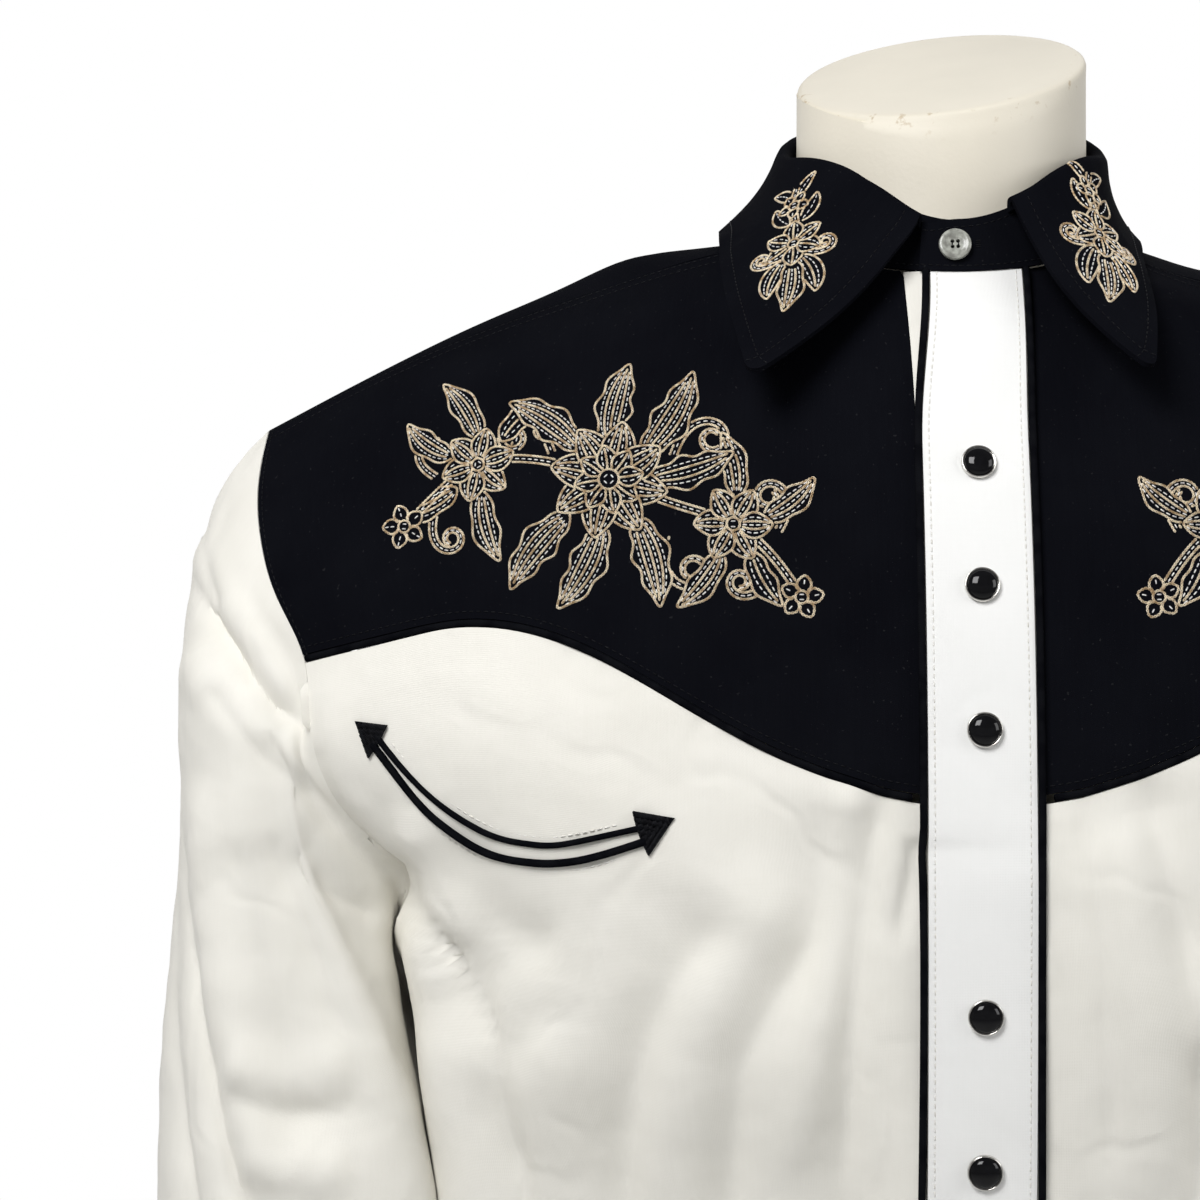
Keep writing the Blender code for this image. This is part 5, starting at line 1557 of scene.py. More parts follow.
# ---- collar ------------------------------------------------------------------------------------
@dataclass
class Collar:
    """The band, whose outer end laps over the inner one, and the fall folded over it."""

    body: Body
    band_start: float = math.radians(-12)
    band_end: float = math.radians(375)
    band_lap: float = 0.0025
    seam_gap: float = -0.0004
    lean: float = 0.30
    end_lower: float = 0.003
    leaf_corners: tuple[float, float] = (16.5, 347.5)
    belly: float = -0.003
    rest: float = 0.0026
    leaf_bow: float = 0.0040
    point_r: float = 0.0085
    band_columns: int = 230
    band_rows: int = 9
    fall_columns: int = 250
    button_x: float = -0.0043
    button_z: float = 1.0272
    # angle, x, y, z, drop
    edge: Table = (
        (16.5, 0.0592, -0.1130, 0.9775, 0.001),
        (40, 0.0632, -0.0850, 1.0010, 0.000),
        (60, 0.0645, -0.0550, 1.0190, 0.000),
        (90, 0.0690, 0.0000, 1.0375, 0.000),
        (130, 0.0560, 0.0470, 1.0440, 0.000),
        (180, -0.0030, 0.0775, 1.0475, 0.000),
        (230, -0.0640, 0.0470, 1.0450, 0.000),
        (270, -0.0860, 0.0000, 1.0410, 0.000),
        (300, -0.0862, -0.0450, 1.0245, 0.000),
        (316, -0.0848, -0.0680, 1.0105, 0.000),
        (332, -0.0815, -0.0920, 0.9940, 0.001),
        (347.5, -0.0778, -0.1140, 0.9765, 0.005),
    )
    # out, up
    roll: Table = ((0.0000, 0.0012), (0.0004, 0.0026), (0.0014, 0.0032), (0.0024, 0.0020))
    leaf_rows: int = 5
    leaf_steps: int = 8
    band: Sheet | None = None
    fall: Sheet | None = None

    def lap(self, angle: float) -> float:
        """How far the band stands out at this angle, to pass over its own inner end."""
        return self.band_lap * (1 - float(ease(angle, math.radians(22), math.radians(60))))

    def build(self) -> None:
        """Makes the band and the fall."""
        up = np.array([0.0, 0.0, 1.0])
        rows = []
        for share in np.linspace(0, 1, self.band_rows):
            row = []
            for a in np.linspace(self.band_start, self.band_end, self.band_columns):
                foot = NECKLINE.point(a, NECK_CENTRE_X) + up * self.seam_gap
                lower = self.end_lower * (1 - float(ease(a, self.band_start, 0.0)))
                top = BAND_TOP.point(a, NECK_CENTRE_X) - up * lower
                row.append(foot + (top - foot) * share + NECKLINE.outward(a, NECK_CENTRE_X) * self.lap(a))
            rows.append(row)
        band = np.array(rows)
        self.band = Sheet(band, grid_normals(band, 1))
        CUTS["collar_stand"].dress(self.band, DOUBLE_CLOTH, BLACK, "black_shirting")
        coarse = self.fall_lines()
        knots = lengths_along(coarse[:, self.fall_columns // 8])
        steps = [2] * len(self.roll) + [self.leaf_steps] * self.leaf_rows
        at = stepped(knots, steps)
        columns = range(coarse.shape[1])
        fine = np.array([[smooth(at, knots, coarse[:, c, k]) for k in range(3)] for c in columns])
        fine = self.rounded(fine.transpose(2, 0, 1))
        self.fall = Sheet(fine, grid_normals(fine, -1))
        CUTS["collar_fall"].dress(self.fall, DOUBLE_CLOTH, BLACK, "black_shirting")

    def rounded(self, grid: Array) -> Array:
        """The fall with its two points rounded off."""
        source, grid = grid, grid.copy()
        rows, columns = source.shape[:2]
        for first in (True, False):
            order = slice(None) if first else slice(None, None, -1)
            part, made = source[::-1, order], grid[::-1, order]
            across = np.cumsum(np.linalg.norm(np.diff(part[:40, :60], axis=1), axis=2), axis=1)
            up = np.cumsum(np.linalg.norm(np.diff(part[:40, :60], axis=0), axis=2), axis=0)
            for r in range(min(40, rows - 1)):
                for c in range(min(59, columns - 1)):
                    a = across[r, c - 1] if c else 0.0
                    b = up[r - 1, c] if r else 0.0
                    if a < self.point_r and b < self.point_r:
                        x, y = 1 - a / self.point_r, 1 - b / self.point_r
                        move = (x - x * math.sqrt(1 - y * y / 2), y - y * math.sqrt(1 - x * x / 2))
                        along_row = unit(part[r, c + 1] - part[r, c])
                        along_column = unit(part[r + 1, c] - part[r, c])
                        made[r, c] += (along_row * move[0] + along_column * move[1]) * self.point_r
        return grid

    def fall_lines(self) -> Array:
        """The fall's lines from its root on the band, over the roll and down to its edge."""
        sheets = (*self.body.fronts.values(), self.body.back)
        trees = [sheet.part(slice(self.body.yoke_row, None)).tree(CLOTH) for sheet in sheets]
        spread = np.linspace(-1, 1, self.fall_columns)
        spread = 0.5 + 0.5 * (1.2 * spread - 0.2 * spread**3)
        first, last = self.leaf_corners
        columns = []
        for degrees in first + (last - first) * spread:
            angle = math.radians(degrees)
            out = BAND_TOP.outward(angle, NECK_CENTRE_X)
            drop = float(through(self.edge, degrees, 4))
            outside = float(ease(drop, 0.0, 0.0008)) * (DOUBLE_CLOTH + 2 * GAP) + drop * self.lean
            up = np.array([0.0, 0.0, 1.0])
            clear = DOUBLE_CLOTH + self.lap(angle) + outside
            root = BAND_TOP.point(angle, NECK_CENTRE_X) + out * clear - up * drop
            line = [root] + [root + out * o + up * u for o, u in self.roll]
            start, end = line[-1], np.array([float(through(self.edge, degrees, k)) for k in (1, 2, 3)])
            near_tip = 1 - float(ease(min(degrees - first, last - degrees), 0, 14))
            bow = np.array([1.0 if degrees > 180 else -1.0, 0.0, -0.6]) * self.leaf_bow * near_tip
            for share in np.linspace(0, 1, self.leaf_rows + 1)[1:]:
                p = start + (end - start) * share + (out * self.belly + bow) * math.sin(math.pi * share)
                line.append(self.clear_of(trees, p))
            columns.append(line)
        return np.array(columns).transpose(1, 0, 2)

    def clear_of(self, trees: list[BVHTree], p: Array) -> Array:
        """The point, moved out where it is too near to the yokes, or inside them."""
        place, normal, _, _ = min((t.find_nearest(Vector(p)) for t in trees), key=lambda found: found[3])
        if normal.z < 0:
            normal = -normal
        depth = (Vector(p) - place).dot(normal)
        return np.array(Vector(p) + normal * (self.rest - depth)) if depth < self.rest else p

    def topstitch(self, black: Sewing) -> None:
        """Sews round the leaves, along the band and beside the fold."""
        black.sew(self.fall.inset(Edge.LAST_ROW, 0.0060, DOUBLE_CLOTH))
        for edge in (Edge.FIRST_COLUMN, Edge.LAST_COLUMN):
            line = self.fall.inset(edge, 0.0060, DOUBLE_CLOTH)
            black.sew(line[2 * len(self.roll) :])
        black.sew(self.band.inset(Edge.FIRST_ROW, 0.0020, DOUBLE_CLOTH))
        black.sew(self.band.inset(Edge.LAST_ROW, 0.0030, DOUBLE_CLOTH))


@dataclass
class CollarButton:
    """A four-hole button with a raised rim, and the buttonhole it sits in."""

    collar: Collar
    radius: float = 0.0058
    thickness: float = 0.0024
    hole_r: float = 0.0007
    hole_out: float = 0.0014
    # share of the radius, share of the thickness, from the middle out
    profile: Table = (
        (0.00, 0.72),
        (0.50, 0.72),
        (0.62, 0.78),
        (0.74, 0.97),
        (0.86, 1.00),
        (0.96, 0.86),
        (1.00, 0.55),
        (0.97, 0.20),
        (0.85, 0.00),
        (0.00, 0.00),
    )

    def build(self, black: Sewing) -> None:
        """Makes the button and its buttonhole."""
        tree = self.collar.band.tree(DOUBLE_CLOTH)
        place, normal = seat(tree, self.collar.button_x, self.collar.button_z, GAP)
        bm = bmesh.new()
        points = [bm.verts.new((r * self.radius, 0.0, h * self.thickness)) for r, h in self.profile]
        edges = [bm.edges.new(pair) for pair in zip(points, points[1:])]
        bmesh.ops.spin(bm, geom=points + edges, axis=(0, 0, 1), cent=(0, 0, 0), steps=48, angle=2 * math.pi)
        bmesh.ops.remove_doubles(bm, verts=bm.verts, dist=1e-5)
        bmesh.ops.recalc_face_normals(bm, faces=bm.faces)
        blank = bpy.data.objects.new("button_blank", from_bmesh("button_blank", bm))
        bpy.context.scene.collection.objects.link(blank)
        drills = []
        for i in range(4):
            turn = math.pi / 4 + i * math.pi / 2
            bm = bmesh.new()
            centre = (self.hole_out * math.cos(turn), self.hole_out * math.sin(turn), 0.0)
            bmesh.ops.create_cone(
                bm, cap_ends=True, segments=16, radius1=self.hole_r, radius2=self.hole_r, depth=0.02,
                matrix=Matrix.Translation(centre),
            )
            drill = bpy.data.objects.new(f"drill_{i}", from_bmesh(f"drill_{i}", bm))
            bpy.context.scene.collection.objects.link(drill)
            cut = blank.modifiers.new(f"hole_{i}", "BOOLEAN")
            cut.object, cut.solver = drill, "EXACT"
            drills.append(drill)
        bpy.context.view_layer.update()
        made = bpy.data.meshes.new_from_object(blank.evaluated_get(bpy.context.evaluated_depsgraph_get()))
        made.name = "shell_button"
        for obj in (blank, *drills):
            bpy.data.objects.remove(obj)
        turn = Vector((0.0, 0.0, 1.0)).rotation_difference(normal)
        matrix = Matrix.Translation(place) @ turn.to_matrix().to_4x4()
        made.transform(matrix)
        made.shade_smooth()
        made.set_sharp_from_angle(angle=math.radians(40))
        made.materials.clear()
        new_piece("shell_button", made, [SHELL], ["collar_button"])
        self.sew_on(black, matrix)

    def sew_on(self, black: Sewing, matrix: Matrix) -> None:
        """Sews the button down and works the buttonhole beside it."""
        normal = np.array(matrix.to_3x3() @ Vector((0, 0, 1)))
        for sign in (-1, 1):
            ends = [Vector((sign * 0.0011, y, self.thickness * 0.74)) for y in (-0.0011, 0.0011)]
            line = np.array([[*(matrix @ e), *normal] for e in ends])
            black.sew(along(line, np.linspace(0, 1, 5)))
        tree = self.collar.band.tree(DOUBLE_CLOTH)
        for row in (-0.0011, -0.0004, 0.0004, 0.0011):
            line = []
            for x in np.linspace(0.0035, 0.0098, 14):
                z = self.collar.button_z + row + 0.09 * x
                spot, out = seat(tree, self.collar.button_x + x, z, 0.0001)
                line.append([*spot, *out])
            black.sew(np.array(line))


# ---- sleeves -----------------------------------------------------------------------------------
@dataclass
class Sleeves:
    """Both sleeves with their cuffs. They are worked out for one side, with x counted outwards."""

    body: Body
    clear: float = 0.0024
    drawn_in: float = 0.012
    fold_strength: float = 1.3
    head_rows: tuple[float, ...] = (0.06, 0.14, 0.24, 0.36, 0.50, 0.66, 0.83)
    squareness: tuple[float, float] = (0.90, 0.68)
    flat_side: tuple[float, float] = (0.35, 0.75)
    head_steps: int = 6
    arm_steps: int = 11
    column_steps: int = 9
    seam_blend: int = 16
    left_shift: float = 0.014
    # how far from the armhole, width, height
    seam_dip: Point = (0.008, 0.006, -0.0030)
    dip_fades: tuple[float, float] = (0.875, 0.905)
    # top_x, top_z, under_x, under_z, half_depth, y
    rings: Table = (
        (0.2902, 0.8380, 0.2000, 0.6690, 0.0810, 0.003),
        (0.2912, 0.8080, 0.1985, 0.6480, 0.0805, 0.002),
        (0.2935, 0.7760, 0.1975, 0.6250, 0.0800, 0.000),
        (0.2953, 0.7420, 0.1970, 0.6000, 0.0795, -0.003),
        (0.2960, 0.7040, 0.1970, 0.5730, 0.0785, -0.006),
        (0.2955, 0.6620, 0.1975, 0.5450, 0.0770, -0.009),
        (0.2930, 0.5950, 0.2000, 0.4980, 0.0740, -0.014),
        (0.2900, 0.5300, 0.2040, 0.4530, 0.0695, -0.020),
        (0.2875, 0.4700, 0.2085, 0.4150, 0.0650, -0.025),
        (0.2840, 0.4150, 0.2130, 0.3900, 0.0595, -0.030),
        (0.2800, 0.3700, 0.2200, 0.3690, 0.0540, -0.033),
    )
    # z, x, flat
    inner_side: Table = (
        (0.370, 0.2200, 0.0),
        (0.450, 0.2060, 0.3),
        (0.520, 0.1970, 0.7),
        (0.600, 0.1930, 1.0),
        (0.686, 0.1915, 1.0),
        (0.719, 0.1925, 1.0),
        (0.760, 0.1926, 1.0),
        (0.785, 0.1985, 1.0),
        (0.804, 0.2080, 0.9),
        (0.830, 0.2220, 0.7),
        (0.860, 0.2330, 0.4),
        (0.890, 0.2400, 0.15),
        (0.920, 0.2520, 0.0),
    )
    # how it leaves the armhole: past, out, down
    setting: dict[str, tuple[float, float, float]] = field(
        default_factory=lambda: {
            "top": (1.00, 0.00, 0.47),
            "middle": (0.55, 0.12, 0.45),
            "under": (0.35, 0.50, 0.00),
        }
    )
    front_folds: list[Fold] = field(
        default_factory=lambda: [
            Fold(
                ((0.2960, 0.9160), (0.2785, 0.9020), (0.2585, 0.8770), (0.2470, 0.8630), (0.2160, 0.8440)),
                0.0075, -0.0052, 0.6, 1.2,
            ),
            Fold(((0.2900, 0.9260), (0.2680, 0.9000), (0.2500, 0.8800), (0.2300, 0.8640)), 0.0090, 0.0036),
            Fold(((0.2860, 0.8850), (0.2620, 0.8600), (0.2200, 0.8330)), 0.0100, 0.0032),
            Fold(((0.2880, 0.9360), (0.2780, 0.9160), (0.2680, 0.8960)), 0.0040, -0.0024, power=1.4),
            Fold(((0.2720, 0.8720), (0.2520, 0.8480), (0.2280, 0.8260)), 0.0055, -0.0026, power=1.4),
            Fold(
                ((0.2960, 0.8600), (0.2876, 0.8220), (0.2827, 0.7875),
                 (0.2770, 0.7630), (0.2650, 0.7120), (0.2400, 0.6500)),
                0.0065, -0.0046, 0.6, 1.2,
            ),
            Fold(((0.2780, 0.8400), (0.2730, 0.7900), (0.2620, 0.7400), (0.2460, 0.6900)), 0.0100, 0.0034),
            Fold(
                ((0.2960, 0.8400), (0.2918, 0.8010), (0.2876, 0.7500), (0.2830, 0.7180), (0.2680, 0.6500)),
                0.0045, -0.0036, power=1.3,
            ),
            Fold(((0.2640, 0.8200), (0.2440, 0.7600), (0.2280, 0.7000)), 0.0140, -0.0026, power=1.7),
            Fold(((0.2480, 0.8200), (0.2320, 0.7800), (0.2200, 0.7400)), 0.0060, -0.0020, power=1.4),
            Fold(
                ((0.2640, 0.7290), (0.2538, 0.7230), (0.2400, 0.7190), (0.2267, 0.7200), (0.2080, 0.7240)),
                0.0065, -0.0024, 1.2, 1.7,
            ),
            Fold(((0.2640, 0.7400), (0.2420, 0.7330), (0.2160, 0.7360)), 0.0090, 0.0018),
            Fold(((0.2600, 0.7040), (0.2400, 0.6980), (0.2160, 0.7020)), 0.0080, 0.0026),
            Fold(((0.2760, 0.9000), (0.2640, 0.8860), (0.2540, 0.8680)), 0.0040, -0.0016, power=1.3),
            Fold(((0.2500, 0.8560), (0.2360, 0.8360), (0.2160, 0.8200)), 0.0045, -0.0024, power=1.3),
            Fold(((0.2420, 0.8120), (0.2260, 0.7960), (0.2080, 0.7860)), 0.0050, -0.0020, power=1.3),
            *folds(
                (
                    (0.2880, 0.6500, 0.2150, 0.5900, 0.024, 0.0045),
                    (0.2820, 0.5300, 0.2150, 0.5600, 0.022, 0.0040),
                    (0.2780, 0.4700, 0.2200, 0.4400, 0.022, 0.0035),
                )
            ),
        ]
    )
    back_folds: list[Fold] = field(
        default_factory=lambda: folds(
            (
                (0.2850, 0.8900, 0.2250, 0.8200, 0.022, 0.0040),
                (0.2880, 0.8200, 0.2400, 0.6700, 0.022, 0.0040),
                (0.2880, 0.6300, 0.2150, 0.6000, 0.024, 0.0045),
                (0.2820, 0.5200, 0.2150, 0.5000, 0.022, 0.0040),
            )
        )
    )
    cuff_height: float = 0.062
    cuff_lap: float = 0.0024
    cuff_opening: float = 0.80
    cuff_overlap: float = 0.10
    cuff_columns: int = 150
    cuff_rows: int = 9
    snap_spacing: float = 0.034
    snap_lift: float = 0.0009
    snap_share: float = 26 / 27

    def coarse_loop(self) -> tuple[Array, Array]:
        """The armhole from the shoulder point down the front and up the back, and its normals."""
        front, back = (self.body.half(which, Side.LEFT) for which in (False, True))
        row = self.body.skirt_rows
        down, up = slice(None, row - 1, -1), slice(row + 1, -1)
        normals = [grid_normals(front, 1), grid_normals(back, -1)]
        loop = np.concatenate([front[down, -1], back[up, -1]])
        return loop, np.concatenate([normals[0][down, -1], normals[1][up, -1]])

    def ring_grid(self, turns: Array) -> Array:
        """Rings of the sleeve's inner side, from the upper arm to the cuff, each starting at the top."""
        forward = np.array([0.0, -1.0, 0.0])
        c, s = np.cos(turns), np.sin(turns)
        power = np.where(c > 0, *self.squareness)
        xi = np.sign(c) * abs(c) ** power
        eta = np.sign(s) * abs(s) ** power
        rings = []
        for top_x, top_z, under_x, under_z, half_depth, y in self.rings:
            top, under = np.array([top_x, y, top_z]), np.array([under_x, y, under_z])
            ring = (top + under) / 2 + xi[:, None] * (top - under) / 2 + (eta * half_depth)[:, None] * forward
            side_x, flat = (through(self.inner_side, ring[:, 2], k) for k in (1, 2))
            beside = [self.body.half_width_at(p[1], min(p[2], self.body.chest_z)) + self.clear for p in ring]
            nestled = side_x - self.drawn_in * ease(eta, 0.20, 0.90) * ease(ring[:, 2], 0.70, 0.75)
            ring[:, 0] += flat * ease(-xi, *self.flat_side) * (np.maximum(nestled, beside) - ring[:, 0])
            rings.append(ring)
        return np.array(rings)

    def head(self, start: Array, rings: Array, turns: Array, past: Array, out: Array) -> Array:
        """The sleeve's head, which leaves the armhole as the sleeve is set in.

        Args:
            start: The armhole's points.
            rings: The sleeve's rings.
            turns: The angle of each column.
            past: The directions that go on past the armhole.
            out: The directions out of the cloth there.

        Returns:
            Rows from the armhole to the first ring.
        """
        c, s = np.cos(turns), np.sin(turns)
        shares = {"top": np.maximum(c, 0) ** 2, "middle": s**2, "under": np.maximum(-c, 0) ** 2}
        amounts = sum(shares[k][:, None] * np.array(self.setting[k]) for k in shares)
        leaving = past * amounts[:, :1] + out * amounts[:, 1:2] - np.array([0.0, 0.0, 1.0]) * amounts[:, 2:]
        length = np.linalg.norm(rings[0] - start, axis=1, keepdims=True)
        leaving, arriving = leaving * length, unit(rings[1] - rings[0]) * length
        return np.array(
            [
                start * (2 * t**3 - 3 * t**2 + 1)
                + rings[0] * (3 * t**2 - 2 * t**3)
                + leaving * (t**3 - 2 * t**2 + t)
                + arriving * (t**3 - t**2)
                for t in self.head_rows
            ]
        )

    def beside(self, side: Side) -> list[BVHTree]:
        """Search trees over the front and back that a sleeve hangs beside, with x counted outwards."""
        sheets = (self.body.fronts[side], self.body.back)
        return [Sheet(sheet.points * side.mirror, sheet.normals * side.mirror).tree(0.0) for sheet in sheets]

    def held_off(self, grid: Array, trees: list[BVHTree]) -> Array:
        """The grid, moved out where it is too near to the body.

        Args:
            grid: Rows of points, which are changed.
            trees: What it hangs beside.

        Returns:
            The same grid.
        """
        for row in grid[1:]:
            for p in row:
                found = min((t.find_nearest(Vector(p)) for t in trees), key=lambda f: f[3])
                normal = found[1] if found[1].x > 0 else -found[1]
                off = Vector(p) - found[0]
                depth = off.dot(normal)
                if depth < self.clear and (off - normal * depth).length < 0.001:
                    p += np.array(normal) * (self.clear - depth)
        return grid

    def sheet(self, side: Side) -> Sheet:
        """The sleeve as a fine sheet, still with x counted outwards."""
        loop, loop_normals = self.coarse_loop()
        under = int(np.argmin(loop[:, 2]))
        back_turns = np.linspace(math.pi, 2 * math.pi, len(loop) - under + 1)[1:-1]
        turns = np.concatenate([np.linspace(0, math.pi, under + 1), back_turns])
        rings = self.ring_grid(turns)
        past = unit(np.cross(loop_normals, np.roll(loop, -1, axis=0) - np.roll(loop, 1, axis=0)))
        start = loop + past * GAP / 2
        coarse = np.concatenate([start[None], self.head(start, rings, turns, past, loop_normals), rings])
        trees = self.beside(side)
        coarse = self.held_off(coarse, trees)
        knots = row_places(coarse)
        steps = [self.head_steps] * (len(self.head_rows) + 1) + [self.arm_steps] * (len(self.rings) - 1)
        fine = refined(coarse, knots, steps, self.column_steps, closed=True)
        exact = self.fine_loop(side)
        fade = 1 - ease(np.arange(len(fine)), 0, self.seam_blend)
        fine += (exact - fine[0])[None] * fade[:, None, None]
        grow = ease(np.arange(len(fine)), 0, self.seam_blend)[:, None, None]
        for made, face in ((self.front_folds, -1), (self.back_folds, 1)):
            normals = grid_normals(fine, 1, closed=True)
            shift = self.left_shift if side is Side.LEFT else 0.0
            fine = fine + (folded(fine, normals, made, face, shift, self.fold_strength) - fine) * grow
        reach = np.linalg.norm(np.diff(fine, axis=0), axis=2)
        reach = np.concatenate([np.zeros((1, fine.shape[1])), np.cumsum(reach, axis=0)])
        normals = grid_normals(fine, 1, closed=True)
        front = np.clip(-normals[..., 1] * FACING, 0, 1) * (1 - ease(fine[..., 2], *self.dip_fades))
        fine = fine + normals * (rolled(reach, *self.seam_dip) * front)[..., None]
        rough = Sheet(fine, grid_normals(fine, 1, closed=True), closed=True)
        rough = rough.crumpled(0.0016, 0.042, 20.0 + side.value).crumpled(0.0006, 0.014, 30.0 + side.value)
        fine = self.held_off(fine + (rough.points - fine) * grow, trees)
        normals = grid_normals(fine, 1, closed=True)
        normals[-1, :, 2] = 0.0
        normals[-1] = unit(normals[-1])
        return Sheet(fine, normals, closed=True)

    def fine_loop(self, side: Side) -> Array:
        """The armhole's fine points, one for each of the sleeve's columns."""
        row = self.body.underarm_row
        front = self.body.fronts[side].points[:, -1]
        back = self.body.back.points[:, -1 if side is Side.LEFT else 0]
        loop = np.concatenate([front[: row - 1 : -1], back[row + 1 : -1]]) * side.mirror
        closed = np.vstack([loop, loop[:1]])
        at = np.arange(len(loop) * self.column_steps // self.body.steps) * self.body.steps / self.column_steps
        return np.stack([np.interp(at, np.arange(len(closed)), closed[:, k]) for k in range(3)], axis=1)

    def cuff(self, ring: Array) -> Sheet:
        """An open strip round the sleeve's end, whose last end lies over its first.

        Args:
            ring: The sleeve's last row.

        Returns:
            The cuff, with x counted outwards.
        """
        closed = np.vstack([ring, ring[:1]])
        middle = ring.mean(axis=0)
        rows = []
        for height in np.linspace(0, 1, self.cuff_rows):
            row = []
            for share in np.linspace(0, 1 + self.cuff_overlap, self.cuff_columns):
                p = along(closed, (self.cuff_opening + share) % 1.0)
                out = unit((p - middle) * np.array([1.0, 1.0, 0.0]))
                lift = ease(share, 1 - 2.2 * self.cuff_overlap, 1 - 0.1 * self.cuff_overlap)
                down = np.array([0.0, 0.0, GAP + self.cuff_height * height])
                row.append(p + out * self.cuff_lap * float(lift) - down)
            rows.append(row)
        grid = np.array(rows)
        normals = grid_normals(grid, 1)
        normals[:, :, 2] = 0.0
        return Sheet(grid, unit(normals))

    def build(self, black: Sewing) -> None:
        """Makes the sleeves, cuffs and cuff snaps of both sides."""
        for side in Side:
            made = self.sheet(side)
            mirror = side.mirror
            sleeve = Sheet(made.points * mirror, made.normals * mirror, closed=True)
            CUTS[f"sleeve_{side.label}"].dress(sleeve, CLOTH, WHITE, "white_shirting")
            strip = self.cuff(made.points[-1])
            cuff = Sheet(strip.points * mirror, strip.normals * mirror)
            CUTS[f"cuff_{side.label}"].dress(cuff, DOUBLE_CLOTH, BLACK, "black_shirting")
            for edge in Edge:
                black.sew(cuff.inset(edge, 0.0055, DOUBLE_CLOTH))
            column = round((self.cuff_columns - 1) * self.snap_share)
            row = self.cuff_rows // 2
            normal = Vector(cuff.normals[row, column])
            place = Vector(cuff.points[row, column]) + normal * (DOUBLE_CLOTH + self.snap_lift)
            for position, height in (("upper", 0.5), ("lower", -0.5)):
                shift = Vector((0.0, 0.0, height * self.snap_spacing))
                SnapCap().place(f"cuff_snap_{position}_{side.label}", place + shift, normal)


# ---- pockets -----------------------------------------------------------------------------------
@dataclass
class Pockets:
    """The smile pocket on each front: two cords between satin-stitched arrowheads."""

    body: Body
    lift: float = 0.0008
    points: int = 60
    radii: dict[str, float] = field(default_factory=lambda: {"upper": 0.0011, "lower": 0.0014})
    stitch_off: dict[str, float] = field(default_factory=lambda: {"upper": 0.0026, "lower": -0.0030})
    # x, z
    cords: dict[str, Table] = field(
        default_factory=lambda: {
            "upper": (
                (0.2072, 0.8548),
                (0.1985, 0.8445),
                (0.1876, 0.8340),
                (0.1766, 0.8263),
                (0.1648, 0.8208),
                (0.1539, 0.8188),
                (0.1441, 0.8185),
                (0.1316, 0.8210),
                (0.1136, 0.8253),
            ),
            "lower": (
                (0.2084, 0.8518),
                (0.1986, 0.8396),
                (0.1885, 0.8282),
                (0.1768, 0.8195),
                (0.1650, 0.8141),
                (0.1522, 0.8123),
                (0.1441, 0.8123),
                (0.1316, 0.8145),
                (0.1124, 0.8208),
            ),
        }
    )
    # the point first, then the two barbs
    arrowheads: dict[str, Table] = field(
        default_factory=lambda: {
            "outer": ((0.2149, 0.8595), (0.2031, 0.8584), (0.2100, 0.8469)),
            "inner": ((0.1028, 0.8287), (0.1166, 0.8308), (0.1112, 0.8161)),
        }
    )
    satin_rows: int = 19
    satin_points: int = 7
    satin_start: float = 0.18
    satin_lift: float = 0.0004
    satin_length: float = 0.0024
    satin_pitch: float = 0.0019
    satin_r: float = 0.00042
    padding_lift: float = 0.0002
    foot_bow: float = 0.05

    def line(self, table: Table) -> Array:
        """A smooth line of (x, z) through a table."""
        return curve(table, self.points)

    def build(self, white: Sewing) -> None:
        """Makes both pockets."""
        for side in Side:
            tree = self.body.fronts[side].tree(CLOTH)
            for position, table in self.cords.items():
                radius = self.radii[position]
                flat = self.line(table)
                seats = [seat(tree, side.value * x, z, radius * 0.6) for x, z in flat]
                name = f"pocket_cord_{position}_{side.label}"
                mesh = tube_mesh(name, np.array([p for p, _ in seats]), radius, 8)
                new_piece("piped_" + name, mesh, [CORD], [name])
                away = self.stitch_off[position]
                ahead = unit(np.gradient(flat, axis=0))
                beside = flat + np.stack([-ahead[:, 1], ahead[:, 0]], axis=1) * -away
                white.sew(seated(tree, side, beside[3:-3], 0.0))
            for position, corners in self.arrowheads.items():
                self.arrowhead(tree, side, position, np.array(corners))

    def arrowhead(self, tree: BVHTree, side: Side, position: str, corners: Array) -> None:
        """Fills a triangle with satin stitches that run across it."""
        name = f"satin_arrowhead_{position}_{side.label}"
        sewing = Sewing(name, BLACK_THREAD, self.satin_length, self.satin_pitch, self.satin_r)
        point, first, second = corners
        middle = (first + second) / 2
        foot = middle - (point - middle) * self.foot_bow
        for share in np.linspace(self.satin_start, 1.0, self.satin_rows):
            ends = point + (first - point) * share, point + (second - point) * share
            bow = (foot - middle) * share
            across = np.linspace(0, 1, self.satin_points)[:, None]
            flat = ends[0] + (ends[1] - ends[0]) * across + bow * np.sin(math.pi * across)
            sewing.sew(seated(tree, side, flat, self.lift + self.satin_lift))
        piece = sewing.piece("black_cord")
        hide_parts(f"pocket_arrowhead_{position}_{side.label}")
        seats = [seat(tree, side.value * x, z, 0.0) for x, z in (point, first, foot, second)]
        bm = bmesh.new()
        low = [bm.verts.new(p) for p, _ in seats]
        high = [bm.verts.new(p + n * (self.lift + self.padding_lift)) for p, n in seats]
        bm.faces.new(low)
        bm.faces.new(high)
        for i in range(4):
            n = (i + 1) % 4
            bm.faces.new((low[i], low[n], high[n], high[i]))
        bmesh.ops.recalc_face_normals(bm, faces=bm.faces)
        name = f"padding_arrowhead_{position}_{side.label}"
        new_piece(name, from_bmesh(name, bm), [CORD], [])


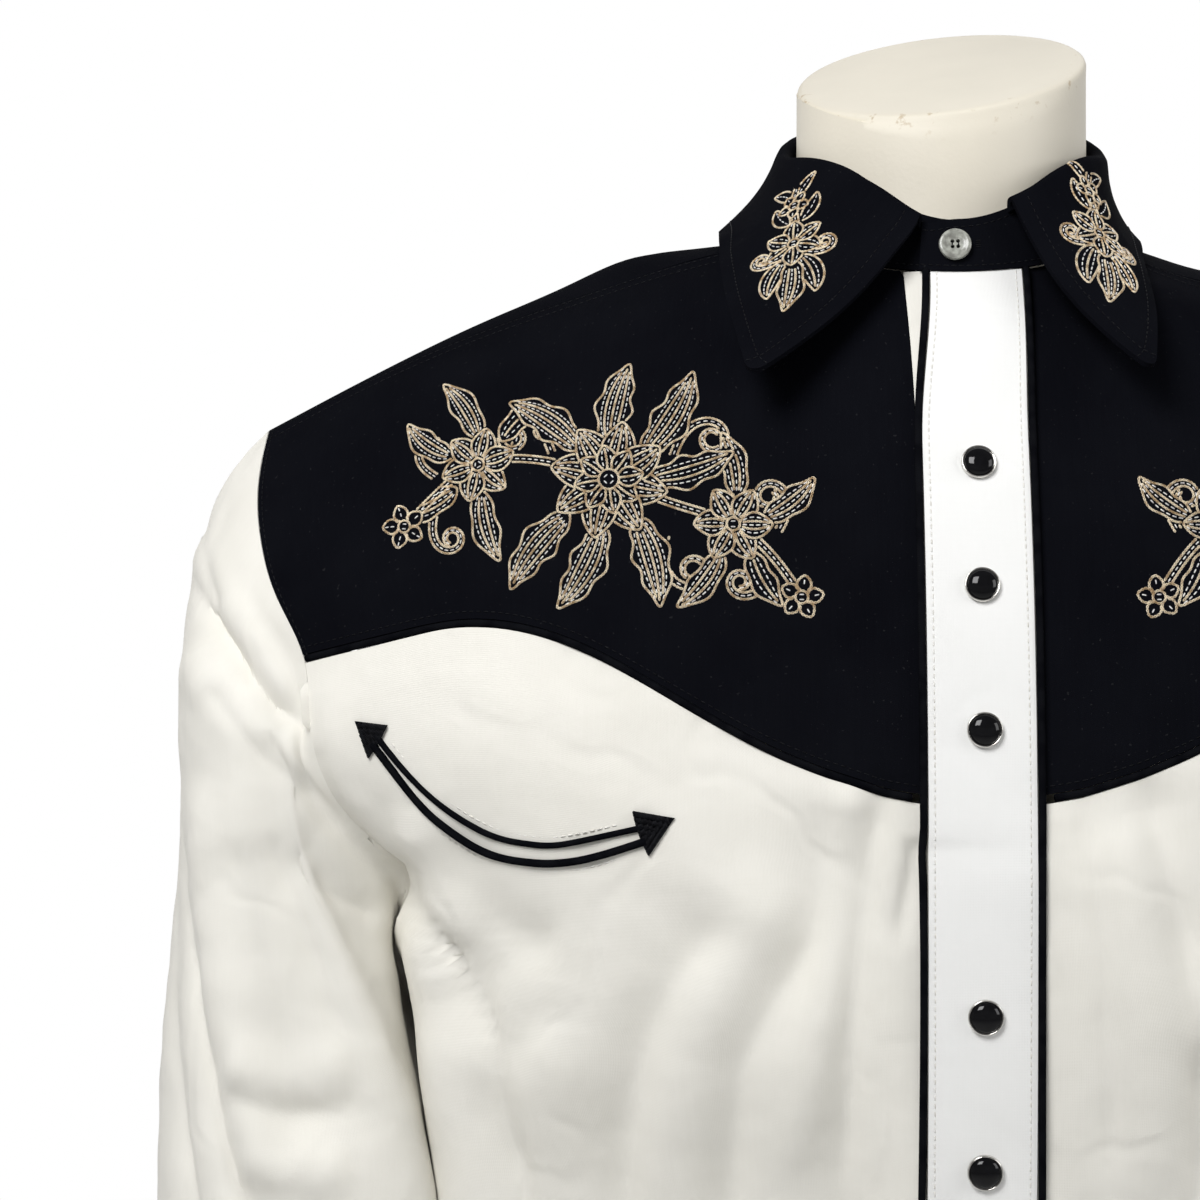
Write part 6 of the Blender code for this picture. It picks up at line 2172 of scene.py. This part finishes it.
# ---- embroidery --------------------------------------------------------------------------------
@dataclass
class Spray:
    """A flowering spray drawn flat in metres, front shapes first.

    Its outlines are gold chain stitch, and its fillings gold and silver.
    """

    spacing: float = 0.00125
    margin: float = 1.06
    step: float = 0.0008
    start_off: float = 0.25
    depth: float = 0.20
    link_width: float = 0.00102
    gold: list[Array] = field(default_factory=list)
    silver: list[Array] = field(default_factory=list)
    covers: list[Array] = field(default_factory=list)

    @staticmethod
    def inside(points: Array, outline: Array) -> Array:
        """Whether each point lies inside a closed outline."""
        x, y = points[:, :1], points[:, 1:]
        x0, y0 = outline[:, 0], outline[:, 1]
        x1, y1 = np.roll(x0, -1), np.roll(y0, -1)
        rise = np.where(y1 == y0, 1.0, y1 - y0)
        crossed = ((y0 > y) != (y1 > y)) & (x < x0 + (y - y0) * (x1 - x0) / rise)
        return crossed.sum(axis=1) % 2 == 1

    def draw(self, lines: list[tuple[Array, bool]], outline: Array) -> None:
        """Adds a shape's lines where no earlier shape covers them.

        Args:
            lines: Each line, and whether it is gold.
            outline: The shape's edge, which hides what is drawn after it.
        """
        for line, golden in lines:
            count = max(4, int(lengths_along(line)[-1] / self.step))
            line = along(line, np.linspace(0, 1, count))
            hidden = np.zeros(count, bool)
            for cover in self.covers:
                hidden |= self.inside(line, cover)
            marks = np.flatnonzero(np.diff(np.concatenate([[1], hidden, [1]]).astype(int)))
            for begin, end in zip(marks[::2], marks[1::2]):
                if end - begin > 2:
                    (self.gold if golden else self.silver).append(line[begin:end])
        middle = outline.mean(axis=0)
        self.covers.append(middle + (outline - middle) * self.margin)

    @staticmethod
    def path(base: Array, heading: float, length: float, curl: float, power: float) -> tuple[Array, Array]:
        """A curving line and the directions across it.

        Args:
            base: Where it starts.
            heading: Its direction there, in degrees.
            length: Its length.
            curl: How far it turns on its way, in degrees.
            power: Above 1, it turns faster towards its tip.

        Returns:
            Its points, and a unit direction across it at each.
        """
        t = np.linspace(0, 1, 60)
        turn = np.radians(heading + curl * t**power)
        ahead = np.stack([np.cos(turn), np.sin(turn)], axis=1)
        line = np.asarray(base) + np.cumsum(ahead * length / len(t), axis=0)
        return line, np.stack([-ahead[:, 1], ahead[:, 0]], axis=1)

    def leaf(
        self,
        base: tuple[float, float],
        heading: float,
        length: float,
        width: float,
        curl: float,
        lobes: int = 0,
    ) -> None:
        """Draws a leaf or petal as lines that flow from its base to its tip.

        Args:
            base: Where it starts.
            heading: Its direction there, in degrees.
            length: Along its middle.
            width: At its widest.
            curl: How far it turns on its way, in degrees.
            lobes: How many scallops its edges have.
        """
        middle, aside = self.path(np.array(base), heading, length, curl, 1.0)
        t = np.linspace(0, 1, len(middle))
        half = width / 2 * np.sin(math.pi * t**0.85) ** 0.75
        edge = half * (1 + (0.14 * np.sin(2 * math.pi * lobes * t) if lobes else 0.0))
        outline = np.vstack([middle + aside * edge[:, None], (middle - aside * edge[:, None])[::-1]])
        lines = [(np.vstack([outline, outline[:1]]), True)]
        count = max(1, 2 * round((width / self.spacing - 2) / 2) - 1)
        for k, share in enumerate(np.linspace(-1, 1, count + 2)[1:-1]):
            line = middle + aside * (half * 0.92 * share)[:, None]
            lines.append((line[4 + 2 * (k % 2) : -4 - 2 * (k % 3)], k % 2 == 1))
        self.draw(lines, outline)

    def flower(
        self, centre: tuple[float, float], radius: float, petals: int, turned: float, layers: int = 1
    ) -> None:
        """Draws an open flower with a ringed eye.

        Args:
            centre: Its middle.
            radius: To its petals' tips.
            petals: How many petals each layer has.
            turned: The first petal's direction, in degrees.
            layers: How many layers of petals lie on each other.
        """
        centre, eye, t = np.array(centre), max(radius * 0.17, 0.0022), np.linspace(0, 2 * math.pi, 30)
        circle = np.stack([np.cos(t), np.sin(t)], axis=1)
        rings = [(centre + eye * size * circle, golden) for size, golden in ((1.0, True), (0.45, False))]
        self.draw(rings, centre + eye * circle)
        for layer in range(layers):
            reach = radius if layer == layers - 1 else radius * 0.58
            for k in range(petals):
                heading = turned + 360 * (k + 0.5 * layer) / petals
                out = np.array([math.cos(math.radians(heading)), math.sin(math.radians(heading))])
                width = min(2 * math.pi * reach * 0.72 / petals, reach * 0.66)
                self.leaf(tuple(centre + eye * 0.8 * out), heading - 9, reach - eye * 0.8, width, 18)

    def strands(self, line: Array, aside: Array, tip: float) -> None:
        """Draws three strands side by side, drawn together at the end by a share."""
        narrow = self.spacing * (1 - tip * np.linspace(0, 1, len(line)) ** 2)[:, None]
        outline = np.vstack([line + aside * narrow * 1.5, (line - aside * narrow * 1.5)[::-1]])
        self.draw([(line + aside * narrow * k, k != 0) for k in (-1, 0, 1)], outline)

    def tendril(self, base: tuple[float, float], heading: float, length: float, curl: float) -> None:
        """Draws a shoot that curls up towards its tip."""
        line, aside = self.path(np.array(base), heading, length, curl, 2.0)
        self.strands(line, aside, 0.55)

    def stem(self, points: Table) -> None:
        """Draws a stem through points."""
        line = curve(points, 12 * len(points))
        ahead = unit(np.gradient(line, axis=0))
        self.strands(line, np.stack([-ahead[:, 1], ahead[:, 0]], axis=1), 0.0)

    def sewn(
        self, name: str, ground: BVHTree, origin: Vector, across: Vector, up: Vector, towards: Vector
    ) -> None:
        """Sews the drawing onto cloth.

        Args:
            name: The pieces' common name.
            ground: The cloth's outer side.
            origin: Where the drawing's own origin goes.
            across: The direction of its first coordinate.
            up: The direction of its second coordinate.
            towards: The direction in which it is laid onto the cloth.
        """
        threads = (
            ("gold", GOLD_THREAD, self.gold, Stitch.CHAIN, 0.00150, 0.00122, 0.00022),
            ("silver", SILVER_THREAD, self.silver, Stitch.RUNNING, 0.0018, 0.0022, 0.00026),
        )
        for word, finish, lines, kind, length, pitch, radius in threads:
            sewing = Sewing(f"embroidery_{name}_{word}", finish, length, pitch, radius, kind, self.link_width)
            for line in lines:
                spots = []
                for u, v in line:
                    start = origin + across * u + up * v - towards * self.start_off
                    place, normal, _, distance = ground.ray_cast(start, towards)
                    if place is not None and abs(distance - self.start_off) < self.depth:
                        normal = -normal if normal.dot(towards) > 0 else normal
                        spots.append([*place, *normal])
                if len(spots) > 2:
                    sewing.sew(np.array(spots))
            sewing.piece("")


def yoke_spray() -> Spray:
    """The spray on a front yoke, drawn with its first coordinate towards the placket."""
    spray, mm = Spray(), 0.001
    flowers = (
        # u, v, radius, petals, turned, layers
        (4, 3, 21, 8, 10, 2),
        (-43, 9, 13.5, 6, 20, 1),
        (47, -13, 13.5, 6, 0, 1),
        (-69, -13, 8, 5, 40, 1),
        (70, -38, 7.5, 5, 10, 1),
    )
    for u, v, radius, petals, turned, layers in flowers:
        spray.flower((u * mm, v * mm), radius * mm, petals, turned, layers)
    garland = ((-69, -13), (-58, -2), (-43, 9), (-20, 10), (4, 3), (27, -6), (47, -13), (61, -25), (70, -38))
    spray.stem(tuple((u * mm, v * mm) for u, v in garland))
    leaves = (
        # u, v, heading, length, width, curl, lobes
        (-6, 13, 128, 33, 12, 34, 3),
        (4, 15, 90, 31, 12, -26, 3),
        (15, 11, 44, 36, 12.5, 30, 3),
        (17, 3, 2, 32, 11, 30, 3),
        (2, -12, 258, 34, 12, -30, 3),
        (-9, -9, 216, 34, 12, 32, 3),
        (13, -10, 300, 33, 12, -28, 3),
        (-43, 18, 108, 27, 9.5, 34, 2),
        (-35, 17, 62, 22, 8.5, -34, 2),
        (-52, 12, 166, 23, 9, -42, 2),
        (-41, 0, 268, 27, 9.5, 36, 2),
        (-50, 1, 222, 25, 9, -32, 2),
        (48, -4, 84, 24, 9, 36, 2),
        (57, -11, 20, 23, 9, 36, 2),
        (43, -22, 250, 25, 9, -36, 2),
        (53, -22, 282, 22, 8.5, 34, 2),
    )
    for u, v, heading, length, width, curl, lobes in leaves:
        spray.leaf((u * mm, v * mm), heading, length * mm, width * mm, curl, lobes)
    tendrils = (
        # u, v, heading, length, curl
        (-16, 12, 112, 52, 500),
        (26, 10, 70, 50, -480),
        (24, -16, 262, 50, 470),
        (-57, 4, 150, 36, -430),
        (62, -16, 60, 40, 440),
        (-30, 14, 80, 40, -440),
        (-58, -8, 262, 36, 440),
        (60, -30, 238, 34, -430),
    )
    for u, v, heading, length, curl in tendrils:
        spray.tendril((u * mm, v * mm), heading, length * mm, curl)
    return spray


def collar_spray() -> Spray:
    """The small spray on a collar leaf."""
    spray, mm = Spray(depth=0.035), 0.001
    spray.flower((0, 4 * mm), 12 * mm, 6, 30)
    spray.flower((1 * mm, 25 * mm), 6.5 * mm, 5, 60)
    spray.stem(((0, -8 * mm), (-1 * mm, 8 * mm), (1 * mm, 25 * mm), (0, 34 * mm)))
    leaves = (
        # u, v, heading, length, width, curl, lobes
        (0, -5, 262, 26, 9, 24, 2),
        (3, -4, 306, 20, 8, -44, 0),
        (-3, -4, 232, 20, 8, 44, 0),
        (2, 15, 40, 14, 6, 40, 0),
        (-2, 15, 140, 14, 6, -40, 0),
        (2, 28, 62, 13, 5, -36, 0),
        (0, 28, 112, 13, 5, 36, 0),
    )
    for u, v, heading, length, width, curl, lobes in leaves:
        spray.leaf((u * mm, v * mm), heading, length * mm, width * mm, curl, lobes)
    for base, heading, length, curl in (((4, -2), 330, 26, 430), ((-4, -2), 210, 26, -430)):
        spray.tendril((base[0] * mm, base[1] * mm), heading, length * mm, curl)
    return spray


@dataclass
class Embroidery:
    """The sprays on the front yokes and the collar leaves."""

    body: Body
    collar: Collar
    yoke_at: tuple[float, float] = (0.130, 0.941)
    collar_at: dict[Side, tuple[float, float, float]] = field(
        default_factory=lambda: {Side.RIGHT: (-0.0595, -0.066, 1.0245), Side.LEFT: (0.0450, -0.066, 1.0270)}
    )

    def build(self) -> None:
        """Sews every spray."""
        for side in Side:
            tree = self.body.fronts[side].part(slice(self.body.yoke_row, None)).tree(CLOTH)
            x, z = self.yoke_at
            across = Vector((-side.value, 0.0, 0.0))
            origin = Vector((side.value * x, -0.15, z))
            up, towards = Vector((0, 0, 1)), Vector((0, 1, 0))
            yoke_spray().sewn(f"yoke_{side.label}", tree, origin, across, up, towards)
            ground = self.collar.fall.tree(DOUBLE_CLOTH)
            origin = Vector(self.collar_at[side])
            towards = Vector((-side.value * 0.45, 0.80, -0.35)).normalized()
            up = Vector((side.value * 0.10, 0.42, 0.90))
            up = (up - towards * up.dot(towards)).normalized()
            across = up.cross(towards).normalized()
            collar_spray().sewn(f"collar_{side.label}", ground, origin, across, up, towards)


# ---- form, stand and studio --------------------------------------------------------------------
@dataclass
class DressForm:
    """The limbless form that wears the shirt, on its pole and foot."""

    body: Body
    points: int = 26
    point_steps: int = 5
    ring_steps: int = 4
    neck_cut_z: float = 1.1025
    neck_slope: tuple[float, float] = (0.121, 0.458)
    foot_r: float = 0.170
    foot_h: float = 0.010
    pole_r: float = 0.016
    pole_top_z: float = 0.2117
    turned_sides: int = 96
    # half_width, front, back, z_side, z_front, z_back
    rings: Table = (
        (0.110, 0.070, 0.075, 0.212, 0.212, 0.212),
        (0.142, 0.090, 0.098, 0.216, 0.216, 0.216),
        (0.156, 0.098, 0.106, 0.232, 0.232, 0.232),
        (0.166, 0.102, 0.112, 0.300, 0.300, 0.300),
        (0.168, 0.102, 0.111, 0.370, 0.370, 0.370),
        (0.160, 0.099, 0.103, 0.455, 0.455, 0.455),
        (0.149, 0.096, 0.093, 0.545, 0.545, 0.545),
        (0.156, 0.102, 0.095, 0.640, 0.640, 0.640),
        (0.170, 0.112, 0.106, 0.735, 0.735, 0.735),
        (0.180, 0.116, 0.111, 0.800, 0.795, 0.800),
        (0.189, 0.115, 0.112, 0.850, 0.838, 0.850),
        (0.197, 0.110, 0.110, 0.896, 0.878, 0.895),
        (0.2020, 0.103, 0.104, 0.930, 0.912, 0.932),
        (0.2010, 0.095, 0.095, 0.957, 0.940, 0.962),
        (0.1900, 0.087, 0.0850, 0.978, 0.962, 0.986),
        (0.1680, 0.078, 0.0675, 0.9922, 0.980, 0.9975),
        (0.1380, 0.070, 0.0540, 1.0042, 0.993, 1.008),
        (0.1060, 0.063, 0.0510, 1.0165, 1.002, 1.020),
        (0.0780, 0.058, 0.0515, 1.0285, 1.011, 1.036),
        (0.0580, 0.055, 0.054, 1.0395, 1.022, 1.056),
        (0.0545, 0.053, 0.053, 1.0600, 1.042, 1.072),
        (0.0545, 0.053, 0.054, 1.0860, 1.058, 1.096),
    )

    def build_torso(self) -> None:
        """Makes the form, with a rounded rim round the flat cut of its neck."""
        rings = []
        for half_width, front, back, z_side, z_front, z_back in self.rings:
            ring = []
            for i in range(self.points):
                s, c = math.sin(2 * math.pi * i / self.points), math.cos(2 * math.pi * i / self.points)
                depth, z_end = (front, z_front) if c > 0 else (back, z_back)
                x, z = half_width * s, z_side * s * s + z_end * c * c
                lean = float(ease(z, 0.96, 1.04))
                side = Side.LEFT if x > 0 else Side.RIGHT
                drop = self.body.shoulder_drop(abs(x), side) * float(ease(z, 0.90, 0.98))
                ring.append((x + NECK_CENTRE_X * lean, -depth * c, z - drop))
            rings.append(ring)
        aside, deep = self.neck_slope
        cut = [(x, y, self.neck_cut_z + aside * x + deep * y) for x, y, _ in rings[-1]]
        coarse = np.array([*rings, cut])
        knots = row_places(coarse)
        fine = refined(coarse, knots, [self.ring_steps] * (len(coarse) - 1), self.point_steps, closed=True)
        top = fine[-1]
        middle = top.mean(axis=0)
        slope = np.array([-self.neck_slope[0], -self.neck_slope[1], 1.0])
        slope /= np.linalg.norm(slope)
        fine = fine[:-1]
        rim = []
        for inward, down in ((0.0, 0.0022), (0.0004, 0.0010), (0.0012, 0.0003), (0.0024, 0.0), (0.0060, 0.0)):
            rim.append(top + unit(middle - top) * inward - slope * down)
        for share in (0.35, 0.65, 0.92):
            rim.append(top + (middle - top) * share)
        rows = np.concatenate([fine, rim])
        count = rows.shape[1]
        mesh = mesh_of("form_shell", rows.reshape(-1, 3), capped_faces(len(rows), count))
        mesh.set_sharp_from_angle(angle=math.radians(60))
        layer = mesh.attributes.new("rim", "FLOAT", "POINT")
        near = np.zeros(len(rows))
        near[len(fine) - 1 : len(fine) + 4] = (0.5, 1.0, 1.0, 1.0, 0.6)
        layer.data.foreach_set("value", np.repeat(near, count).astype(np.float32))
        new_piece("form_shell", mesh, [FORM_PAINT], ["form_torso"])

    def turned(self, name: str, profile: Table, node: str) -> None:
        """Makes a turned steel piece from a profile of (radius, height), bottom to top."""
        rings = turned_rings(profile, self.turned_sides)
        mesh = mesh_of(name, np.vstack(rings), capped_faces(len(rings), self.turned_sides))
        mesh.set_sharp_from_angle(angle=math.radians(35))
        new_piece(name, mesh, [STEEL], [node])

    def build_stand(self) -> None:
        """Makes the foot with its eased edge and the pole."""
        r, h = self.foot_r, self.foot_h
        self.turned(
            "turned_foot",
            (
                (r - 0.0020, 0.0),
                (r, 0.0015),
                (r, h - 0.0030),
                (r - 0.0008, h - 0.0012),
                (r - 0.0028, h),
                (0.02, h),
            ),
            "stand_foot",
        )
        low, p = h + GAP, self.pole_r
        self.turned(
            "turned_pole",
            ((p, low), (p, 0.10), (p, self.pole_top_z - 0.012), (p, self.pole_top_z)),
            "stand_pole",
        )


@dataclass
class Studio:
    """A pale floor, soft light and the camera."""

    camera_at: tuple[float, float, float] = (-0.095, -1.030, 0.902)
    camera_turn: float = math.radians(2.08)
    lens: float = 81.0
    floor_half: float = 2.6
    # from, to, strength up to the first, strength past the second
    by_height: tuple[float, ...] = (0.225, 0.42, 1.0, 0.0)
    by_depth: tuple[float, ...] = (-0.10, 0.45, 0.24, 1.0)
    dimmest: float = 0.17

    def build(self) -> None:
        """Makes the studio."""
        scene = bpy.context.scene
        camera = bpy.data.objects.new("camera", bpy.data.cameras.new("camera"))
        camera.data.lens, camera.data.sensor_width = self.lens, 36.0
        camera.location = self.camera_at
        camera.rotation_euler = (math.pi / 2, 0.0, self.camera_turn)
        scene.collection.objects.link(camera)
        scene.camera = camera
        scene.view_settings.view_transform = "Standard"
        self.light("key", (-0.62, -1.05, 1.80), (-0.10, 0.0, 0.95), 0.7, 20.5)
        self.light("fill", (1.7, -0.8, 1.5), (0.0, 0.0, 1.0), 1.0, 13.0)
        self.light("back", (0.3, 1.6, 2.2), (0.0, 0.0, 0.95), 1.2, 6.0)
        self.floor()
        self.world()

    def light(self, name: str, place: Point, target: Point, size: float, power: float) -> None:
        """Adds a square soft light that points at a target."""
        data = bpy.data.lights.new(name, "AREA")
        data.size, data.energy = size, power
        obj = bpy.data.objects.new(name, data)
        obj.location = place
        obj.rotation_euler = (Vector(target) - Vector(place)).to_track_quat("-Z", "Y").to_euler()
        bpy.context.scene.collection.objects.link(obj)

    def floor(self) -> None:
        """Adds the plain pale floor."""
        h = self.floor_half
        square = np.array([(-h, -h, 0), (h, -h, 0), (h, h, 0), (-h, h, 0)])
        mesh = mesh_of("floor", square, [(0, 1, 2, 3)], False)
        g = Graph("pale_floor")
        g.constants(Base_Color=(0.82, 0.82, 0.81, 1.0), Roughness=0.7)
        mesh.materials.append(g.material)
        obj = bpy.data.objects.new("floor", mesh)
        obj.location.z = -0.0005
        bpy.context.scene.collection.objects.link(obj)

    def world(self) -> None:
        """Makes the surroundings: white behind the form, and dimmer above, below and in front of it."""
        world = bpy.data.worlds.new("studio")
        bpy.context.scene.world = world
        world.use_nodes = True
        tree = world.node_tree
        back = tree.nodes["Background"]
        place = tree.nodes.new("ShaderNodeTexCoord")
        split = tree.nodes.new("ShaderNodeSeparateXYZ")
        level = tree.nodes.new("ShaderNodeMath")
        level.operation = "ABSOLUTE"
        tree.links.new(place.outputs["Generated"], split.inputs[0])
        tree.links.new(split.outputs["Z"], level.inputs[0])
        spans = ((level.outputs[0], *self.by_height), (split.outputs["Y"], *self.by_depth))
        parts = []
        for socket, *values in spans:
            span = tree.nodes.new("ShaderNodeMapRange")
            span.interpolation_type = "SMOOTHSTEP"
            for key, value in enumerate(values, 1):
                span.inputs[key].default_value = value
            tree.links.new(socket, span.inputs[0])
            parts.append(span.outputs[0])
        both = tree.nodes.new("ShaderNodeMath")
        both.operation = "MULTIPLY"
        lowest = tree.nodes.new("ShaderNodeMath")
        lowest.operation = "MAXIMUM"
        lowest.inputs[1].default_value = self.dimmest
        for key, socket in enumerate(parts):
            tree.links.new(socket, both.inputs[key])
        tree.links.new(both.outputs[0], lowest.inputs[0])
        tree.links.new(lowest.outputs[0], back.inputs["Strength"])
        back.inputs["Color"].default_value = (1.0, 1.0, 1.0, 1.0)


def corners(box: object) -> list[list[float]]:
    """A box's two corners as plain lists of numbers."""
    return [[float(v) for v in corner] for corner in box]


def main() -> None:
    """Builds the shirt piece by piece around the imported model."""
    logging.basicConfig(level=logging.INFO, format="%(name)s: %(message)s")
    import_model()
    studio = Studio()
    studio.build()
    black = Sewing("stitching_black", BLACK_THREAD)
    white = Sewing("stitching_white", WHITE_THREAD)
    body = Body()
    body.lay_out()
    body.build()
    body.pipe()
    body.topstitch(black, white)
    LOG.info("body done")
    opening = Opening(body)
    opening.build()
    opening.topstitch(white)
    opening.snap_up()
    LOG.info("opening done")
    collar = Collar(body)
    collar.build()
    collar.topstitch(black)
    CollarButton(collar).build(black)
    LOG.info("collar done")
    Sleeves(body).build(black)
    Pockets(body).build(white)
    LOG.info("sleeves and pockets done")
    black.piece("black_cord")
    white.piece("white_shirting")
    Embroidery(body, collar).build()
    form = DressForm(body)
    form.build_torso()
    form.build_stand()
    LOG.info("form and stand done")


if __name__ == "__main__":
    main()
